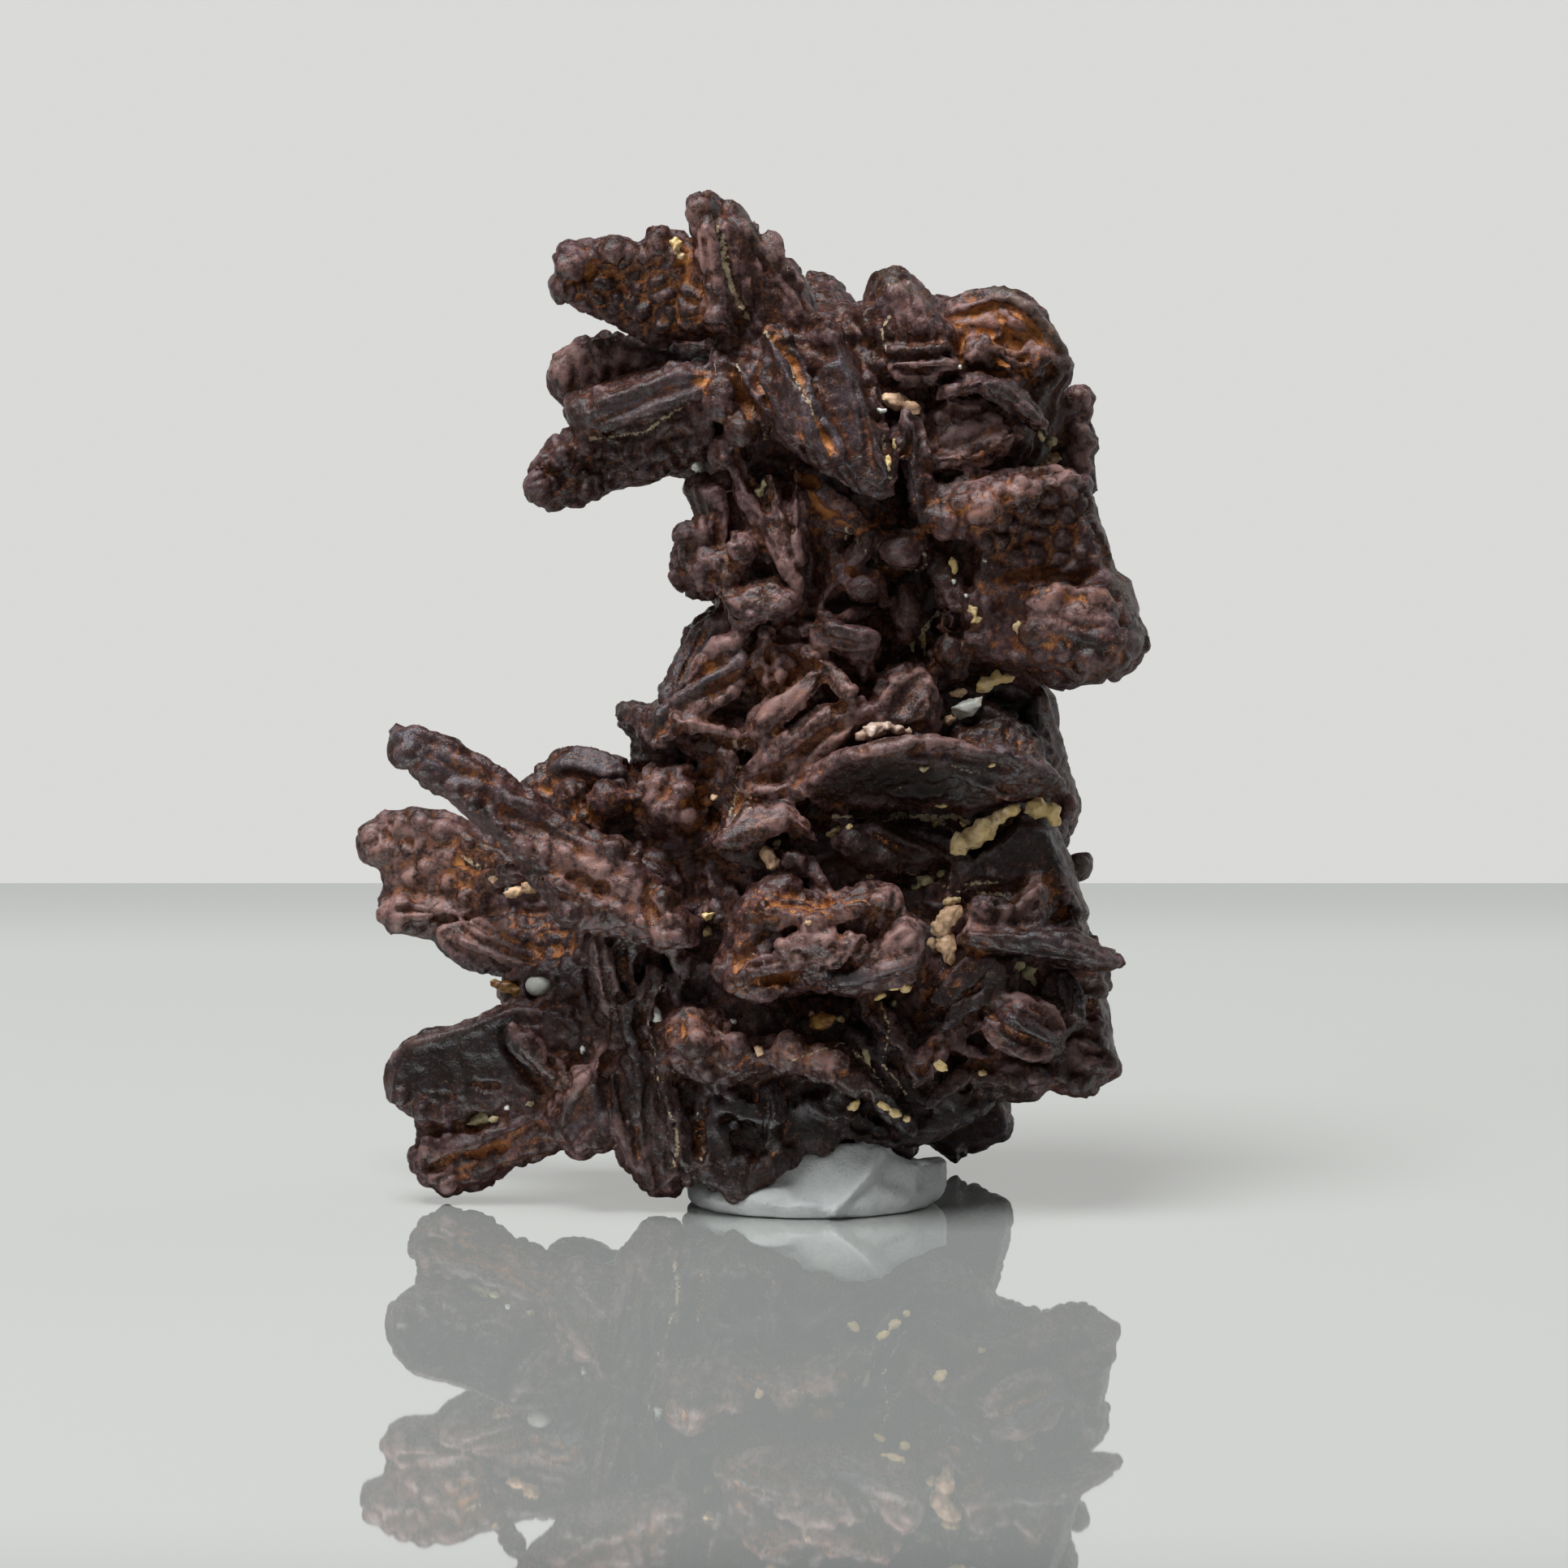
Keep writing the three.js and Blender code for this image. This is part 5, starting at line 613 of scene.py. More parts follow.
# Raised ridges, and creases where the height is below 0: height, width, path.
ridges = [
    (-1.2, 0.9, [(11.6, 30.9), (13.2, 30.4), (13.4, 29.2)]),
    # crest: its crack, ridges and stripes
    (-0.4, 0.3, [(-5.7, 59.8), (-5.1, 57.2), (-4.5, 55.4), (-3.5, 53.4)]),
    (0.25, 0.5, [(-6.3, 60.8), (-5.9, 58.6), (-5.6, 56.4), (-5.4, 54.6)]),
    (-0.25, 0.35, [(-4, 59.6), (-2.8, 57.2), (-1.6, 54.6)]),
    (0.2, 0.45, [(-3.4, 58.9), (-2, 56.8), (-0.6, 54.6)]),
    (-0.2, 0.35, [(-2.6, 57.8), (-1.2, 55.8), (0, 54.2)]),
    (-0.35, 0.4, [(-6.9, 59.4), (-6.5, 57.4), (-6.3, 55.6)]),
    # knuckle: rusty grooves between its ridges
    (-0.6, 0.5, [(-3.4, 51.6), (-3.3, 50), (-2.6, 48.4)]),
    (-0.6, 0.5, [(-2.2, 52.8), (-1, 51.4), (-0.1, 49.4), (0.6, 47.6), (1.4, 45.8)]),
    (-0.2, 0.4, [(-1.1, 47.3), (0, 45.6), (0.9, 44.8)]),
    (-0.3, 0.35, [(-4.8, 50.5), (-4.2, 49), (-3.7, 47.8)]),
    (-0.12, 0.3, [(1.8, 50.8), (2.4, 48.4), (2.9, 45.8)]),
    (-0.3, 0.35, [(2.6, 50.2), (3.2, 48), (3.6, 45.8)]),
    (-0.5, 0.6, [(-3.2, 45), (-1.2, 44.4), (0.6, 44.2)]),
    # peak: upright stripes and the slits between its steps
    (-0.3, 0.3, [(5.6, 55.6), (5.9, 53.8), (6.3, 52.4)]),
    (-0.2, 0.3, [(4.9, 55.6), (5.1, 54.2), (5.2, 52.6)]),
    (-0.6, 0.32, [(4.6, 51.6), (6.4, 51.7), (8.2, 51.8)]),
    (-0.6, 0.32, [(4.7, 50.85), (6.4, 50.9), (8.5, 51.05)]),
    (-0.9, 0.42, [(4.6, 50.15), (6.4, 50.15), (8.8, 50.25)]),
    (0.25, 0.35, [(4.6, 52.1), (6.4, 52.1), (8.4, 52.2)]),
    (0.25, 0.35, [(4.8, 51.25), (6.4, 51.3), (8.5, 51.4)]),
    (0.3, 0.35, [(4.8, 50.5), (6.4, 50.55), (8.6, 50.7)]),
    # upper right lobe: rim and hollow
    (0.35, 0.6, [(8.2, 55), (10, 55.5), (11.6, 55.7), (13.2, 54.9), (14.6, 53.4),
                 (15.5, 52), (15.9, 50.9)]),
    (-0.5, 0.6, [(8.6, 54.3), (10.2, 54.6), (12, 55), (13.4, 54.1), (14.4, 52.9)]),
    (-0.7, 0.6, [(11.9, 51.9), (12.7, 51.6), (13.4, 51.4)]),
    (0.4, 0.5, [(11.4, 51.1), (12.6, 50.4), (13.2, 50.3), (13.9, 51)]),
    (-0.6, 0.6, [(14.1, 50.6), (14.8, 51), (14.6, 50.2)]),
    (-0.5, 0.5, [(10.2, 50.7), (11, 50.6), (12, 50.6)]),
    # layered lens
    (0.3, 0.5, [(6.9, 49.1), (8.4, 49.7), (10.4, 50.2), (11.8, 49.9), (13, 48.6),
                (14, 47.8)]),
    (-0.45, 0.45, [(8.2, 48.5), (10, 48.4), (11.2, 48.7), (12.3, 47.9), (12.6, 46.8)]),
    (0.25, 0.4, [(8.4, 49), (10.2, 49), (11.4, 49.2), (12.7, 48), (13, 46.6),
                 (12.4, 45.6)]),
    (0.3, 0.5, [(8, 44.4), (10, 44.9), (11.6, 45.7), (12.3, 46.6)]),
    (-0.4, 0.4, [(7.2, 45), (8.8, 45.3), (10.4, 45.9), (11.6, 46.6)]),
    (-0.35, 0.4, [(8.8, 44.1), (10.8, 44.6), (12.4, 45.4)]),
    (0.2, 0.35, [(13.2, 47.6), (13.6, 46.2), (13.2, 45.2)]),
    (0.3, 0.35, [(6.4, 48.3), (6.9, 47.2), (6.9, 45.4)]),
    (-0.6, 0.5, [(3.9, 48), (4.8, 48.1), (5.6, 48.2)]),
    (-0.4, 0.35, [(4.5, 46.9), (4.7, 45.4), (5, 44)]),
    (-0.45, 0.35, [(5.9, 47.6), (6, 45), (6.3, 42.2)]),
    # broad plate: rim, ridge under the honeycomb, creases of the bulge
    (0.25, 0.5, [(13.2, 44.7), (15, 44.8), (16.4, 44.2), (17, 43.4)]),
    (0.2, 0.5, [(17.3, 41.9), (18, 40.2), (18.4, 38.8)]),
    (-0.35, 0.5, [(11.6, 38.2), (13.6, 38.2), (15.6, 38), (17.8, 38.4)]),
    (0.3, 0.6, [(10.6, 37.6), (12.6, 37.4), (14.6, 37.7), (16.2, 37.2), (18, 37.2)]),
    (-0.2, 0.4, [(14.6, 36.2), (15.6, 35.4), (17, 35), (18.2, 35.2)]),
    (-0.4, 0.5, [(18.9, 37), (19.2, 35.4), (19.2, 34.4)]),
    (-1, 0.9, [(7.5, 35.6), (8.3, 35.5), (9.2, 35.2)]),
    (-0.7, 0.35, [(7.2, 33), (7.3, 34.2), (7.9, 35), (8.7, 34.9), (9.3, 34.2)]),
    # waist
    (-0.5, 0.4, [(4.2, 38.6), (5.4, 38.4), (6.6, 39)]),
    (-0.5, 0.4, [(6.9, 41), (6.9, 39.4), (7, 37.4)]),
    (-0.5, 0.4, [(2, 38.6), (3.2, 38.5), (4.2, 38.4)]),
    (-0.5, 0.5, [(0.2, 41.4), (0.6, 39.6), (0.6, 37.8)]),
    (-0.5, 0.45, [(-4, 44.3), (-3.4, 43.4), (-2.6, 42.2)]),
    (-0.4, 0.35, [(-2.2, 42.6), (-1.9, 40.6), (-1.6, 39)]),
    (-0.45, 0.5, [(-6, 38.4), (-5.8, 37.2), (-5.6, 36.2)]),
    (0.2, 0.3, [(-8.8, 39.2), (-7.8, 38.8), (-7, 38.2)]),
    (-0.3, 0.3, [(-8.6, 38.6), (-7.6, 38.2), (-6.9, 37.5)]),
    (-0.6, 0.5, [(-3.4, 38.9), (-3.2, 38.4), (-2.6, 38.6)]),
    # stem: lines of the long facet, creases between the folds
    (-0.25, 0.3, [(-6.4, 35.4), (-7.4, 33.4), (-8.5, 31.2)]),
    (-0.25, 0.3, [(-7.2, 34.8), (-8.2, 32.8), (-9, 30.8)]),
    (-0.4, 0.4, [(-4, 34.4), (-3.8, 33), (-3.8, 31.4)]),
    (-0.4, 0.35, [(-2.6, 34), (-2.6, 32.4), (-2.4, 31)]),
    (-0.5, 0.45, [(-3.2, 30.4), (-1.6, 31.6), (0, 32.8)]),
    (-0.5, 0.45, [(-2.2, 28.6), (-0.2, 30.4), (0.8, 31.8)]),
    (-0.45, 0.4, [(1, 31.6), (1.2, 30.8), (2, 29.9)]),
    (-0.4, 0.4, [(2.7, 32), (2.9, 31), (3.2, 30.2)]),
    (-0.35, 0.3, [(-4, 28.4), (-4.4, 26.2), (-4.5, 24.7), (-4.7, 23.8), (-5.4, 22.3)]),
    (-0.5, 0.45, [(-8.4, 28.6), (-6.2, 28.2), (-4.2, 27.8)]),
    (-0.35, 0.4, [(-3.2, 26.2), (-2.4, 26.4), (-1.6, 26.4)]),
    (-0.35, 0.4, [(-0.8, 27.2), (0.8, 28.4), (2.2, 29.2)]),
    (-0.35, 0.4, [(2.6, 28.8), (2.8, 27.8), (3.4, 27.2)]),
    (-0.5, 0.4, [(-6.4, 27), (-6.6, 25.6), (-6.6, 24.2)]),
    # long blade: crest along it, pits beside it
    (0.3, 0.6, [(-18.6, 24.4), (-16.4, 23.8), (-14.6, 22.6), (-12.6, 21.8)]),
    (-0.3, 0.5, [(-19.6, 24), (-17.4, 22.9), (-15.2, 22), (-13.6, 20.8)]),
    (0.25, 0.45, [(-24.8, 28.9), (-22.4, 28), (-20.6, 27.1), (-18.4, 25.7)]),
    (-0.3, 0.4, [(-23.6, 27.2), (-21.6, 26.2), (-19.6, 25.4)]),
    (-0.35, 0.5, [(-16.6, 20), (-14.6, 19.6), (-12.6, 18.6)]),
    (-0.4, 0.5, [(-10, 19.2), (-10.4, 18.2), (-9.8, 17.4)]),
    # scalloped paddle: pits and the layers of its lower roll
    (-0.4, 0.3, [(-26.4, 23), (-25.8, 22.9)]),
    (-0.4, 0.3, [(-24.9, 21.9), (-24.7, 21.6)]),
    (-0.45, 0.35, [(-26.4, 22.5), (-26.2, 22)]),
    (-0.5, 0.45, [(-26, 17.5), (-24.8, 17.7), (-23.4, 17.4)]),
    (-0.35, 0.35, [(-23.4, 16.9), (-22.6, 17.2), (-21.8, 17)]),
    (-0.4, 0.35, [(-22, 16.6), (-20.4, 15.7), (-18.6, 14.9), (-16.8, 14.3)]),
    (0.25, 0.35, [(-21.9, 16), (-20, 15.2), (-18, 14.4)]),
    (-0.35, 0.35, [(-21.6, 17.4), (-19.8, 16.3), (-18, 15.5), (-16.6, 15.2)]),
    (-0.3, 0.3, [(-22.4, 15.6), (-20.8, 14.8), (-19, 14.2)]),
    (-0.5, 0.5, [(-20.8, 18.4), (-19.2, 18.9), (-17.6, 19.6)]),
    # lower paddle
    (-0.25, 0.3, [(-24, 6.2), (-22.8, 6.3), (-21.8, 5.9)]),
    (-0.35, 0.35, [(-21.2, 7), (-20.2, 6.7), (-19.2, 6.8)]),
    (-0.5, 0.45, [(-18.9, 9.4), (-17.6, 7.6), (-16.2, 6.4)]),
    (-0.4, 0.4, [(-16.2, 8.6), (-15.2, 7.6), (-14.8, 7)]),
    # foot blade
    (-0.5, 0.45, [(-23.6, 1.6), (-21.8, 2.5), (-20.4, 2.7), (-18.8, 3.2)]),
    (0.2, 0.4, [(-23, 2.4), (-21.2, 3.1), (-18.4, 4.3), (-16.8, 4.8)]),
    # ribs between the fans and at the foot
    (-0.5, 0.4, [(-13, 16), (-12.7, 14), (-12.4, 12.2)]),
    (-0.5, 0.4, [(-11.9, 15.6), (-11.6, 14), (-11.2, 12.4)]),
    (-0.6, 0.5, [(-12.6, 8.6), (-12.8, 6.6), (-12.4, 4.6)]),
    (-0.5, 0.4, [(-10.6, 11.8), (-10.6, 10.4), (-9.9, 8.6)]),
    (-0.45, 0.35, [(-10.8, 4.4), (-10.6, 2.2)]),
    (-0.45, 0.35, [(-8.6, 4.8), (-8.4, 3.2), (-8.5, 1.6)]),
    (-0.45, 0.35, [(-6.9, 4.4), (-6.8, 2)]),
    (-0.4, 0.35, [(-9.9, 7.6), (-9.4, 5.4), (-8.8, 3.6)]),
    (-0.7, 0.7, [(-5.6, 5), (-4.8, 4.2), (-4.6, 3)]),
    (-0.4, 0.3, [(-3, 6.6), (-2.6, 4.8)]),
    (-0.6, 0.6, [(-0.8, 6.4), (0.6, 6.6), (1.8, 6.2)]),
    (0.25, 0.35, [(-6, 6.7), (-5.2, 6.2), (-4.4, 6.4)]),
    # chunky blade: pits and the shadowed groove under its rim
    (-0.4, 0.6, [(-3.9, 15.1), (-3.1, 15.6), (-2.5, 16.2)]),
    (-0.5, 0.4, [(1.6, 13.6), (2.6, 14.8), (3.6, 16.2), (4, 17.4)]),
    (0.3, 0.4, [(1.5, 13.8), (2.8, 15.4), (3.9, 16.8), (4.4, 17.9), (4.8, 18.9)]),
    (-0.25, 0.4, [(-3.4, 18), (-2, 18.1), (0, 17.9), (1.4, 18.2)]),
    (-0.35, 0.35, [(1.8, 18.3), (3.2, 18.4), (4, 17.8), (4.2, 17.2)]),
    (-0.3, 0.35, [(-4.8, 14.2), (-3.2, 14.4), (-2, 14.6)]),
    (-0.35, 0.35, [(-4.6, 12.6), (-3, 13.1), (-1.4, 13.8)]),
    (0.25, 0.45, [(4, 14), (5.6, 14.3), (6.4, 14.8), (6.8, 15.8)]),
    # right side: lines along the big blade, the dark lens, the pointed blade
    (-0.3, 0.35, [(6, 27.2), (8.4, 27.1), (10.6, 26.6), (12.6, 26)]),
    (0.3, 0.45, [(9.8, 25.6), (11.2, 25.2), (12.2, 24.4)]),
    (0.3, 0.3, [(3.4, 23), (5.4, 22), (7.8, 20.9)]),
    (-0.4, 0.3, [(3.2, 22.6), (5, 21.6), (6.6, 20.8)]),
    (0.25, 0.4, [(13, 16.5), (14.4, 15.7), (16, 15.4), (18.4, 14.6)]),
    (-0.4, 0.35, [(9.4, 18.4), (10.8, 18.5), (11.8, 17.9), (11.4, 17)]),
    # layered lens at the lower right
    (-0.5, 0.38, [(10.7, 11.6), (11.8, 10.2), (13.6, 9.3), (15, 9)]),
    (0.25, 0.4, [(10.3, 11), (11.3, 9.6), (13.2, 8.8), (14.8, 8.5)]),
    (-0.4, 0.35, [(12.2, 11.6), (13.4, 11.2), (14.8, 10.6), (15.6, 10)]),
    (0.25, 0.4, [(12.2, 12.4), (13.6, 11.9), (15.2, 11.1), (15.9, 10.4)]),
    (-0.3, 0.3, [(12.6, 12.9), (14, 12.3), (15.4, 11.6)]),
    (-0.3, 0.3, [(14.6, 13.6), (15, 12.2), (15.2, 11.4)]),
    (-0.3, 0.3, [(15.7, 13.8), (15.9, 12.4), (15.9, 11.4)]),
    (-0.5, 0.5, [(8.6, 8.8), (10.2, 8), (11.6, 7.8)]),
    (-0.6, 0.5, [(16.6, 16.6), (16.4, 17.6), (14.8, 17)]),
    (-0.35, 0.3, [(14.9, 8.6), (15, 7.4), (14.9, 6.6)]),
    (-0.3, 0.3, [(16.2, 9.6), (17, 9), (18, 8.8)]),
    (-0.35, 0.35, [(7, 12.4), (8.4, 14), (9.6, 15.2)]),
    (-0.35, 0.35, [(7.2, 10.9), (9, 12.2), (10.6, 13)]),
    (-0.35, 0.35, [(6.6, 7.4), (7.8, 8.7), (8.2, 9.8)]),
]

# Edges of sheets, each standing proud on the left of its path: height, width, path.
edges = [
    # slab of the upper fan and the crest's foot
    (0.35, 0.9, [(-6.4, 50), (-8.6, 49.2), (-11.2, 48.2), (-13.6, 47.2)]),
    (0.3, 0.8, [(-1.8, 52.9), (0.4, 52.5), (2, 52.9)]),
    # arrow-shaped shelf, triangular shelf, ledge above it
    (0.5, 1, [(-5.2, 36.1), (-4.2, 35.1), (-2.4, 35.2), (-1, 35.8)]),
    (0.5, 1, [(-5.9, 21.6), (-4.2, 21.9), (-2.4, 22.5), (-1.1, 22.9)]),
    (0.35, 0.7, [(-4.2, 24.6), (-2.8, 24.2), (-1, 24.3)]),
    # long diagonal blade, spear, upper blade of the arrowhead
    (0.5, 0.9, [(-9.8, 28.4), (-9, 29.9), (-6.6, 31.4), (-3.9, 33.1)]),
    (0.35, 0.6, [(-8.2, 29.2), (-6.2, 28.8), (-4.2, 28.1)]),
    (0.35, 0.6, [(0.2, 34.1), (2.4, 33.7), (4.1, 34)]),
    (0.3, 0.6, [(3.2, 31.6), (4.2, 32.6), (4.7, 33.4)]),
    # block, big blade, its right facets
    (0.35, 0.7, [(7.9, 28.8), (7.6, 31.2), (6.9, 32.5)]),
    (0.45, 0.9, [(-0.9, 25.8), (1.4, 26.8), (4, 27.3), (6.2, 27.8), (8.6, 27.9)]),
    (0.35, 0.8, [(12.2, 27), (13.8, 26.2), (15.4, 25.6)]),
    # lower paddle's upper rim
    (0.4, 0.8, [(-26, 7.9), (-24.8, 9.1), (-23, 9.6), (-20.6, 10.3), (-18.2, 11.4)]),
    # chunky blade's lower rim
    (0.4, 0.9, [(0.4, 13.3), (2.4, 13.2), (4.2, 13.7), (6.2, 14.3)]),
    # pointed blade
    (0.4, 0.7, [(9, 15.7), (12, 15.3), (15.6, 14.7), (18.6, 14.2)]),
    # layered lens: outer sheet
    (0.35, 0.7, [(10.4, 10.4), (11.8, 9.1), (13.6, 8.7), (15.2, 8.9)]),
    # crystal at the lower left, dark crystal behind the long blade
    (0.3, 0.7, [(-15.6, 4.2), (-14.6, 6), (-13.4, 7.8)]),
    (0.3, 0.7, [(-15.9, 26.4), (-14.4, 26.2), (-12.2, 25.9)]),
]

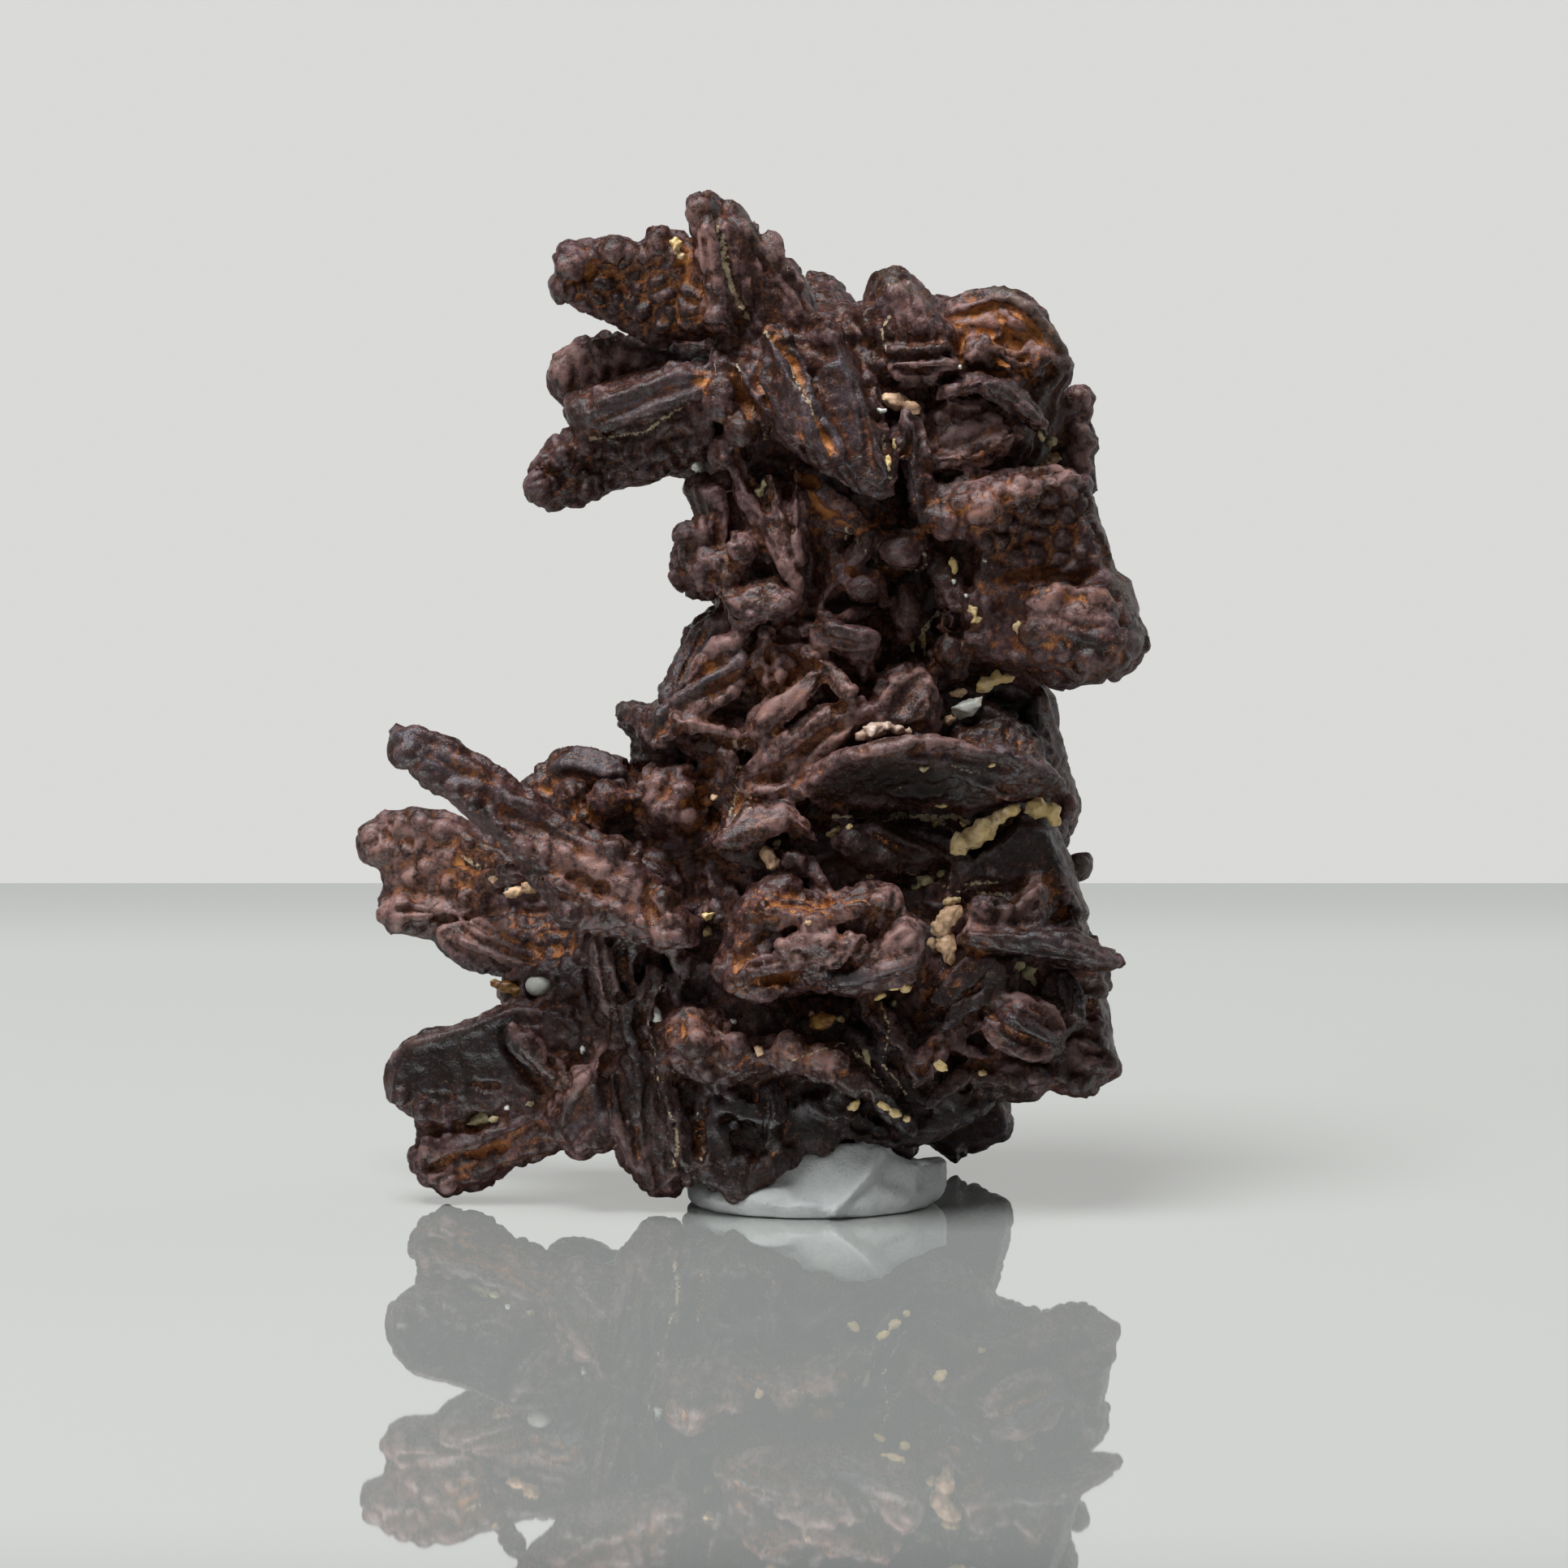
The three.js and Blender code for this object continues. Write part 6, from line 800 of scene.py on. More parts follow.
# How the skin is textured along a path: reach; heights of small knobs, large knobs, stripes
# and tilted shards; the way the stripes and shards run; path.
textures = [
    (2, 0, 0.04, 0.02, 0.04, (0.5, -0.9), [(1.6, 51.6), (3, 47.4)]),
    # smooth rims
    (1.3, 0, 0.06, 0, 0, (1, 0), [(-15.6, 56.8), (-12.4, 58.2), (-8.8, 58.8)]),
    (1.3, 0, 0.06, 0, 0, (1, 0), [(-16.4, 51), (-14.4, 52.4), (-11.4, 52.4)]),
    (1.2, 0, 0.08, 0, 0, (1, 0), [(-17.6, 43.8), (-14, 42.8), (-9.6, 44)]),
    (1.2, 0, 0.04, 0.05, 0, (0.6, -0.8), [(-4, 60.6), (-1.6, 57.4), (0.6, 54.8)]),
    (1.4, 0, 0.05, 0, 0, (1, 0), [(9.4, 55.4), (12.8, 55.4), (15.6, 52)]),
    (1.5, 0, 0.05, 0, 0, (0.2, 1), [(17.4, 43.6), (18.4, 40), (19.8, 36.8)]),
    (1.3, 0, 0.08, 0, 0, (1, 0), [(20.2, 34.4), (18.4, 32.4), (14.2, 32)]),
    (1.8, 0, 0.04, 0.03, 0.04, (0.1, 1), [(14.6, 31.2), (15.4, 27.6), (16.4, 24.4)]),
    (2, 0, 0.04, 0.03, 0.04, (0.1, 1), [(13, 22.6), (15.4, 21.6), (16.8, 18.6)]),
    (1.8, 0, 0.05, 0, 0, (1, 0), [(-28, 22), (-26, 23.8), (-22.4, 23.4)]),
    (1.8, 0, 0.05, 0, 0, (1, 0), [(-26.8, 17.4), (-24.8, 15.8), (-21.2, 14)]),
    (1.6, 0, 0.05, 0, 0, (1, 0), [(-26.6, 7.2), (-25.4, 9.8), (-20.6, 11.6)]),
    (1.8, 0, 0.05, 0.03, 0.05, (1, 0), [(9.6, 3.2), (13, 3.4)]),
    (1.6, 0, 0.07, 0, 0.03, (1, 0), [(13, 6.2), (18.2, 7.4), (18.4, 10.4)]),
    # upper fan
    (3, 0.42, 0, 0, 0, (1, 0), [(-13.6, 55.8), (-10.6, 55.2), (-8.6, 54.6)]),
    (2.6, 0.09, 0.17, 0, 0, (1, 0), [(-14.6, 51.2), (-12, 50.9)]),
    (1.6, 0.02, 0, 0.16, 0.04, (0.95, 0.33), [(-6.6, 50.6), (-13.6, 48)]),
    (2.6, 0.32, 0.05, 0, 0, (1, 0), [(-16.4, 43.9), (-12.6, 45), (-9, 46)]),
    (2.4, 0.04, 0.07, 0.12, 0.06, (-0.15, 1), [(-6.6, 60.2), (-6.2, 55.2)]),
    (3.2, 0, 0.04, 0.2, 0.05, (0.6, -0.8), [(-3.6, 58.4), (-0.8, 55)]),
    (2.6, 0, 0.03, 0.12, 0.1, (0.45, -0.9), [(-2.6, 50.6), (0.8, 46.6), (3.4, 44.6)]),
    (1.8, 0.09, 0.14, 0, 0, (1, 0), [(-5.6, 50.2), (-4.8, 46.4)]),
    # upper right
    (2.2, 0, 0.04, 0.18, 0.07, (0.25, -1), [(5.2, 55.6), (6, 52.8)]),
    (1.4, 0, 0, 0.08, 0, (1, 0.05), [(5.2, 51), (8.4, 51)]),
    (2.8, 0.14, 0.12, 0, 0, (1, 0), [(10, 53.4), (13, 53)]),
    (2.4, 0.01, 0.03, 0.16, 0.07, (0.85, 0.5), [(8, 46.8), (11, 47.6)]),
    (1.2, 0, 0.03, 0.12, 0.03, (0.8, 0.55), [(9, 44.6), (12, 46)]),
    (1.8, 0.09, 0.12, 0, 0.05, (0.1, 1), [(16.4, 49), (16.8, 44.6)]),
    # broad plate
    (3.4, 0.4, 0.05, 0, 0, (0.5, -0.8), [(13, 41.6), (15.4, 40.2), (16.2, 41.6)]),
    (2.4, 0.1, 0.19, 0, 0, (1, 0), [(9.6, 42), (12.4, 42.6)]),
    (2.8, 0, 0.08, 0, 0.05, (1, 0.2), [(14.2, 36), (17.6, 35.6)]),
    (2.4, 0.04, 0.14, 0, 0, (1, 0), [(12, 33.4), (18.6, 33.2)]),
    (2, 0.14, 0.14, 0, 0, (1, 0), [(9.4, 36.4), (10.2, 33.4)]),
    # waist and stem
    (1.8, 0, 0.04, 0.16, 0.15, (0.5, -0.85), [(-4.2, 42.6), (-1.2, 38.6)]),
    (1.6, 0, 0.03, 0.18, 0.05, (0.96, -0.15), [(0.8, 42), (4.6, 41.6)]),
    (1.6, 0.01, 0.04, 0, 0.1, (0.6, 0.6), [(2.4, 37.4), (5.6, 40.2)]),
    (1.8, 0.07, 0.14, 0, 0.07, (1, -0.3), [(-8.2, 40.2), (-4.4, 38.8)]),
    (2.4, 0, 0.04, 0.08, 0.17, (0.2, -1), [(4, 36.4), (7.2, 37.6)]),
    (2.2, 0, 0.04, 0.06, 0.17, (0.8, -0.4), [(-4.6, 37), (0.4, 36.6), (2.6, 35.2)]),
    (1.6, 0, 0.03, 0.14, 0.05, (0.45, 0.9), [(-6.8, 35.2), (-8.8, 31)]),
    (1.8, 0, 0.04, 0.1, 0.15, (0.85, 0.5), [(-7.2, 32.2), (-4.8, 33.8)]),
    (3, 0, 0.04, 0.1, 0.2, (0.75, 0.65), [(-2.2, 28.6), (1.2, 31)]),
    (2, 0, 0.04, 0.14, 0.1, (0.7, 0.6), [(4.2, 30.2), (6.6, 31)]),
    (2, 0, 0.04, 0.08, 0.12, (1, 0.3), [(-5, 22.8), (-1.4, 23.4)]),
    (2.2, 0.09, 0.16, 0, 0.05, (1, 0), [(-9.4, 25.2), (-8, 23.4)]),
    (2.4, 0, 0.04, 0.06, 0.23, (0.2, 1), [(-5.8, 27.6), (-3.6, 25.6)]),
    # big blade and the slope behind it
    (2.6, 0, 0.12, 0.05, 0.05, (1, 0.02), [(1.4, 25.2), (5, 25.6), (10, 26.2)]),
    (1.6, 0.06, 0.12, 0, 0.05, (1, 0), [(1.6, 27.4), (5, 27.8)]),
    (2, 0.04, 0.06, 0.1, 0.1, (0.15, 1), [(9.6, 28.4), (13.2, 28.2)]),
    # left fan
    (2.6, 0.05, 0.12, 0, 0.03, (0.9, -0.5), [(-24.6, 27.6), (-20.4, 24.8), (-15.6, 21.4)]),
    (2.8, 0.08, 0.14, 0, 0, (1, 0), [(-14.8, 20.6), (-9.6, 17.4)]),
    (1.6, 0.04, 0.07, 0.1, 0.15, (0.9, -0.35), [(-15.4, 26.8), (-12, 26.2)]),
    (4, 0.03, 0.12, 0, 0.03, (0.9, -0.3), [(-26.6, 21.6), (-22.2, 20.6)]),
    (1.6, 0, 0.04, 0.16, 0.05, (0.92, -0.35), [(-21.6, 15.8), (-17.4, 14.8)]),
    (2.2, 0.19, 0.06, 0, 0.05, (1, 0), [(-18.6, 16.8), (-15.4, 15.6)]),
    (3.6, 0, 0.08, 0.02, 0, (1, 0.1), [(-24, 7.4), (-18.6, 8.4)]),
    (2, 0.04, 0.1, 0.12, 0.06, (0.85, 0.45), [(-22.4, 1.4), (-17.4, 3.4)]),
    (2.2, 0, 0.04, 0.12, 0.2, (-0.2, 1), [(-12.6, 15), (-11.8, 11.6)]),
    (1.6, 0, 0.03, 0.1, 0.1, (0.4, 0.9), [(-15, 4.8), (-13.6, 6.4)]),
    # foot
    (2.6, 0, 0.03, 0.12, 0.1, (0, 1), [(-10.6, 6.4), (-9.2, 2.4)]),
    (2.2, 0, 0.02, 0.1, 0.06, (0.15, 1), [(-6.6, 4.4), (-5, 1.6)]),
    (2.6, 0, 0.02, 0.08, 0.08, (0.1, 1), [(-3, 5.6), (-1, 3.6)]),
    (2.6, 0, 0.02, 0.08, 0.1, (0.8, -0.6), [(0.6, 6.2), (4.4, 6.4), (8, 6.4)]),
    (2.4, 0, 0.04, 0.08, 0.3, (0.5, 0.8), [(2, 11.2), (4.8, 9)]),
    (2.2, 0, 0.04, 0.08, 0.25, (-0.4, 0.9), [(-8.6, 14.2), (-6.8, 13)]),
    (2.2, 0.04, 0.16, 0.04, 0.05, (0.9, 0.35), [(-4.4, 18), (3.2, 18.2)]),
    (2.2, 0.02, 0.09, 0.06, 0.08, (0.85, 0.5), [(3.6, 14.8), (6, 15.8)]),
    (2.2, 0.07, 0.16, 0, 0.05, (1, 0.1), [(-7.6, 10), (1.4, 8.6)]),
    (2.4, 0, 0.04, 0.06, 0.25, (0.8, 0.3), [(-4.6, 21.2), (0.6, 20.6)]),
    # lower right
    (2.6, 0, 0.04, 0.16, 0.17, (0.62, 0.78), [(7.2, 12.6), (10, 13.8)]),
    (1.8, 0, 0.04, 0.14, 0.1, (0.8, -0.5), [(11.6, 10.6), (15, 9.8)]),
    (1.6, 0, 0.03, 0.18, 0.05, (0.15, -1), [(14.8, 12.8), (16.2, 12.4)]),
    (1.8, 0, 0.03, 0.12, 0.07, (0.95, -0.25), [(10, 16), (18, 14.8)]),
    (2.2, 0.12, 0.1, 0, 0.1, (0.3, 1), [(15, 19.4), (16.2, 18)]),
    (2.6, 0.02, 0.06, 0.06, 0.15, (0.9, -0.4), [(10.6, 21.4), (14.4, 21.2)]),
    (2.6, 0, 0.04, 0.08, 0.2, (0.85, -0.45), [(2.4, 22.2), (6.6, 21.8)]),
    (2.4, 0.04, 0.13, 0, 0.05, (1, 0), [(12.4, 7), (18, 8)]),
    (2.4, 0, 0.02, 0.14, 0.07, (1, 0), [(6.6, 3.8), (12.2, 3.8)]),
    (1.8, 0.03, 0.07, 0.08, 0.12, (0.1, 1), [(15, 30), (15.8, 25)]),
    (2, 0, 0.03, 0.1, 0.2, (0.6, 0.7), [(8.6, 8.2), (11, 8.6)]),
]


def field(function, places):
    """A noise function's value at each place."""
    return np.array([function(place) for place in places.tolist()])


heights = np.zeros(count)
for height, width, places in ridges:
    path = path_over(places)
    if len(path) == 0:
        continue
    which, far, nearest = close_to(path, width)
    heights[which] += height * (1 - (far / width) ** 2) ** 2 * tapered(nearest, len(path))

edge_drop = 0.25
for height, width, places in edges:
    path = path_over(places)
    if len(path) < 2:
        continue
    which, far, nearest = close_to(path, width)
    left = np.cross(np.array(to_viewer), np.gradient(path, axis=0))
    left /= np.linalg.norm(left, axis=1)[:, None]
    aside = ((points[which] - path[nearest]) * left[nearest]).sum(1)
    rise = np.where(aside > 0, 1 - far / width, np.clip(1 - far / edge_drop, 0, 1))
    heights[which] += height * rise * tapered(nearest, len(path))

moved = points + outwards * heights[:, None]
moved = eased(moved, 1)

small_cell, large_cell, shard_cell = 1.2, 2.2, 1.5


def knobbly(places, size, offset):
    """Domes that fill the surface, with creases where they meet, from -0.5 to 0.5."""
    found = field(lambda at: noise.voronoi(at)[0][:2], places / size + offset)
    crease = np.clip((found[:, 1] - found[:, 0]) / 0.35, 0, 1)
    return 0.35 * (1 - (found[:, 0] / 0.8) ** 2) + 0.65 * crease - 0.6


def squeezed(places, grain, stretch):
    """Places drawn together along the grain, so that a pattern made there is stretched out."""
    along = (places * grain).sum(1)[:, None] * grain
    return places - along * (1 - 1 / stretch)


def streaks(places, grain, pitch, stretch, offset):
    """Ribs that run along the grain, from -0.5 to 0.5."""
    drawn = squeezed(places, grain, stretch) / pitch + offset
    return np.abs(field(noise.noise, drawn)) * 2.2 - 0.6


def shards(places, grain, size, stretch, offset):
    """Long facets, each tilted its own way, with sharp steps between them."""
    drawn = squeezed(places, grain, stretch) / size + offset

    def nearest_middle(at):
        return noise.voronoi(at)[1][0]

    middle = field(nearest_middle, drawn)
    tilt = np.sin(middle[:, [1, 2, 0]] * 12.9 + middle * 7.3)
    return np.clip(((drawn - middle) * tilt).sum(1) + 0.4 * np.sin(middle.sum(1) * 41), -1, 1)


def skin(places, grain, small, large, stripes, shard, offset=0.0):
    """The height of the skin at places, from the height of each kind of relief."""
    height = np.zeros(len(places))
    if small:
        height += small * 1.5 * knobbly(places, small_cell, 3.1 + offset)
    if large:
        height += large * 1.3 * knobbly(places, large_cell, 11.7 + offset)
    if stripes:
        height += stripes * streaks(places, grain, 0.62, 9, 5.2 + offset)
        height += stripes * 0.6 * streaks(places, grain, 1.3, 8, 17.3 + offset)
    if shard:
        height += shard * 0.8 * shards(places, grain, shard_cell, 3.2, 23.9 + offset)
    return height


# The vector noise takes its offsets from this seed, so that the skin is the same each time.
noise.seed_set(11)
warp_size, warp_depth = 1.6, 0.25
warped = moved + field(noise.noise_vector, moved / warp_size) * warp_depth

# On the sides and the back, where no path is drawn, three kinds of skin alternate, and their
# stripes run out from the core.
usual, patch_size, patch_low, patch_high = 0.15, 7, -0.08, 0.12
patch = field(noise.noise, points / patch_size)
core, upward_share = np.array([3.0, 0.0, 28.0]), 0.6
spread = (moved - core) * (1, 1, upward_share)
outward_grain = spread / np.linalg.norm(spread, axis=1)[:, None]
kinds = (
    (patch < patch_low, (0.16, 0.08, 0.0, 0.06)),
    ((patch >= patch_low) & (patch < patch_high), (0.04, 0.14, 0.05, 0.12)),
    (patch >= patch_high, (0.0, 0.05, 0.12, 0.35)),
)
usual_skin = np.zeros(count)
for held, amounts in kinds:
    which = np.flatnonzero(held)
    usual_skin[which] = skin(warped[which], outward_grain[which], *amounts)
relief = usual * usual_skin
weight = np.full(count, usual)
texture_step, pattern_step = 0.6, 2.7
for index, (reach, *amounts, way, places) in enumerate(textures):
    path = path_over(places, texture_step)
    if len(path) == 0:
        continue
    which, far, _ = close_to(path, reach)
    share = (1 - (far / reach) ** 2) ** 2
    along = np.array((way[0] * rightwards + way[1] * upwards).normalized())
    relief[which] += share * skin(warped[which] - path[0], along, *amounts, index * pattern_step)
    weight[which] += share
relief /= weight
wide_swell, wide_size, small_swell, small_size = 0.08, 2.2, 0.05, 0.9
swell = wide_swell * field(noise.noise, moved / wide_size)
relief += swell + small_swell * field(noise.noise, moved / small_size)
moved += facing(moved) * relief[:, None]

# Crests are raised and hollows sunk a little further, which makes the edges crisp.
crispness, most_raised, most_sunk, bulge_reach = 1.4, 0.05, 0.4, 10
outwards = facing(moved)
bulge = ((moved - eased(moved, bulge_reach)) * outwards).sum(1)
moved += outwards * np.clip(crispness * bulge, -most_sunk, most_raised)[:, None]
moved = eased(moved, 1)
outwards = facing(moved)

# The finest relief: thin wrinkles that stand up, and grit over them. Nothing goes below the
# lowest height.
wrinkle_depth, wrinkle_size, wrinkle_top, wrinkle_slope = 0.11, 1.1, 0.3, 1.2
grit_depth, grit_size, lowest = 0.04, 0.5, 0.2
wrinkled = wrinkle_top - np.abs(field(noise.noise, moved / wrinkle_size)) * wrinkle_slope
finest = wrinkle_depth * wrinkled + grit_depth * field(noise.noise, moved / grit_size)
moved += outwards * finest[:, None]
moved[:, 2] = np.maximum(moved[:, 2], lowest)
outwards = facing(moved)

# What the colours follow: how far each point lies in a hollow or on a crest, near and far.
fine_hollow, dip_hollow, broad_hollow = (
    ((eased(moved, times) - moved) * outwards).sum(1) for times in (6, 22, 60)
)

# Colour of the skin along a path, by kind: amount, reach, path.
stains = {
    "rust": [
        (0.8, 0.6, [(13.7, 34.4), (14.8, 34)]),
        (0.22, 5, [(-4, 36), (-1.4, 30.4), (0.6, 25.6)]),
        (0.3, 3.4, [(-8.6, 26.4), (-4.4, 22.4)]), (0.9, 1.6, [(-21.8, 20.6), (-20.2, 19.8)]),
        (1, 0.7, [(-8.2, 58.6), (-8, 56.4)]), (0.6, 3, [(-13.4, 55.8), (-8.4, 54.6)]),
        (0.45, 0.35, [(-3.4, 51.6), (-3.3, 50), (-2.6, 48.4)]),
        (0.8, 0.45, [(-2.3, 53), (-1, 51.4), (-0.1, 49.4), (0.6, 47.6), (1.4, 45.8)]),
        (0.45, 0.35, [(-1.1, 47.3), (0, 45.6), (0.9, 44.8)]),
        (0.4, 0.35, [(-4.8, 50.5), (-4.2, 49), (-3.7, 47.8)]),
        (1, 0.7, [(-6.9, 50.4), (-6.3, 50)]), (0.9, 0.7, [(-2.9, 53.4), (-2.2, 53)]),
        (1, 0.9, [(-0.1, 44.2), (0.4, 42.8), (0.9, 42)]),
        (0.6, 1.8, [(0.8, 42.2), (4.8, 41.8)]), (0.9, 2.8, [(10.4, 53.4), (13.4, 52.6)]),
        (1, 0.7, [(11.6, 51.2), (12.6, 50.5), (13.6, 50.8)]),
        (0.5, 2.6, [(8.6, 41.2), (12.4, 42.6)]), (0.35, 3.4, [(13.4, 40.4), (16.4, 40.2)]),
        (0.8, 0.7, [(10.6, 37.7), (13, 37.4), (16.2, 37.1), (18.2, 37.1)]),
        (1, 0.9, [(18.6, 33.6), (19, 33)]), (0.8, 0.7, [(15, 34.6), (15.6, 34.2)]),
        (0.3, 2.4, [(12.4, 33.4), (18.4, 32.8)]),
        (0.37, 0.5, [(4.2, 38.5), (5.4, 38.3), (6.6, 39), (6.9, 40.6)]),
        (0.31, 0.5, [(2, 38.6), (4, 38.5)]), (0.8, 0.6, [(-7.2, 33), (-6.4, 32.6)]),
        (0.31, 0.5, [(6.8, 26.8), (7, 26.4)]), (1, 0.8, [(-17, 25.2), (-16.2, 25.3)]),
        (0.7, 1.6, [(-15, 23.8), (-11.6, 23.8)]), (0.9, 1.5, [(-22, 20.2), (-20.2, 20.8)]),
        (0.22, 3.6, [(-25.6, 21.2), (-22.4, 21.6)]), (0.6, 2.2, [(-18.6, 16.6), (-15.6, 15.4)]),
        (0.7, 0.6, [(-22.4, 27.4), (-20.6, 26.2), (-19.4, 25.6)]),
        (0.15, 2.6, [(-14.6, 20.4), (-9.8, 17.6)]), (0.5, 1.6, [(-7.4, 24.6), (-6.2, 23)]),
        (0.12, 2.4, [(-23.4, 6.2), (-18.8, 7)]), (0.5, 1.6, [(-21.6, 1.6), (-17.6, 3)]),
        (0.7, 1.8, [(-3.6, 18.2), (2.6, 17.8)]), (0.7, 0.9, [(-4.8, 14.4), (-4.2, 15.6)]),
        (0.6, 1, [(-5, 12.7), (-1.6, 13.6)]), (0.8, 1.1, [(-8.8, 9.8), (-7.4, 10.6)]),
        (0.4, 2, [(-4.4, 9), (1.6, 8.2)]), (0.6, 0.25, [(-10.8, 4.4), (-10.6, 2.2)]),
        (0.6, 0.22, [(-8.6, 4.8), (-8.4, 3.2), (-8.5, 1.6)]),
        (0.5, 0.2, [(-6.7, 5.4), (-7, 1.6)]), (0.8, 0.25, [(-3.5, 7), (-3.2, 4.4)]),
        (0.8, 0.3, [(-1.7, 6.8), (-1.4, 4.2), (-2.6, 1.8)]),
        (0.5, 2.2, [(7.4, 12.6), (9.8, 14.6)]), (0.56, 0.5, [(6.2, 7.8), (7.6, 9.8)]),
        (0.3, 0.4, [(10.7, 11.6), (11.8, 10.2), (13.6, 9.3), (15, 9)]),
        (0.5, 2, [(14.6, 18.8), (16.2, 17.8)]), (0.37, 0.4, [(3.4, 22.5), (5.6, 21.4)]),
        (0.5, 1.6, [(9.4, 28.2), (13.4, 28)]),
    ],
    "slate": [
        (0.8, 0.9, [(7.4, 16.4), (6.6, 14.4), (4, 13.3), (0.8, 13.2)]),
        (0.7, 0.7, [(-6.6, 31.4), (-3, 35)]),
        (0.8, 0.6, [(-10.8, 30.6), (-8.6, 32.8), (-6.6, 34.2)]),
        (0.9, 1, [(-25.8, 28.6), (-22, 26.2)]), (0.7, 1.2, [(6.6, 5.6), (11.4, 4.2)]),
        (0.54, 2.6, [(-2.6, 51), (0, 48.4), (2.2, 46)]),
        (0.54, 1.2, [(1.6, 51.4), (2.8, 48), (4.4, 43.8)]),
        (0.48, 1.6, [(0.6, 44), (4.4, 43)]), (0.42, 1.4, [(-6.6, 50.4), (-13.8, 47.8)]),
        (0.42, 2.4, [(8, 47.2), (11.6, 48.4)]), (0.36, 1.4, [(11.4, 50), (14, 47.6)]),
        (0.48, 1, [(6.2, 47.6), (6.2, 44), (6.8, 40.8)]),
        (0.54, 1.8, [(-6.6, 35.2), (-8.6, 31.4)]), (0.42, 1.3, [(-11.6, 29.6), (-11, 27.2)]),
        (0.42, 0.6, [(-9.8, 28.6), (-8.8, 30), (-6.6, 31.5), (-4, 33.1)]),
        (0.42, 0.8, [(-4.6, 35.5), (-1.6, 35.7)]), (0.48, 1.8, [(-15.2, 26.8), (-12.2, 25.8)]),
        (0.24, 2.6, [(-25, 27.6), (-20, 24)]), (0.24, 3.2, [(-24.2, 7.8), (-19.4, 8.6)]),
        (0.54, 1.8, [(-15.2, 4.8), (-13.4, 5.6)]), (0.36, 1.4, [(-10.8, 8), (-10.8, 5)]),
        (0.36, 1.2, [(-11.2, 12.2), (-11.2, 10)]),
        (0.42, 2.4, [(-6, 4.8), (-2.6, 5.4), (-1.8, 3.6)]),
        (0.48, 0.9, [(12.6, 10.8), (14.8, 10)]), (0.42, 1.4, [(12, 15.6), (18.2, 14.8)]),
        (0.36, 1.2, [(15, 13), (16.4, 12.2)]),
        (0.36, 2.8, [(6, 27.2), (10, 27), (14.8, 26)]),
        (0.3, 2.8, [(10, 22.2), (14.6, 21.6)]), (0.54, 3, [(6.4, 3.8), (12.4, 3.8)]),
        (0.3, 1.6, [(8, 10.8), (10.4, 12)]), (0.36, 0.9, [(6.4, 18.2), (8, 17.8)]),
        (0.3, 1, [(16.8, 34.4), (16, 33.8)]), (0.3, 1.8, [(2, 11.4), (4.4, 9)]),
    ],
    # Grey-green along the outer rims and top edges: painted rim light, the pale backdrop's light on
    # the edges.
    "moss": [
        (0.8, 0.9, [(17.6, 43), (18.4, 40), (19.2, 37.8), (20.4, 34.4)]),
        (0.7, 1.2, [(14.9, 31), (15.6, 27.6), (16.6, 24.6)]),
        (0.7, 0.8, [(15, 22.8), (16.6, 19.4), (17.3, 16.6)]),
        (0.7, 0.9, [(11.6, 55.8), (13.8, 54.6), (15.4, 52.2)]),
        (0.6, 0.9, [(4.6, 57), (6.6, 55.8)]), (0.5, 0.8, [(-4.2, 60.6), (-2.6, 58.2)]),
        (0.5, 1, [(-11.8, 30.2), (-9.6, 30.4)]), (0.5, 1, [(16.6, 20.6), (17.4, 19.6)]),
    ],
    # Lighter pinkish patches: partly the stone's own pinkish tint, partly painted light that lifts
    # shaded faces such as the lens under its lobe.
    "blush": [
        (0.42, 6.5, [(-4, 40), (-3, 32), (0, 26)]),
        (0.4, 3.5, [(5, 31), (3, 28)]),
        (0.9, 2.6, [(7.8, 47.4), (10.6, 47.8), (12.8, 46.6), (9.6, 45.6)]),
        (0.45, 2.4, [(9.4, 54.2), (12.4, 53.6), (14.4, 51.8)]),
        (0.8, 3, [(9.6, 53.4), (13, 53)]),
        (0.9, 4, [(-26.4, 21.6), (-23, 20.4), (-24.8, 18)]),
        (0.8, 1.6, [(-22.6, 17.6), (-19.4, 16)]), (0.9, 2.6, [(-3.6, 30.6), (1.6, 31.2)]),
        (0.8, 2, [(-7.4, 29.4), (-4.8, 30.2)]),
        (0.8, 1.6, [(-4.8, 34.6), (-2.6, 34.2), (0.4, 33.6)]),
        (0.8, 1.6, [(-3.6, 25.2), (-0.8, 26.6), (2.2, 28.8)]),
        (0.8, 1.6, [(-16.8, 21.8), (-12.8, 20), (-9.8, 17.4)]),
        (0.8, 1.6, [(-7.2, 60.6), (-6.6, 56), (-6.6, 54.6)]),
        (0.6, 3, [(-4.4, 58.6), (-1.6, 55.6)]), (0.8, 2.4, [(-15.6, 51.4), (-12.4, 51.2)]),
        (0.7, 1, [(-15, 57.4), (-9, 58.5)]), (0.7, 1.2, [(4.8, 50.9), (8.4, 51)]),
        (0.6, 1.4, [(5.6, 56.2), (7, 53.4)]),
        (0.8, 1.4, [(9.6, 42.4), (12.8, 43.4), (15.6, 44.4)]),
        (0.9, 1.6, [(14, 36), (17.8, 36.4)]), (0.7, 1.6, [(16.8, 49.2), (17, 45)]),
        (0.8, 1, [(8.4, 44.6), (11.4, 45.2), (12.2, 46.4)]),
        (0.55, 2.2, [(-4.6, 42), (-1.4, 38.6)]), (0.5, 1.6, [(-4.6, 36.8), (-1.8, 36.8)]),
        (0.6, 3.4, [(-4, 27.4), (0.4, 31)]), (0.5, 2.2, [(-7.4, 32.4), (-5, 33.8)]),
        (0.6, 2.4, [(-5, 23), (-0.8, 23.4)]), (0.5, 2.4, [(-9.6, 25.4), (-7.6, 23.8)]),
        (0.8, 1.4, [(5, 32.2), (7.2, 32.2), (7.6, 29.4)]),
        (0.8, 1.4, [(1.4, 27.6), (5.8, 28.2), (10, 28)]),
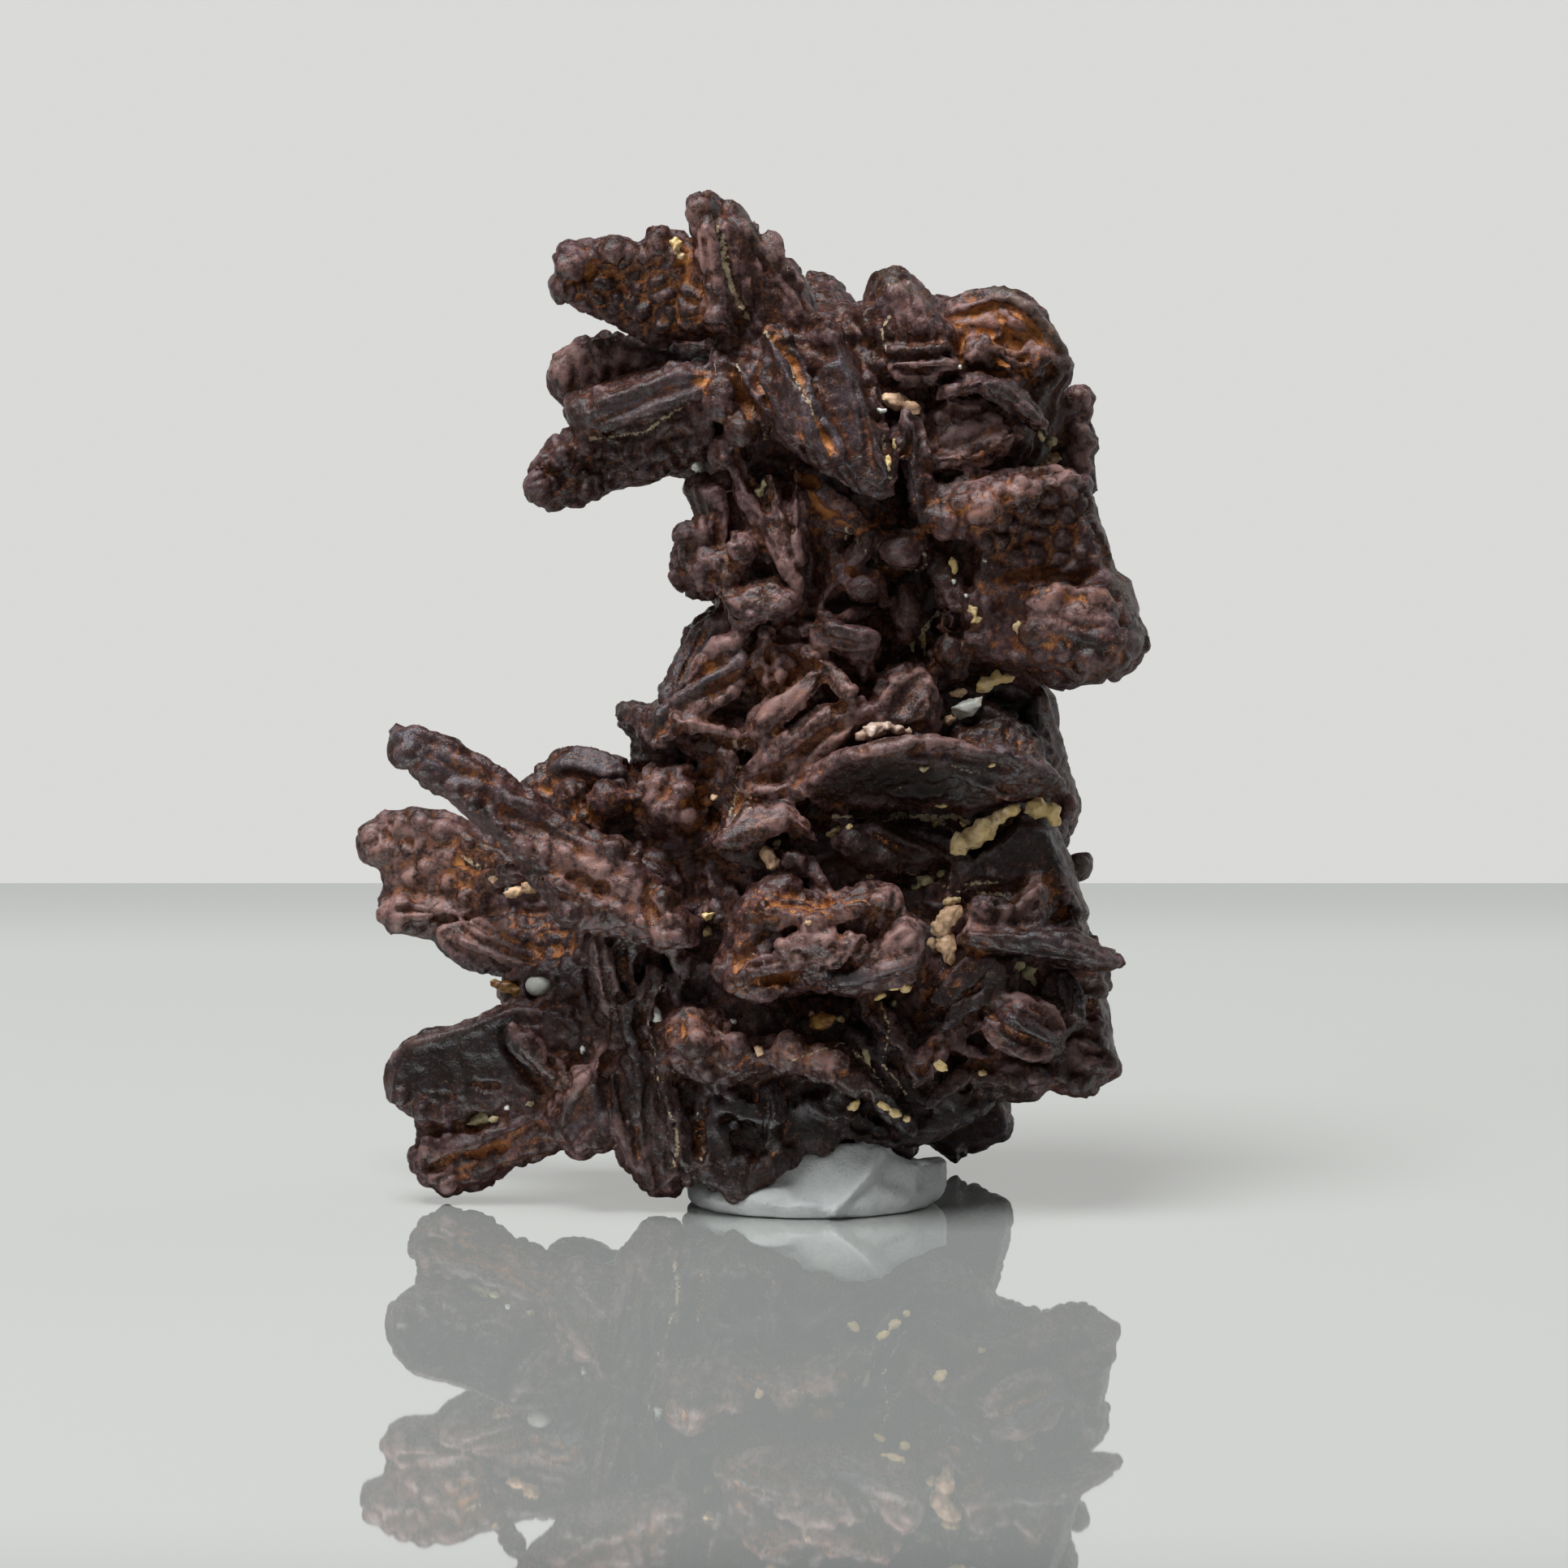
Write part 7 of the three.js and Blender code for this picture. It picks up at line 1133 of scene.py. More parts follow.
        (0.7, 4.2, [(-26.8, 21.8), (-22.4, 19.4)]), (0.7, 1.6, [(-22.4, 16.2), (-19, 14.8)]),
        (0.7, 1, [(-25.6, 8.9), (-22.4, 10.2), (-19, 11.6)]),
        (0.8, 1.2, [(-18.2, 10.2), (-15.4, 7.4)]), (0.8, 1.6, [(-13.6, 15.2), (-12.2, 11.6)]),
        (0.7, 1.4, [(-12.6, 9.4), (-16.2, 5.4)]), (0.7, 1.2, [(-23.4, 2.4), (-22.2, 0.8)]),
        (0.6, 2.4, [(-11, 4.4), (-8, 2)]), (0.8, 2, [(-14.8, 20.4), (-9.4, 17)]),
        (0.75, 2.8, [(-0.8, 15.6), (5.4, 15.6), (5.2, 18.2)]),
        (0.8, 1.8, [(-7.2, 10.6), (-1.4, 9.4), (1.6, 8.4)]),
        (0.9, 1.4, [(9.4, 16.8), (12.8, 17.4), (13.9, 19.4)]),
        (0.7, 1.2, [(12.4, 12.4), (15.6, 10.8)]),
        (0.7, 1, [(10.6, 10.4), (12.2, 9), (14.8, 8.6)]),
        (0.6, 1.4, [(16.4, 9), (17.8, 7.6)]), (0.6, 1.2, [(10.4, 25.2), (12.2, 24.4)]),
        (0.6, 1.2, [(15.8, 25.2), (16.2, 23.4)]),
    ],
    "crust": [
        (0.66, 1.1, [(-21.4, 20.9), (-20.2, 20.2), (-19.8, 19.4)]),
        (0.9, 0.3, [(-5.9, 60), (-5.2, 57.4), (-4.6, 55.6), (-3.8, 54)]),
        (0.9, 0.3, [(-2.8, 53.2), (-1.6, 51.8), (-0.9, 50.2), (0.4, 47.6), (1, 46.4)]),
        (0.8, 0.3, [(-4.6, 51.4), (-4.2, 49.8), (-3.6, 48), (-2.8, 46.4)]),
        (0.8, 0.4, [(-13.6, 46.6), (-10.4, 47), (-7.4, 49)]),
        (0.9, 0.35, [(5, 23.5), (8.2, 23.3), (11.4, 22.9)]),
        (0.9, 0.35, [(7, 33.2), (6.7, 34.4), (7.4, 35.4), (8.4, 35.8)]),
        (0.8, 0.3, [(2.2, 40.2), (2, 41.2), (4.4, 38.6), (6.8, 38.6), (7.2, 40.2)]),
        (0.8, 0.3, [(-4.6, 27.8), (-4.4, 25.4), (-5.4, 22.6)]),
        (0.8, 0.3, [(-1.2, 8.4), (1.8, 9.4), (3.8, 8), (4.6, 6.2)]),
        (0.8, 0.3, [(4, 12.6), (4.8, 10.4), (4.4, 8.6)]),
        (0.8, 0.3, [(6, 19.9), (9, 18.8), (12.4, 18.6)]),
        (0.7, 0.3, [(-3.4, 9.8), (-2.2, 10.6), (0, 10)]),
        (0.8, 0.3, [(-8.7, 5.2), (-8.5, 3.4), (-8.6, 1.8)]),
        (0.7, 0.3, [(-7, 5.2), (-6.8, 2.4)]),
        (0.7, 0.3, [(-10.4, 12), (-9.8, 9.6), (-9.4, 7)]),
        (0.9, 0.28, [(-5.4, 59.2), (-5.1, 57.4), (-4.7, 56)]),
        (0.5, 0.25, [(-4.6, 55.8), (-3.6, 53.6)]), (0.8, 0.25, [(4.5, 56.5), (5, 55.8)]),
        (0.9, 0.25, [(4.8, 54.2), (4.3, 53.4), (4.6, 52)]),
        (0.7, 0.22, [(7.8, 54.8), (7.9, 53.7), (9, 53.3), (9.4, 52.7)]),
        (0.9, 0.3, [(4.5, 46.9), (4.7, 45.4), (5, 44)]),
        (0.6, 0.22, [(5.9, 48.2), (6.6, 47.6)]),
        (0.9, 0.22, [(-4, 28.2), (-4.4, 26.2), (-4.5, 24.7)]),
        (0.9, 0.2, [(-4.7, 23.8), (-5.4, 22.3)]), (0.8, 0.2, [(-4.2, 23.7), (-3.6, 24)]),
        (0.9, 0.26, [(1.4, 23.4), (3, 23.3), (4, 23.2), (5.6, 23.3), (6.2, 23.5)]),
        (0.9, 0.32, [(6.8, 23.2), (8.2, 22.9), (8.9, 22.2)]),
        (0.8, 0.22, [(8.4, 26.6), (9.4, 26.2), (10.4, 26)]),
        (0.9, 0.22, [(7.3, 33), (7.3, 34.2), (7.9, 35)]),
        (0.8, 0.2, [(8.8, 34.9), (9.3, 34.2), (9.2, 33.4)]),
        (0.7, 0.3, [(-7, 51.9), (-6, 51.6), (-5.9, 50.6)]),
        (0.6, 0.22, [(-2.7, 47.2), (-1.9, 47.2)]),
        (0.9, 0.25, [(4.4, 8.1), (5, 7.4), (5.8, 6.3)]),
        (0.8, 0.2, [(-9.6, 12), (-9.4, 13), (-7.6, 13.6)]),
        (0.6, 0.25, [(2, 32.2), (2.6, 31.4), (3.2, 30.8)]),
        (0.8, 0.4, [(9.6, 19.2), (11.4, 19.4)]), (0.7, 0.22, [(-3.8, 15), (-2.2, 14.2)]),
        (0.7, 0.25, [(-0.6, 45), (-3, 44.6), (-3.2, 44)]),
    ],
    # Near-black patches in crevices and slits, under rims and over the low foot: painted shade.
    "black": [
        (1, 1.5, [(11.4, 30.9), (13.4, 30.2), (13.4, 28.9)]),
        (0.8, 0.8, [(16, 34.2), (17.8, 33.7)]),
        (0.7, 1, [(-2.4, 1.6), (0.2, 2.7), (3.6, 3), (7.6, 3.3)]),
        (0.7, 1.6, [(-16.8, 13), (-13.8, 14.2), (-11.8, 15.2)]),
        (0.8, 0.3, [(4.6, 51.45), (8.6, 51.65)]), (0.8, 0.3, [(4.6, 50.1), (8.6, 50.3)]),
        (0.5, 1.2, [(5.4, 2.6), (9.8, 2.2)]), (1, 2.6, [(2.6, 25.4), (6.6, 25.2), (9.6, 25.2)]),
        (0.9, 3.4, [(-23.8, 8), (-18.8, 9.2)]),
        (0.6, 2.4, [(-15, 10.4), (-12.4, 12.4), (-11, 8)]),
        (0.7, 2, [(-11.4, 6.6), (-8.6, 5.6), (-6.2, 6.6)]),
        (0.6, 2.6, [(-7.4, 1.6), (-3.6, 1.2)]),
        (0.6, 2.6, [(12.4, 17.4), (15.8, 14), (16.6, 10.4)]),
        (0.7, 1.6, [(-12.6, 55.6), (-10, 54.8)]),
        (0.85, 3.2, [(-10.6, 5.6), (-8.8, 3), (-6, 2)]),
        (0.95, 3.6, [(-4, 4.6), (0.6, 5), (5.4, 5)]), (0.8, 3, [(7, 5.2), (11.6, 6)]),
        (0.72, 1.8, [(2.8, 10.8), (4.6, 8.4)]),
        (0.64, 2.4, [(8.4, 12), (12.4, 14.2), (15.8, 17.2)]),
        (0.56, 2.6, [(13, 10), (17, 8)]),
        (0.72, 2, [(2, 25), (6, 25.4), (10.4, 26)]),
        (0.72, 2.4, [(3, 22.6), (7, 21.6), (10.6, 21.2), (14.6, 21.2)]),
        (0.64, 2, [(8.4, 29.6), (13.4, 29.6)]), (0.56, 1.6, [(7.6, 35.2), (7, 38.6)]),
        (0.08, 1.6, [(8.6, 46.6), (11.6, 47.2)]), (0.4, 2.6, [(12.8, 41.8), (16.2, 40.4)]),
        (0.48, 2.6, [(-13, 56), (-9, 54.6)]), (0.4, 2.4, [(-14.6, 44.6), (-9.4, 46)]),
        (0.48, 2.4, [(-19, 16.4), (-15.4, 14.8)]), (0.48, 3.4, [(-23.6, 7), (-18.4, 8.2)]),
        (0.64, 2.4, [(-13.4, 14.6), (-11.6, 10.4)]), (0.56, 2, [(-9, 13.8), (-7.6, 12.4)]),
        (0.48, 1.4, [(-4.2, 21), (0.4, 20.8)]),
    ],
}

tints = {kind: np.zeros(count) for kind in stains}
vein_reach, vein_spread, fade_slope, widest_step = 0.6, 1.2, 1.6, 0.5
for kind, rows in stains.items():
    for amount, reach, places in rows:
        path = path_over(places, min(widest_step, reach / 2))
        if len(path) == 0:
            continue
        if kind == "crust":
            which, far, _ = close_to(path, vein_reach)
            share = np.clip(1 - far / (vein_spread * reach), 0, 1) * amount
        else:
            which, far, _ = close_to(path, reach)
            share = amount * np.clip(fade_slope * (1 - far / reach), 0, 1)
        tints[kind][which] = np.maximum(tints[kind][which], share)


class Link:
    """A shader socket that takes part in ordinary sums."""

    def __init__(self, tree, socket):
        self.tree, self.socket = tree, socket

    def math(self, operation, other=0.0, swapped=False):
        pair = (other, self) if swapped else (self, other)
        return self.node("ShaderNodeMath", {"operation": operation}, dict(enumerate(pair)))

    def node(self, kind, settings=None, inputs=None, output=0):
        return add_node(self.tree, kind, settings, inputs, output)

    def __add__(self, other):
        return self.math("ADD", other)

    def __sub__(self, other):
        return self.math("SUBTRACT", other)

    def __rsub__(self, other):
        return self.math("SUBTRACT", other, swapped=True)

    def __mul__(self, other):
        return self.math("MULTIPLY", other)

    __radd__, __rmul__ = __add__, __mul__


def add_node(tree, kind, settings=None, inputs=None, output=0):
    """A node of a kind, its settings made first, then the values or links of its sockets."""
    node = tree.nodes.new(kind)
    for name, value in (settings or {}).items():
        if name == "stops":
            while len(node.color_ramp.elements) < len(value):
                node.color_ramp.elements.new(0.5)
            for stop, (place, colour) in zip(node.color_ramp.elements, value):
                stop.position, stop.color = place, (*colour, 1)
        else:
            setattr(node, name, value)
    for name, value in (inputs or {}).items():
        if isinstance(value, Link):
            tree.links.new(value.socket, node.inputs[name])
        else:
            node.inputs[name].default_value = value
    return Link(tree, node.outputs[output])


class Finish:
    """A material under way: its tree, its surface shader and the ways to feed them."""

    def __init__(self, name, **constants):
        self.material = bpy.data.materials.new(name)
        self.material.use_nodes = True
        self.tree = self.material.node_tree
        self.shader = self.tree.nodes["Principled BSDF"]
        for socket, value in constants.items():
            self.shader.inputs[socket.replace("_", " ")].default_value = value

    def node(self, kind, settings=None, inputs=None, output=0):
        return add_node(self.tree, kind, settings, inputs, output)

    def feed(self, socket, link):
        self.tree.links.new(link.socket, self.shader.inputs[socket])

    def attribute(self, name, output="Fac"):
        return self.node("ShaderNodeAttribute", {"attribute_name": name}, output=output)

    def place(self, scale):
        """The piece's own coordinates, scaled."""
        spot = self.node("ShaderNodeTexCoord", output="Object")
        return self.node(
            "ShaderNodeVectorMath", {"operation": "SCALE"}, {0: spot, "Scale": scale}
        )

    def noise(self, at, scale, detail=3.0, roughness=0.55):
        return self.node(
            "ShaderNodeTexNoise",
            {},
            {"Vector": at, "Scale": scale, "Detail": detail, "Roughness": roughness},
        )

    def between(self, value, low, high):
        """0 below low, 1 above high, smooth between them."""
        return self.node(
            "ShaderNodeMapRange",
            {"interpolation_type": "SMOOTHSTEP"},
            {"Value": value, "From Min": low, "From Max": high},
        )

    def mix(self, share, a, b):
        """Colour a where share is 0, colour b where it is 1."""
        colours = [c if isinstance(c, Link) else (*c, 1) for c in (a, b)]
        return self.node(
            "ShaderNodeMix",
            {"data_type": "RGBA"},
            {0: share, 6: colours[0], 7: colours[1]},
            output=2,
        )

    def bump(self, height, strength, distance, normal=None):
        inputs = {"Height": height, "Strength": strength, "Distance": distance}
        if normal is not None:
            inputs["Normal"] = normal
        return self.node("ShaderNodeBump", {}, inputs)


umber = (0.020, 0.009, 0.006)
plum = (0.052, 0.025, 0.028)
chestnut = (0.125, 0.043, 0.021)
# mauve and pink: lighter worn patches, and a painted highlight where they lie on crests
mauve_wear_and_highlight = (0.155, 0.088, 0.085)
pink_wear_and_highlight = (0.272, 0.150, 0.128)
slate_blue = (0.044, 0.044, 0.053)
rust_brown = (0.230, 0.072, 0.020)
rust_orange = (0.470, 0.185, 0.045)
rim_light_grey = (0.080, 0.078, 0.058)
ochre_dust = (0.340, 0.190, 0.100)
crust_cream = (0.500, 0.390, 0.250)
shade_black = (0.004, 0.002, 0.0015)

stone = Finish("goethite", Specular_IOR_Level=0.3)
at = stone.place(1 / mm)
rust, slate, moss, blush, crust, black = (stone.attribute(kind) for kind in tints)
hollow, crest, dip, depth = map(stone.attribute, ("hollow", "crest", "dip", "depth"))
mottle = stone.noise(at, 0.42, 3.0)
blotch = stone.noise(at, 1.1, 5.0, 0.6)
speckle = stone.noise(at, 3.4, 4.0, 0.65)
fine = stone.noise(at, 9.0, 3.0, 0.6)
tone = (mottle - 0.5) * 1.2 + (blotch - 0.5) * 1.4 + (speckle - 0.5) * 0.8
# thin lines that wander over the faces
winding = stone.noise(at, 0.8, 4.0, 0.6)
line = 1.0 - stone.between((winding - 0.5).math("ABSOLUTE"), 0.004, 0.022)

colour = stone.mix(stone.between(tone, -0.3, 0.35), umber, plum)
ruddy = stone.between((0.5 - blotch) * 1.4 + (speckle - 0.5) * 0.7 + dip * 0.3, -0.05, 0.6)
colour = stone.mix(ruddy * 0.75, colour, chestnut)
# Lighter mauve and pink over random patches, blush patches and crests: the share on crests is a
# painted highlight, the rest is lighter wear.
worn_and_highlit = stone.between(blush * 0.65 + crest * 0.45 + tone * 1.5, 0.2, 1.2)
colour = stone.mix(worn_and_highlit * 0.9, colour, stone.mix(blush, mauve_wear_and_highlight, pink_wear_and_highlight))
faceted = slate * stone.between(tone + crest * 0.7, -0.25, 0.4)
colour = stone.mix(faceted * 0.75, colour, slate_blue)
# Painted rim light: grey-green on the rims.
colour = stone.mix(moss * stone.between(speckle, 0.3, 0.6) * 0.8, colour, rim_light_grey)
# Painted shade: near-black over those patches.
colour = stone.mix(black * 0.85, colour, shade_black)
# Deep hollows are painted near-black: painted shade, in place of the occlusion that shades them.
colour = stone.mix(stone.between(depth, 0.15, 0.8) * 0.9, colour, shade_black)
stained = dip * 0.22 + hollow * (0.12 + rust * 0.48) + rust * 0.35 + line * 0.3 - black * 0.3
rusted = stone.between(stained + (blotch - 0.5) * 0.9 + (speckle - 0.5) * 0.9, 0.15, 0.8)
colour = stone.mix(rusted * 0.8, colour, rust_brown)
vivid = hollow * rust * 0.55 + rust * 0.25 + line * 0.35 + dip * 0.15 - black * 0.15
bright = stone.between(vivid + (speckle - 0.5) * 1.3 + (fine - 0.5) * 0.9, 0.4, 0.95)
colour = stone.mix(bright * 0.8, colour, rust_orange)
crusted = stone.between(crust + (speckle - 0.5) * 0.9, 0.57, 0.7)
dusted = stone.between(fine + (speckle - 0.5) * 0.7, 0.66, 0.76)
colour = stone.mix(dusted * 0.4, colour, ochre_dust)
colour = stone.mix(crusted * 0.9, colour, crust_cream)
stone.feed("Base Color", colour)
stone.feed(
    "Roughness",
    0.29 + rusted * 0.2 + (speckle - 0.5) * 0.25 + (mottle - 0.5) * 0.2 - faceted * 0.06
    - black * 0.04,
)
pitted = stone.bump(speckle, 0.5, 0.0002)
stone.feed("Normal", stone.bump(fine, 0.5, 0.00006, pitted))

# The depth or height, in millimetres, at which each of them counts in full.
full_hollow, full_dip, full_crest, full_depth = 0.06, 0.2, 0.08, 0.75
attributes = {
    **tints,
    "hollow": np.clip(fine_hollow / full_hollow, 0, 1),
    "dip": np.clip(dip_hollow / full_dip, 0, 1),
    "crest": np.clip(-fine_hollow / full_crest, 0, 1),
    "depth": np.clip(broad_hollow / full_depth, 0, 1),
}

# Lone cubes, which the joining leaves in narrow gaps, are dropped. Each corner of a cube has
# three edges, and each edge is counted from both of its faces.
cube_edges = 6
cornered = neighbours == cube_edges
cornered_beside = np.bincount(steps[:, 0], cornered[steps[:, 1]], minlength=count)
lone = cornered & (cornered_beside == cube_edges)
quads = quads[~lone[quads].all(1)]

# The body is built as a few blocks, one above another, each closed where it meets the next.
blocks = ("cluster_foot", "cluster_lower", "cluster_stem", "cluster_upper", "cluster_top")
level = moved[quads, 2].mean(1)
cuts = np.quantile(level, np.linspace(0, 1, len(blocks) + 1))
normals = outwards.astype(np.float32)
for index, name in enumerate(blocks):
    held = (level >= cuts[index]) & (level <= cuts[index + 1])
    used, faces = np.unique(quads[held], return_inverse=True)
    faces = faces.reshape(-1, 4)
    mesh = bpy.data.meshes.new(name)
    mesh.from_pydata((moved[used] * mm).tolist(), [], faces.tolist())
    for kind, values in attributes.items():
        layer = mesh.attributes.new(kind, "FLOAT", "POINT")
        layer.data.foreach_set("value", values[used].astype(np.float32))
    closing = bmesh.new()
    closing.from_mesh(mesh)
    rim = [edge for edge in closing.edges if edge.is_boundary]
    bmesh.ops.holes_fill(closing, edges=rim)
    cap_faces = [face for face in closing.faces if len(face.verts) > 4]
    bmesh.ops.triangulate(closing, faces=cap_faces)
    closing.to_mesh(mesh)
    closing.free()
    mesh.normals_split_custom_set_from_vertices(normals[used].tolist())
    block = bpy.data.objects.new(name, mesh)
    bpy.context.scene.collection.objects.link(block)
    mesh.materials.append(stone.material)
    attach(block, "root")
    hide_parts("goethite_cluster")

# ---------- the display putty ----------
# A pad of soft white putty that holds the cluster upright, pressed on the table by hand. Its
# skin is matt, with a fold where it was pinched and a scoop beside it.

putty_shade, putty_dusty = (0.475, 0.485, 0.47), (0.42, 0.43, 0.42)
putty_dirt = (0.17, 0.155, 0.13)

# Folds: height, width, the places [across, up] that they run through.
folds = [
    (0.6, 0.26, [(4.0, 2.9), (3.3, 1.5), (2.2, 0.3), (1.2, -0.6)]),
    (-0.8, 1.4, [(1.0, 1.2), (-0.8, 0.7)]),
    (0.3, 0.5, [(-3.6, 0.4), (-1.6, 0.6), (0.0, -0.2)]),
    (0.35, 0.3, [(7.9, 2.4), (7.6, 1.0), (7.7, -0.2)]),
    (-0.3, 0.35, [(7.0, 2.2), (6.9, 0.8)]),
    (0.15, 0.8, [(1.4, 2.2), (3.4, 2.4), (5.4, 2.0)]),
    (-0.25, 0.6, [(4.8, 1.2), (6.0, 0.6)]),
]
kneaded_size, kneaded_depth = 2.6, 0.16


def joined_lumps(name, lumps, size, times):
    """A new piece with one skin over all the lumps, its faces of one size, and eased."""
    mesh = bpy.data.meshes.new(name)
    lumps.to_mesh(mesh)
    lumps.free()
    piece = bpy.data.objects.new(name, mesh)
    bpy.context.scene.collection.objects.link(piece)
    remesh = piece.modifiers.new("remesh", "REMESH")
    remesh.mode, remesh.voxel_size = "VOXEL", size
    whole = bmesh.new()
    whole.from_object(piece, bpy.context.evaluated_depsgraph_get())
    piece.modifiers.clear()
    every_way = {"use_axis_x": True, "use_axis_y": True, "use_axis_z": True}
    for _ in range(times):
        bmesh.ops.smooth_vert(whole, verts=whole.verts, factor=0.5, **every_way)
    whole.normal_update()
    return piece, whole


def put_back(piece, whole):
    """Puts a shaped skin into its piece, in metres and shaded smooth."""
    bmesh.ops.scale(whole, vec=(mm, mm, mm), verts=whole.verts)
    for face in whole.faces:
        face.smooth = True
    whole.to_mesh(piece.data)
    whole.free()


pad = bmesh.new()
pad.from_mesh(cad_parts["display_putty"].data)
bmesh.ops.remove_doubles(pad, verts=pad.verts, dist=1e-7)
bmesh.ops.scale(pad, vec=Vector((1, 1, 1)) / mm, verts=pad.verts)
pad_voxel, pad_easing = 0.25, 8
putty, fine_pad = joined_lumps("putty_pad", pad, pad_voxel, pad_easing)


def display_place(point):
    """The place [across, up] of a point of the part, in mm."""
    offset = point - face_middle / mm
    return offset.dot(rightwards) + middle_place[0], offset.dot(upwards) + middle_place[1]


def distance_to(place, path):
    """How far a place is from a line through places."""
    best = 1e9
    for (ax, ay), (bx, by) in zip(path, path[1:]):
        along_x, along_y = bx - ax, by - ay
        share = ((place[0] - ax) * along_x + (place[1] - ay) * along_y) / (along_x**2 + along_y**2)
        share = min(1, max(0, share))
        left_x, left_y = place[0] - ax - share * along_x, place[1] - ay - share * along_y
        best = min(best, math.hypot(left_x, left_y))
    return best


shifts = []
# The right end is pressed down: from which place across, over how far, above which height, and
# by how much of what stands above it.
pressed_from, pressed_over, pressed_above, pressed_share = 4.6, 2, 2.1, 0.75
for vertex in fine_pad.verts:
    place = display_place(vertex.co)
    towards = max(0, vertex.normal.dot(to_viewer))
    rise = sum(
        height * math.exp(-((distance_to(place, path) / width) ** 2))
        for height, width, path in folds
    )
    rise = rise * min(1, towards * 1.6)
    rise += kneaded_depth * noise.noise(vertex.co / kneaded_size)
    rise += 0.5 * kneaded_depth * noise.noise(vertex.co / (0.3 * kneaded_size))
    rise -= 0.6 * kneaded_depth * abs(noise.noise(vertex.co / (0.55 * kneaded_size)))
    shifts.append(vertex.normal * rise * min(1, max(0, vertex.co.z) / 0.5))
for vertex, shift in zip(fine_pad.verts, shifts):
    across, up = display_place(vertex.co)
    vertex.co += shift
    pressed = min(1, max(0, (across - pressed_from) / pressed_over))
    vertex.co.z -= pressed_share * pressed * max(0, up - pressed_above)
    vertex.co.z = max(vertex.co.z, 0)
put_back(putty, fine_pad)

dough = Finish("putty", Roughness=0.85)
at = dough.place(1 / mm)
cloud = dough.noise(at, 0.5, 4.0)
grit = dough.noise(at, 4.0, 3.0, 0.7)
colour = dough.mix(dough.between(cloud + (grit - 0.5) * 0.5, 0.35, 0.7), putty_shade, putty_dusty)
colour = dough.mix(dough.between(grit + (cloud - 0.5) * 0.4, 0.66, 0.8) * 0.7, colour, putty_dirt)
dough.feed("Base Color", colour)
dough.feed("Normal", dough.bump(grit, 0.6, 0.00016))
putty.data.materials.append(dough.material)
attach(putty, "root")
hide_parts("display_putty")

# ---------- the grains and crumbs ----------
# Loose sand, quartz beads and rock crumbs caught between the blades and left there. Each is a
# few rounded lumps grown together, dull and a little see-through.

detailed = BVHTree.FromPolygons(moved.tolist(), quads.tolist())
# Where the display face lies; how far past the outline a crumb still finds the skin; how far
# its middle stands above the skin, in radii; and how far in front of its node's own depth, and
# behind it, it may lie.
face_y, crumb_reach, raised_share = -2.246, 2.5, 0.35
crumb_before, crumb_behind = 0.9, 0.7


def seat(across, up, radius, node_depth=None):
    """Where a grain's middle sits on the cluster's skin, a part of its radius above it."""
    point, _ = on_face(detailed, across, up, crumb_reach)
    eye, direction = sight_line(across, up)
    away = view_distance / mm if point is None else (point - eye).dot(direction)
    away -= raised_share * radius
    if node_depth is not None:
        near, far = (
            (face_y - out - eye.y) / direction.y
            for out in (node_depth + crumb_before, node_depth - crumb_behind)
        )
        away = min(max(away, near), far)
    return eye + direction * away


even_below, crumb_voxel, crumb_easing = 0.03, 0.09, 2


def make_crumb(name, parts, unevenness, out=None, fineness=0.5, seed=0):
    """A crumb from lumps [across, up, half width, half height, turn]: round where it's even,
    broken to flat sides where it's uneven."""
    offset = Vector((seed * 7.3, seed * 3.1, seed * 5.7))
    even = unevenness < even_below
    lumps = bmesh.new()
    for across, up, half_width, half_height, turn in parts:
        thickness = 0.8 * min(half_width, half_height) + 0.1
        spread = 0 if even else 0.55 if half_width > 0.5 else 0.9
        middle = seat(across, up, thickness, out)
        turned = Matrix.Rotation(math.radians(turn), 4, -to_viewer)
        axes = Matrix((rightwards, to_viewer, upwards)).transposed().to_4x4()
        sizes = Matrix.Diagonal((half_width, thickness, half_height, 1))
        ball = bmesh.ops.create_icosphere(
            lumps, subdivisions=3 if even else 1, radius=1 + 0.2 * spread,
            matrix=Matrix.Translation(middle) @ turned.inverted() @ axes @ sizes,
        )
        for corner in ball["verts"]:
            outward = corner.co - middle
            corner.co += outward * spread * noise.noise(corner.co * 2.3 + offset)
    crumb, shaped = joined_lumps(name, lumps, crumb_voxel, crumb_easing)
    for vertex in shaped.verts:
        spot = (vertex.co + offset) / fineness
        cells = noise.voronoi(spot)[0]
        rise = unevenness * (0.4 * (cells[1] - cells[0]) - 0.1 + 0.5 * noise.noise(spot * 1.9))
        vertex.co += vertex.normal * rise
    put_back(crumb, shaped)
    return crumb


def grain_finish(name, clear, cloudy, stained, roughness):
    """A dull mineral grain: two body colours in clouds, and stains in specks."""
    made = Finish(name, Roughness=roughness)
    made.shader.inputs["Subsurface Weight"].default_value = 0.35
    made.shader.inputs["Subsurface Radius"].default_value = (0.0006, 0.0005, 0.0003)
    at = made.place(1 / mm)
    cloud = made.noise(at, 0.9, 3.0)
    speck = made.noise(at, 3.5, 3.0, 0.65)
    colour = made.mix(made.between(cloud, 0.38, 0.62), clear, cloudy)
    colour = made.mix(made.between(speck + (cloud - 0.5) * 0.5, 0.52, 0.72) * 0.75, colour, stained)
    made.feed("Base Color", colour)
    made.feed("Normal", made.bump(speck, 0.5, 0.00006))
    return made.material


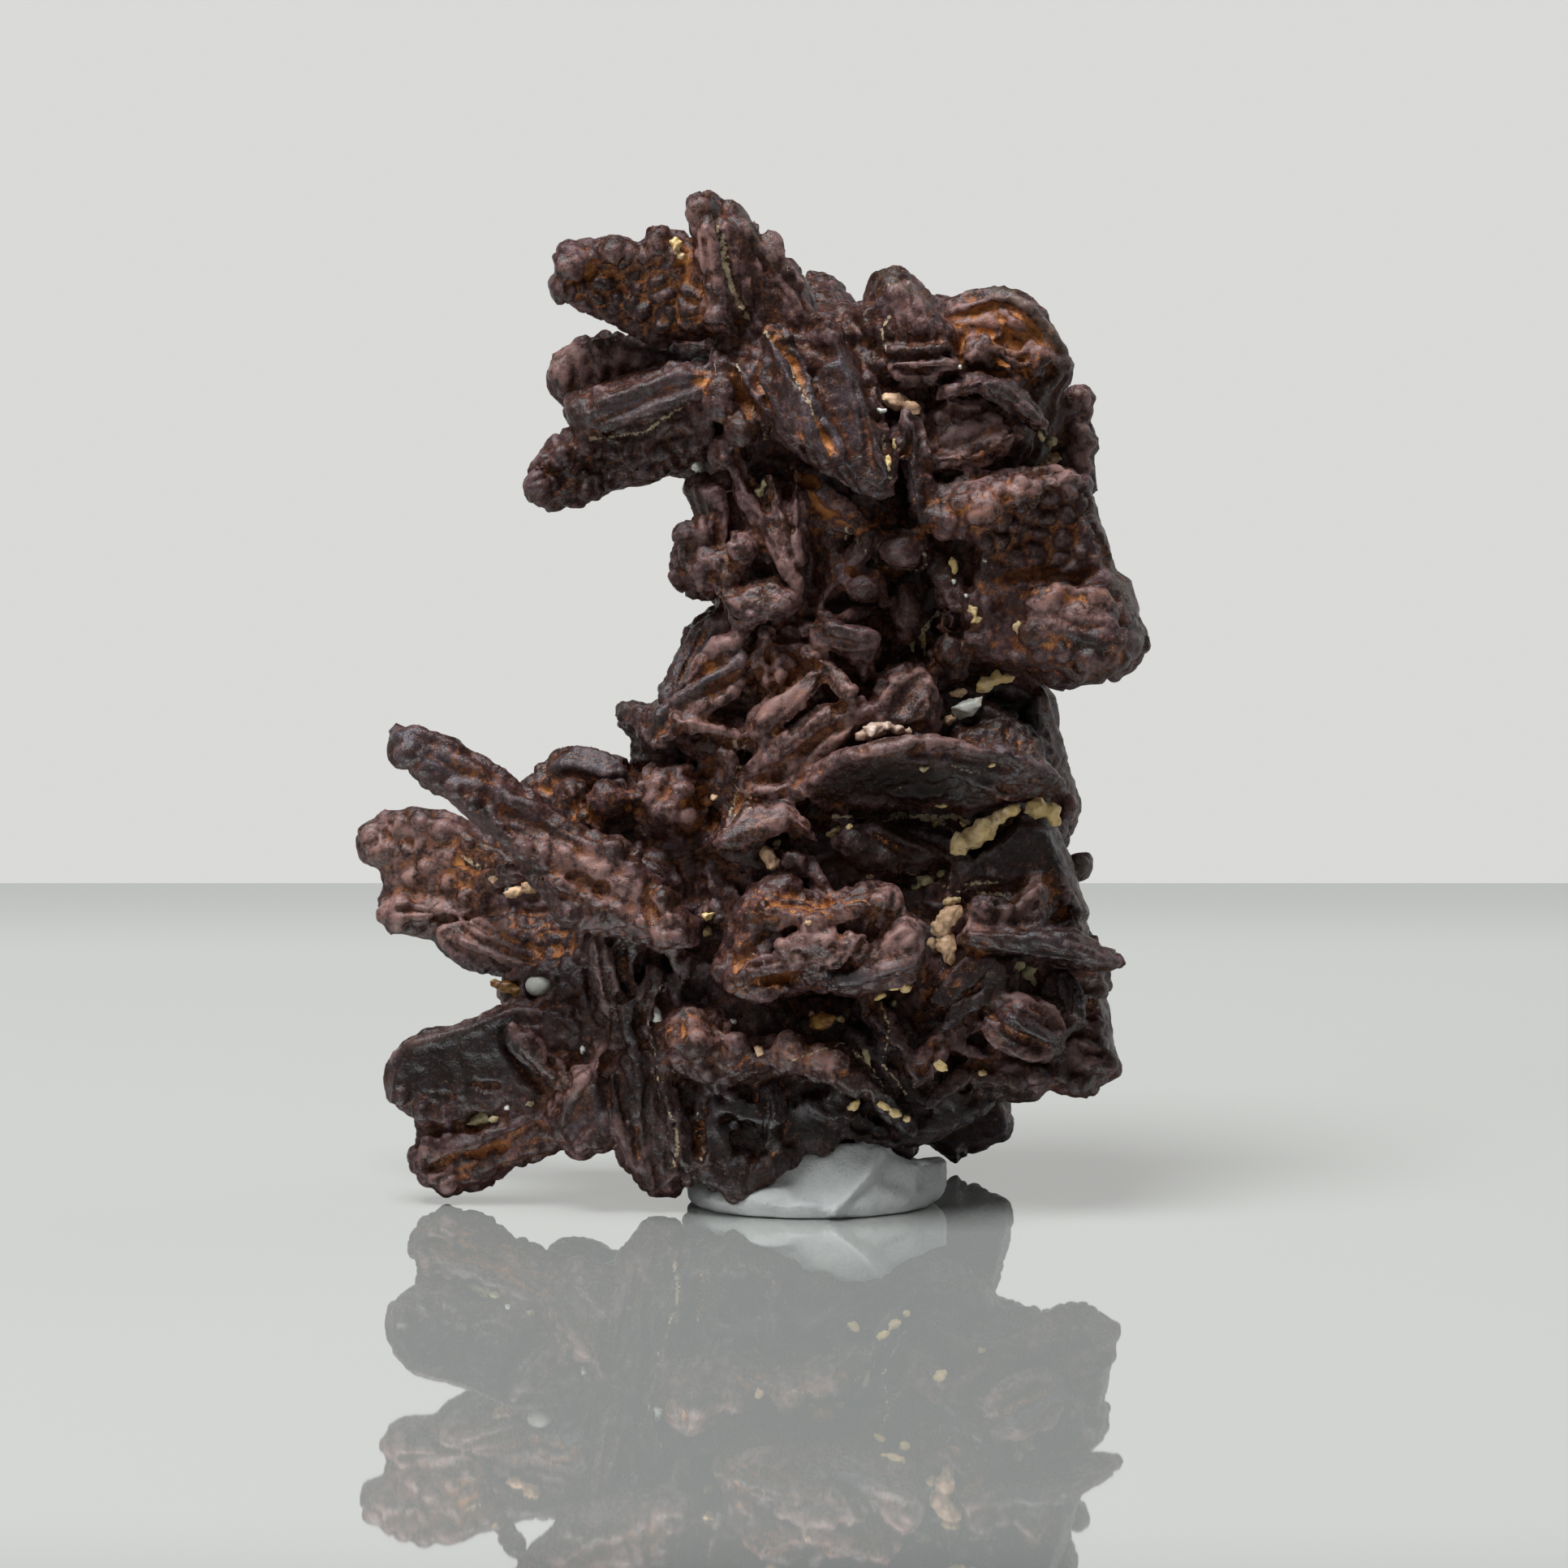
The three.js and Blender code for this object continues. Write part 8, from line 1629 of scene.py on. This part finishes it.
# Clear and cloudy body colours, stain colour and roughness of each kind.
grain_kinds = {
    "grain_white": ((0.62, 0.62, 0.56), (0.50, 0.50, 0.45), (0.42, 0.31, 0.20), 0.35),
    "grain_pearl": ((0.48, 0.36, 0.28), (0.40, 0.26, 0.19), (0.26, 0.14, 0.08), 0.4),
    "grain_cream": ((0.60, 0.42, 0.17), (0.64, 0.49, 0.27), (0.27, 0.13, 0.04), 0.42),
    "grain_amber": ((0.34, 0.19, 0.045), (0.19, 0.075, 0.02), (0.06, 0.022, 0.009), 0.3),
    "grain_tan": ((0.60, 0.40, 0.24), (0.52, 0.33, 0.20), (0.24, 0.11, 0.05), 0.5),
    "grain_olive": ((0.30, 0.25, 0.13), (0.36, 0.30, 0.17), (0.10, 0.055, 0.02), 0.6),
}
grain_finishes = {kind: grain_finish(kind, *row) for kind, row in grain_kinds.items()}

# Grains that the part names: node, finish, unevenness, depth of the node, lumps.
named_grains = [
    ("sand_bead_left", "grain_white", 0.02, 2.6, [(-16.8, 13.0, 0.86, 0.72, 0)]),
    ("amber_chip_left", "grain_amber", 0.16, 1.8,
     [(-18.9, 12.95, 0.95, 0.42, -10), (-18.1, 12.6, 0.6, 0.38, 12), (-19.4, 13.1, 0.45, 0.3, 0)]),
    ("rock_crumb_waist", "grain_cream", 0.11, 5.2,
     [(9.2, 21.65, 0.75, 0.72, 20), (9.9, 22.15, 0.85, 0.72, 35), (10.6, 22.7, 0.95, 0.66, 38),
      (11.6, 23.4, 0.8, 0.42, 38), (12.4, 23.8, 0.55, 0.45, 20)]),
    ("rock_crumb_right_edge", "grain_cream", 0.13, 4.2,
     [(13.9, 23.85, 0.75, 0.6, -10), (14.8, 23.6, 0.55, 0.6, 0), (15.2, 23.1, 0.32, 0.4, 0)]),
    ("sand_tooth_right", "grain_white", 0.1, 3.8,
     [(9.6, 30.15, 0.95, 0.5, 20), (9.1, 29.9, 0.5, 0.4, 0)]),
    ("rock_crumb_under_plate", "grain_cream", 0.14, 3.4,
     [(10.7, 31.5, 0.7, 0.5, 20), (11.4, 31.9, 0.45, 0.4, 0), (12.0, 31.8, 0.42, 0.36, 0)]),
    ("sand_bead_shelf", "grain_pearl", 0.14, 7.4,
     [(3.9, 28.7, 0.78, 0.66, 10), (4.8, 28.95, 0.32, 0.28, 0), (5.4, 28.7, 0.36, 0.28, 0),
      (6.0, 28.6, 0.26, 0.22, 0), (3.1, 28.3, 0.4, 0.35, 0)]),
    ("rock_crumb_centre", "grain_tan", 0.16, 7.6,
     [(-2.75, 21.05, 0.6, 0.6, 20), (-2.3, 20.5, 0.5, 0.42, 0)]),
    ("rock_crumb_beside_spike", "grain_tan", 0.2, 7.0,
     [(8.5, 17.3, 1.0, 0.62, 25), (8.0, 16.5, 0.65, 0.6, 0), (8.2, 15.6, 0.5, 0.6, 10),
      (8.6, 14.9, 0.42, 0.5, 0)]),
    ("rock_crumb_under_ridges", "grain_cream", 0.14, 8.0,
     [(5.1, 13.05, 0.8, 0.42, 8), (5.8, 12.8, 0.4, 0.3, 0), (4.2, 12.3, 0.42, 0.24, 20)]),
    ("amber_grain_low", "grain_amber", 0.12, 8.0, [(0.6, 10.75, 0.75, 0.62, 0)]),
    ("rock_crumb_low_left", "grain_olive", 0.12, 3.4,
     [(-20.9, 4.6, 0.55, 0.3, 0), (-20.2, 4.85, 0.5, 0.36, 0), (-19.6, 4.7, 0.32, 0.22, 0)]),
    ("rock_crumb_high", "grain_tan", 0.12, 4.4,
     [(5.3, 48.9, 0.9, 0.5, -8), (6.2, 48.6, 0.6, 0.42, -20), (4.6, 49.2, 0.4, 0.24, 0)]),
]
for order, (node, finish, unevenness, out, parts) in enumerate(named_grains):
    grain = make_crumb(f"{node}_grown", parts, unevenness, out, seed=order)
    grain.data.materials.append(grain_finishes[finish])
    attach(grain, "root")
    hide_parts(node)

# Smaller crumbs that are not parts of their own, most under 1.2 mm long and the longest 2.4 mm:
# lumps [across, up, half width, half height, turn] by colour.
small_crumbs = {
    "grain_white": [
        (-7, 45.1, 0.42, 0.4, 0), (4.3, 48.4, 0.3, 0.2, 0), (9.1, 51.1, 0.2, 0.18, 0),
        (8.7, 37.9, 0.18, 0.16, 0), (9.5, 37, 0.14, 0.13, 0), (10.6, 39.2, 0.16, 0.16, 0),
        (-18.6, 18.9, 0.35, 0.28, 10), (-4.9, 10.8, 0.22, 0.2, 0), (-9.6, 11.1, 0.42, 0.52, 0),
        (-18.8, 5.4, 0.24, 0.2, 0), (-14.1, 9, 0.2, 0.24, 0), (6.5, 28.4, 0.24, 0.18, 0),
    ],
    "grain_cream": [
        (-8.4, 58.5, 0.35, 0.5, 0), (-8.1, 58, 0.25, 0.2, 0), (8.75, 38.8, 0.24, 0.55, 8),
        (9.9, 36.1, 0.45, 0.3, -40), (10.2, 35.5, 0.3, 0.25, 0), (12.7, 35.1, 0.3, 0.42, 0),
        (1.5, 22.4, 0.5, 0.36, 30), (7.6, 23, 0.32, 0.26, 0), (8.6, 18.2, 0.5, 0.26, 10),
        (-2.2, 21.7, 0.3, 0.26, 0), (4.4, 5.6, 0.4, 0.24, -30), (5.1, 5.1, 0.45, 0.26, -30),
        (5.8, 4.8, 0.3, 0.2, 0), (2.6, 5.6, 0.55, 0.28, 40), (-6.5, 17.2, 0.36, 0.3, 0),
        (-6.4, 16.3, 0.3, 0.4, 0), (5.1, 46.2, 0.2, 0.5, 5), (4.7, 45.2, 0.2, 0.6, -8),
        (1.8, 10.9, 0.26, 0.2, 0), (10.6, 7.6, 0.3, 0.26, 0), (7.9, 8, 0.4, 0.36, 0),
        (6.9, 34.6, 0.16, 0.7, 5), (11.1, 26.6, 0.3, 0.16, 0), (8.1, 24.1, 0.5, 0.2, -5),
        (2.3, 22.8, 0.2, 0.16, 0), (9.3, 22.9, 0.3, 0.2, 10),
    ],
    "grain_tan": [
        (15, 45.5, 0.8, 0.4, 0), (14.2, 45.2, 0.4, 0.3, 0), (9, 31, 0.7, 0.34, 15),
        (8.5, 29.3, 0.4, 0.26, 0), (7.4, 15.7, 0.3, 0.3, 0), (-17.3, 19, 0.5, 0.42, 0),
        (-18.3, 18.7, 0.8, 0.36, 15), (-0.2, 16.9, 0.2, 0.16, 0), (0, 11.2, 0.26, 0.2, 0),
        (-3.3, 9, 0.3, 0.36, 0), (-19.6, 19.6, 0.3, 0.24, 20), (3.5, 19.7, 0.6, 0.2, 25),
        (-6, 24.6, 0.2, 0.2, 0),
    ],
    "grain_olive": [
        (-3.2, 43.4, 0.3, 0.28, 0), (-2.9, 43.9, 0.18, 0.24, 0), (14.7, 46.5, 0.4, 0.3, 0),
        (14.2, 46.9, 0.3, 0.4, 0), (13.3, 13.8, 0.5, 0.42, 0), (12.8, 14.3, 0.35, 0.3, 0),
        (13.7, 13.2, 0.3, 0.26, 0), (7, 19.5, 0.6, 0.42, 0), (8, 19.9, 0.4, 0.32, 0),
        (6.4, 19.1, 0.3, 0.24, 0), (6.2, 34, 0.2, 0.6, 8), (5, 11.9, 0.28, 0.26, 0),
        (-17.4, 5.7, 0.3, 0.16, 20), (3.4, 8.6, 0.18, 0.5, 20), (6.9, 26.4, 0.3, 0.14, 0),
    ],
}
first_seed, small_unevenness, small_fineness = 20, 0.2, 0.45
for order, (finish, parts) in enumerate(small_crumbs.items()):
    name, seed = finish.replace("grain", "crumbs"), first_seed + order
    spread = make_crumb(name, parts, small_unevenness, fineness=small_fineness, seed=seed)
    spread.data.materials.append(grain_finishes[finish])
    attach(spread, "root")

# ---------- the floor and the light ----------
# A pale, polished square table top in a room that is pale behind it and dark above and in
# front, lit by wide soft lamps.

half_table, fade_from = 0.127, 0.092
table_top = bpy.data.objects.new("table_top", bpy.data.meshes.new("table_top"))
table_top.data.from_pydata(
    [
        (-half_table, -half_table, 0),
        (half_table, -half_table, 0),
        (half_table, half_table, 0),
        (-half_table, half_table, 0),
    ],
    [],
    [(0, 1, 2, 3)],
)
polished = Finish("polished_top")
from_middle = polished.node(
    "ShaderNodeVectorMath", {"operation": "ABSOLUTE"}, {0: polished.place(1.0)}
)
x, y = (polished.node("ShaderNodeSeparateXYZ", {}, {0: from_middle}, output=k) for k in (0, 1))
# Painted shade: the table darkens towards its edges, where the light falls off.
near_edge = polished.between(x.math("MAXIMUM", y), fade_from, half_table)
table_colour = polished.mix(near_edge, (0.340, 0.347, 0.328), (0.19, 0.20, 0.19))
matte = polished.node("ShaderNodeBsdfDiffuse", {}, {"Color": table_colour})
mirror = polished.node(
    "ShaderNodeBsdfAnisotropic", {}, {"Color": (0.97, 0.98, 0.96, 1), "Roughness": 0.02}
)
polish = polished.node("ShaderNodeMixShader", {}, {0: 0.58, 1: matte, 2: mirror})
polished.tree.links.new(
    polish.socket, polished.tree.nodes["Material Output"].inputs["Surface"]
)
table_top.data.materials.append(polished.material)
bpy.context.scene.collection.objects.link(table_top)

room = bpy.data.worlds.new("room")
room.use_nodes = True
air = room.node_tree
pale, dim, dark = (0.70, 0.70, 0.685, 1), (0.24, 0.24, 0.24, 1), (0.03, 0.03, 0.03, 1)
direction = add_node(air, "ShaderNodeTexCoord", output=0)
backwards = add_node(air, "ShaderNodeSeparateXYZ", {}, {0: direction}, output=1)
rise = add_node(air, "ShaderNodeSeparateXYZ", {}, {0: direction}, output=2)


def fading(value, low, high, a, b):
    """Colour a where the value is under low, fading to colour b over high."""
    ends = {"Value": value, "From Min": low, "From Max": high}
    share = add_node(air, "ShaderNodeMapRange", {"interpolation_type": "SMOOTHSTEP"}, ends)
    return add_node(air, "ShaderNodeMix", {"data_type": "RGBA"}, {0: share, 6: a, 7: b}, 2)


around = fading(backwards, 0.55, 0.9, dim, pale)
shade = fading(rise, 0.22, 0.42, around, dark)
air.links.new(shade.socket, air.nodes["Background"].inputs["Color"])
bpy.context.scene.world = room


def lamp(name, spot, aim, size, power):
    light = bpy.data.lights.new(name, "AREA")
    light.shape, light.size, light.energy = "DISK", size, power
    light.color = (0.94, 0.97, 1.0)
    holder = bpy.data.objects.new(name, light)
    holder.location = spot
    holder.rotation_euler = (Vector(aim) - Vector(spot)).to_track_quat("-Z", "Y").to_euler()
    bpy.context.scene.collection.objects.link(holder)


lamp("overhead", (-0.14, -0.14, 0.6), (0, 0, 0.03), 0.32, 6.9)
lamp("front_left", (-0.5, -0.45, 0.5), (0, 0, 0.03), 0.3, 1.0)
lamp("right_rim", (0.5, 0.2, 0.35), (0, 0, 0.03), 0.3, 0.9)
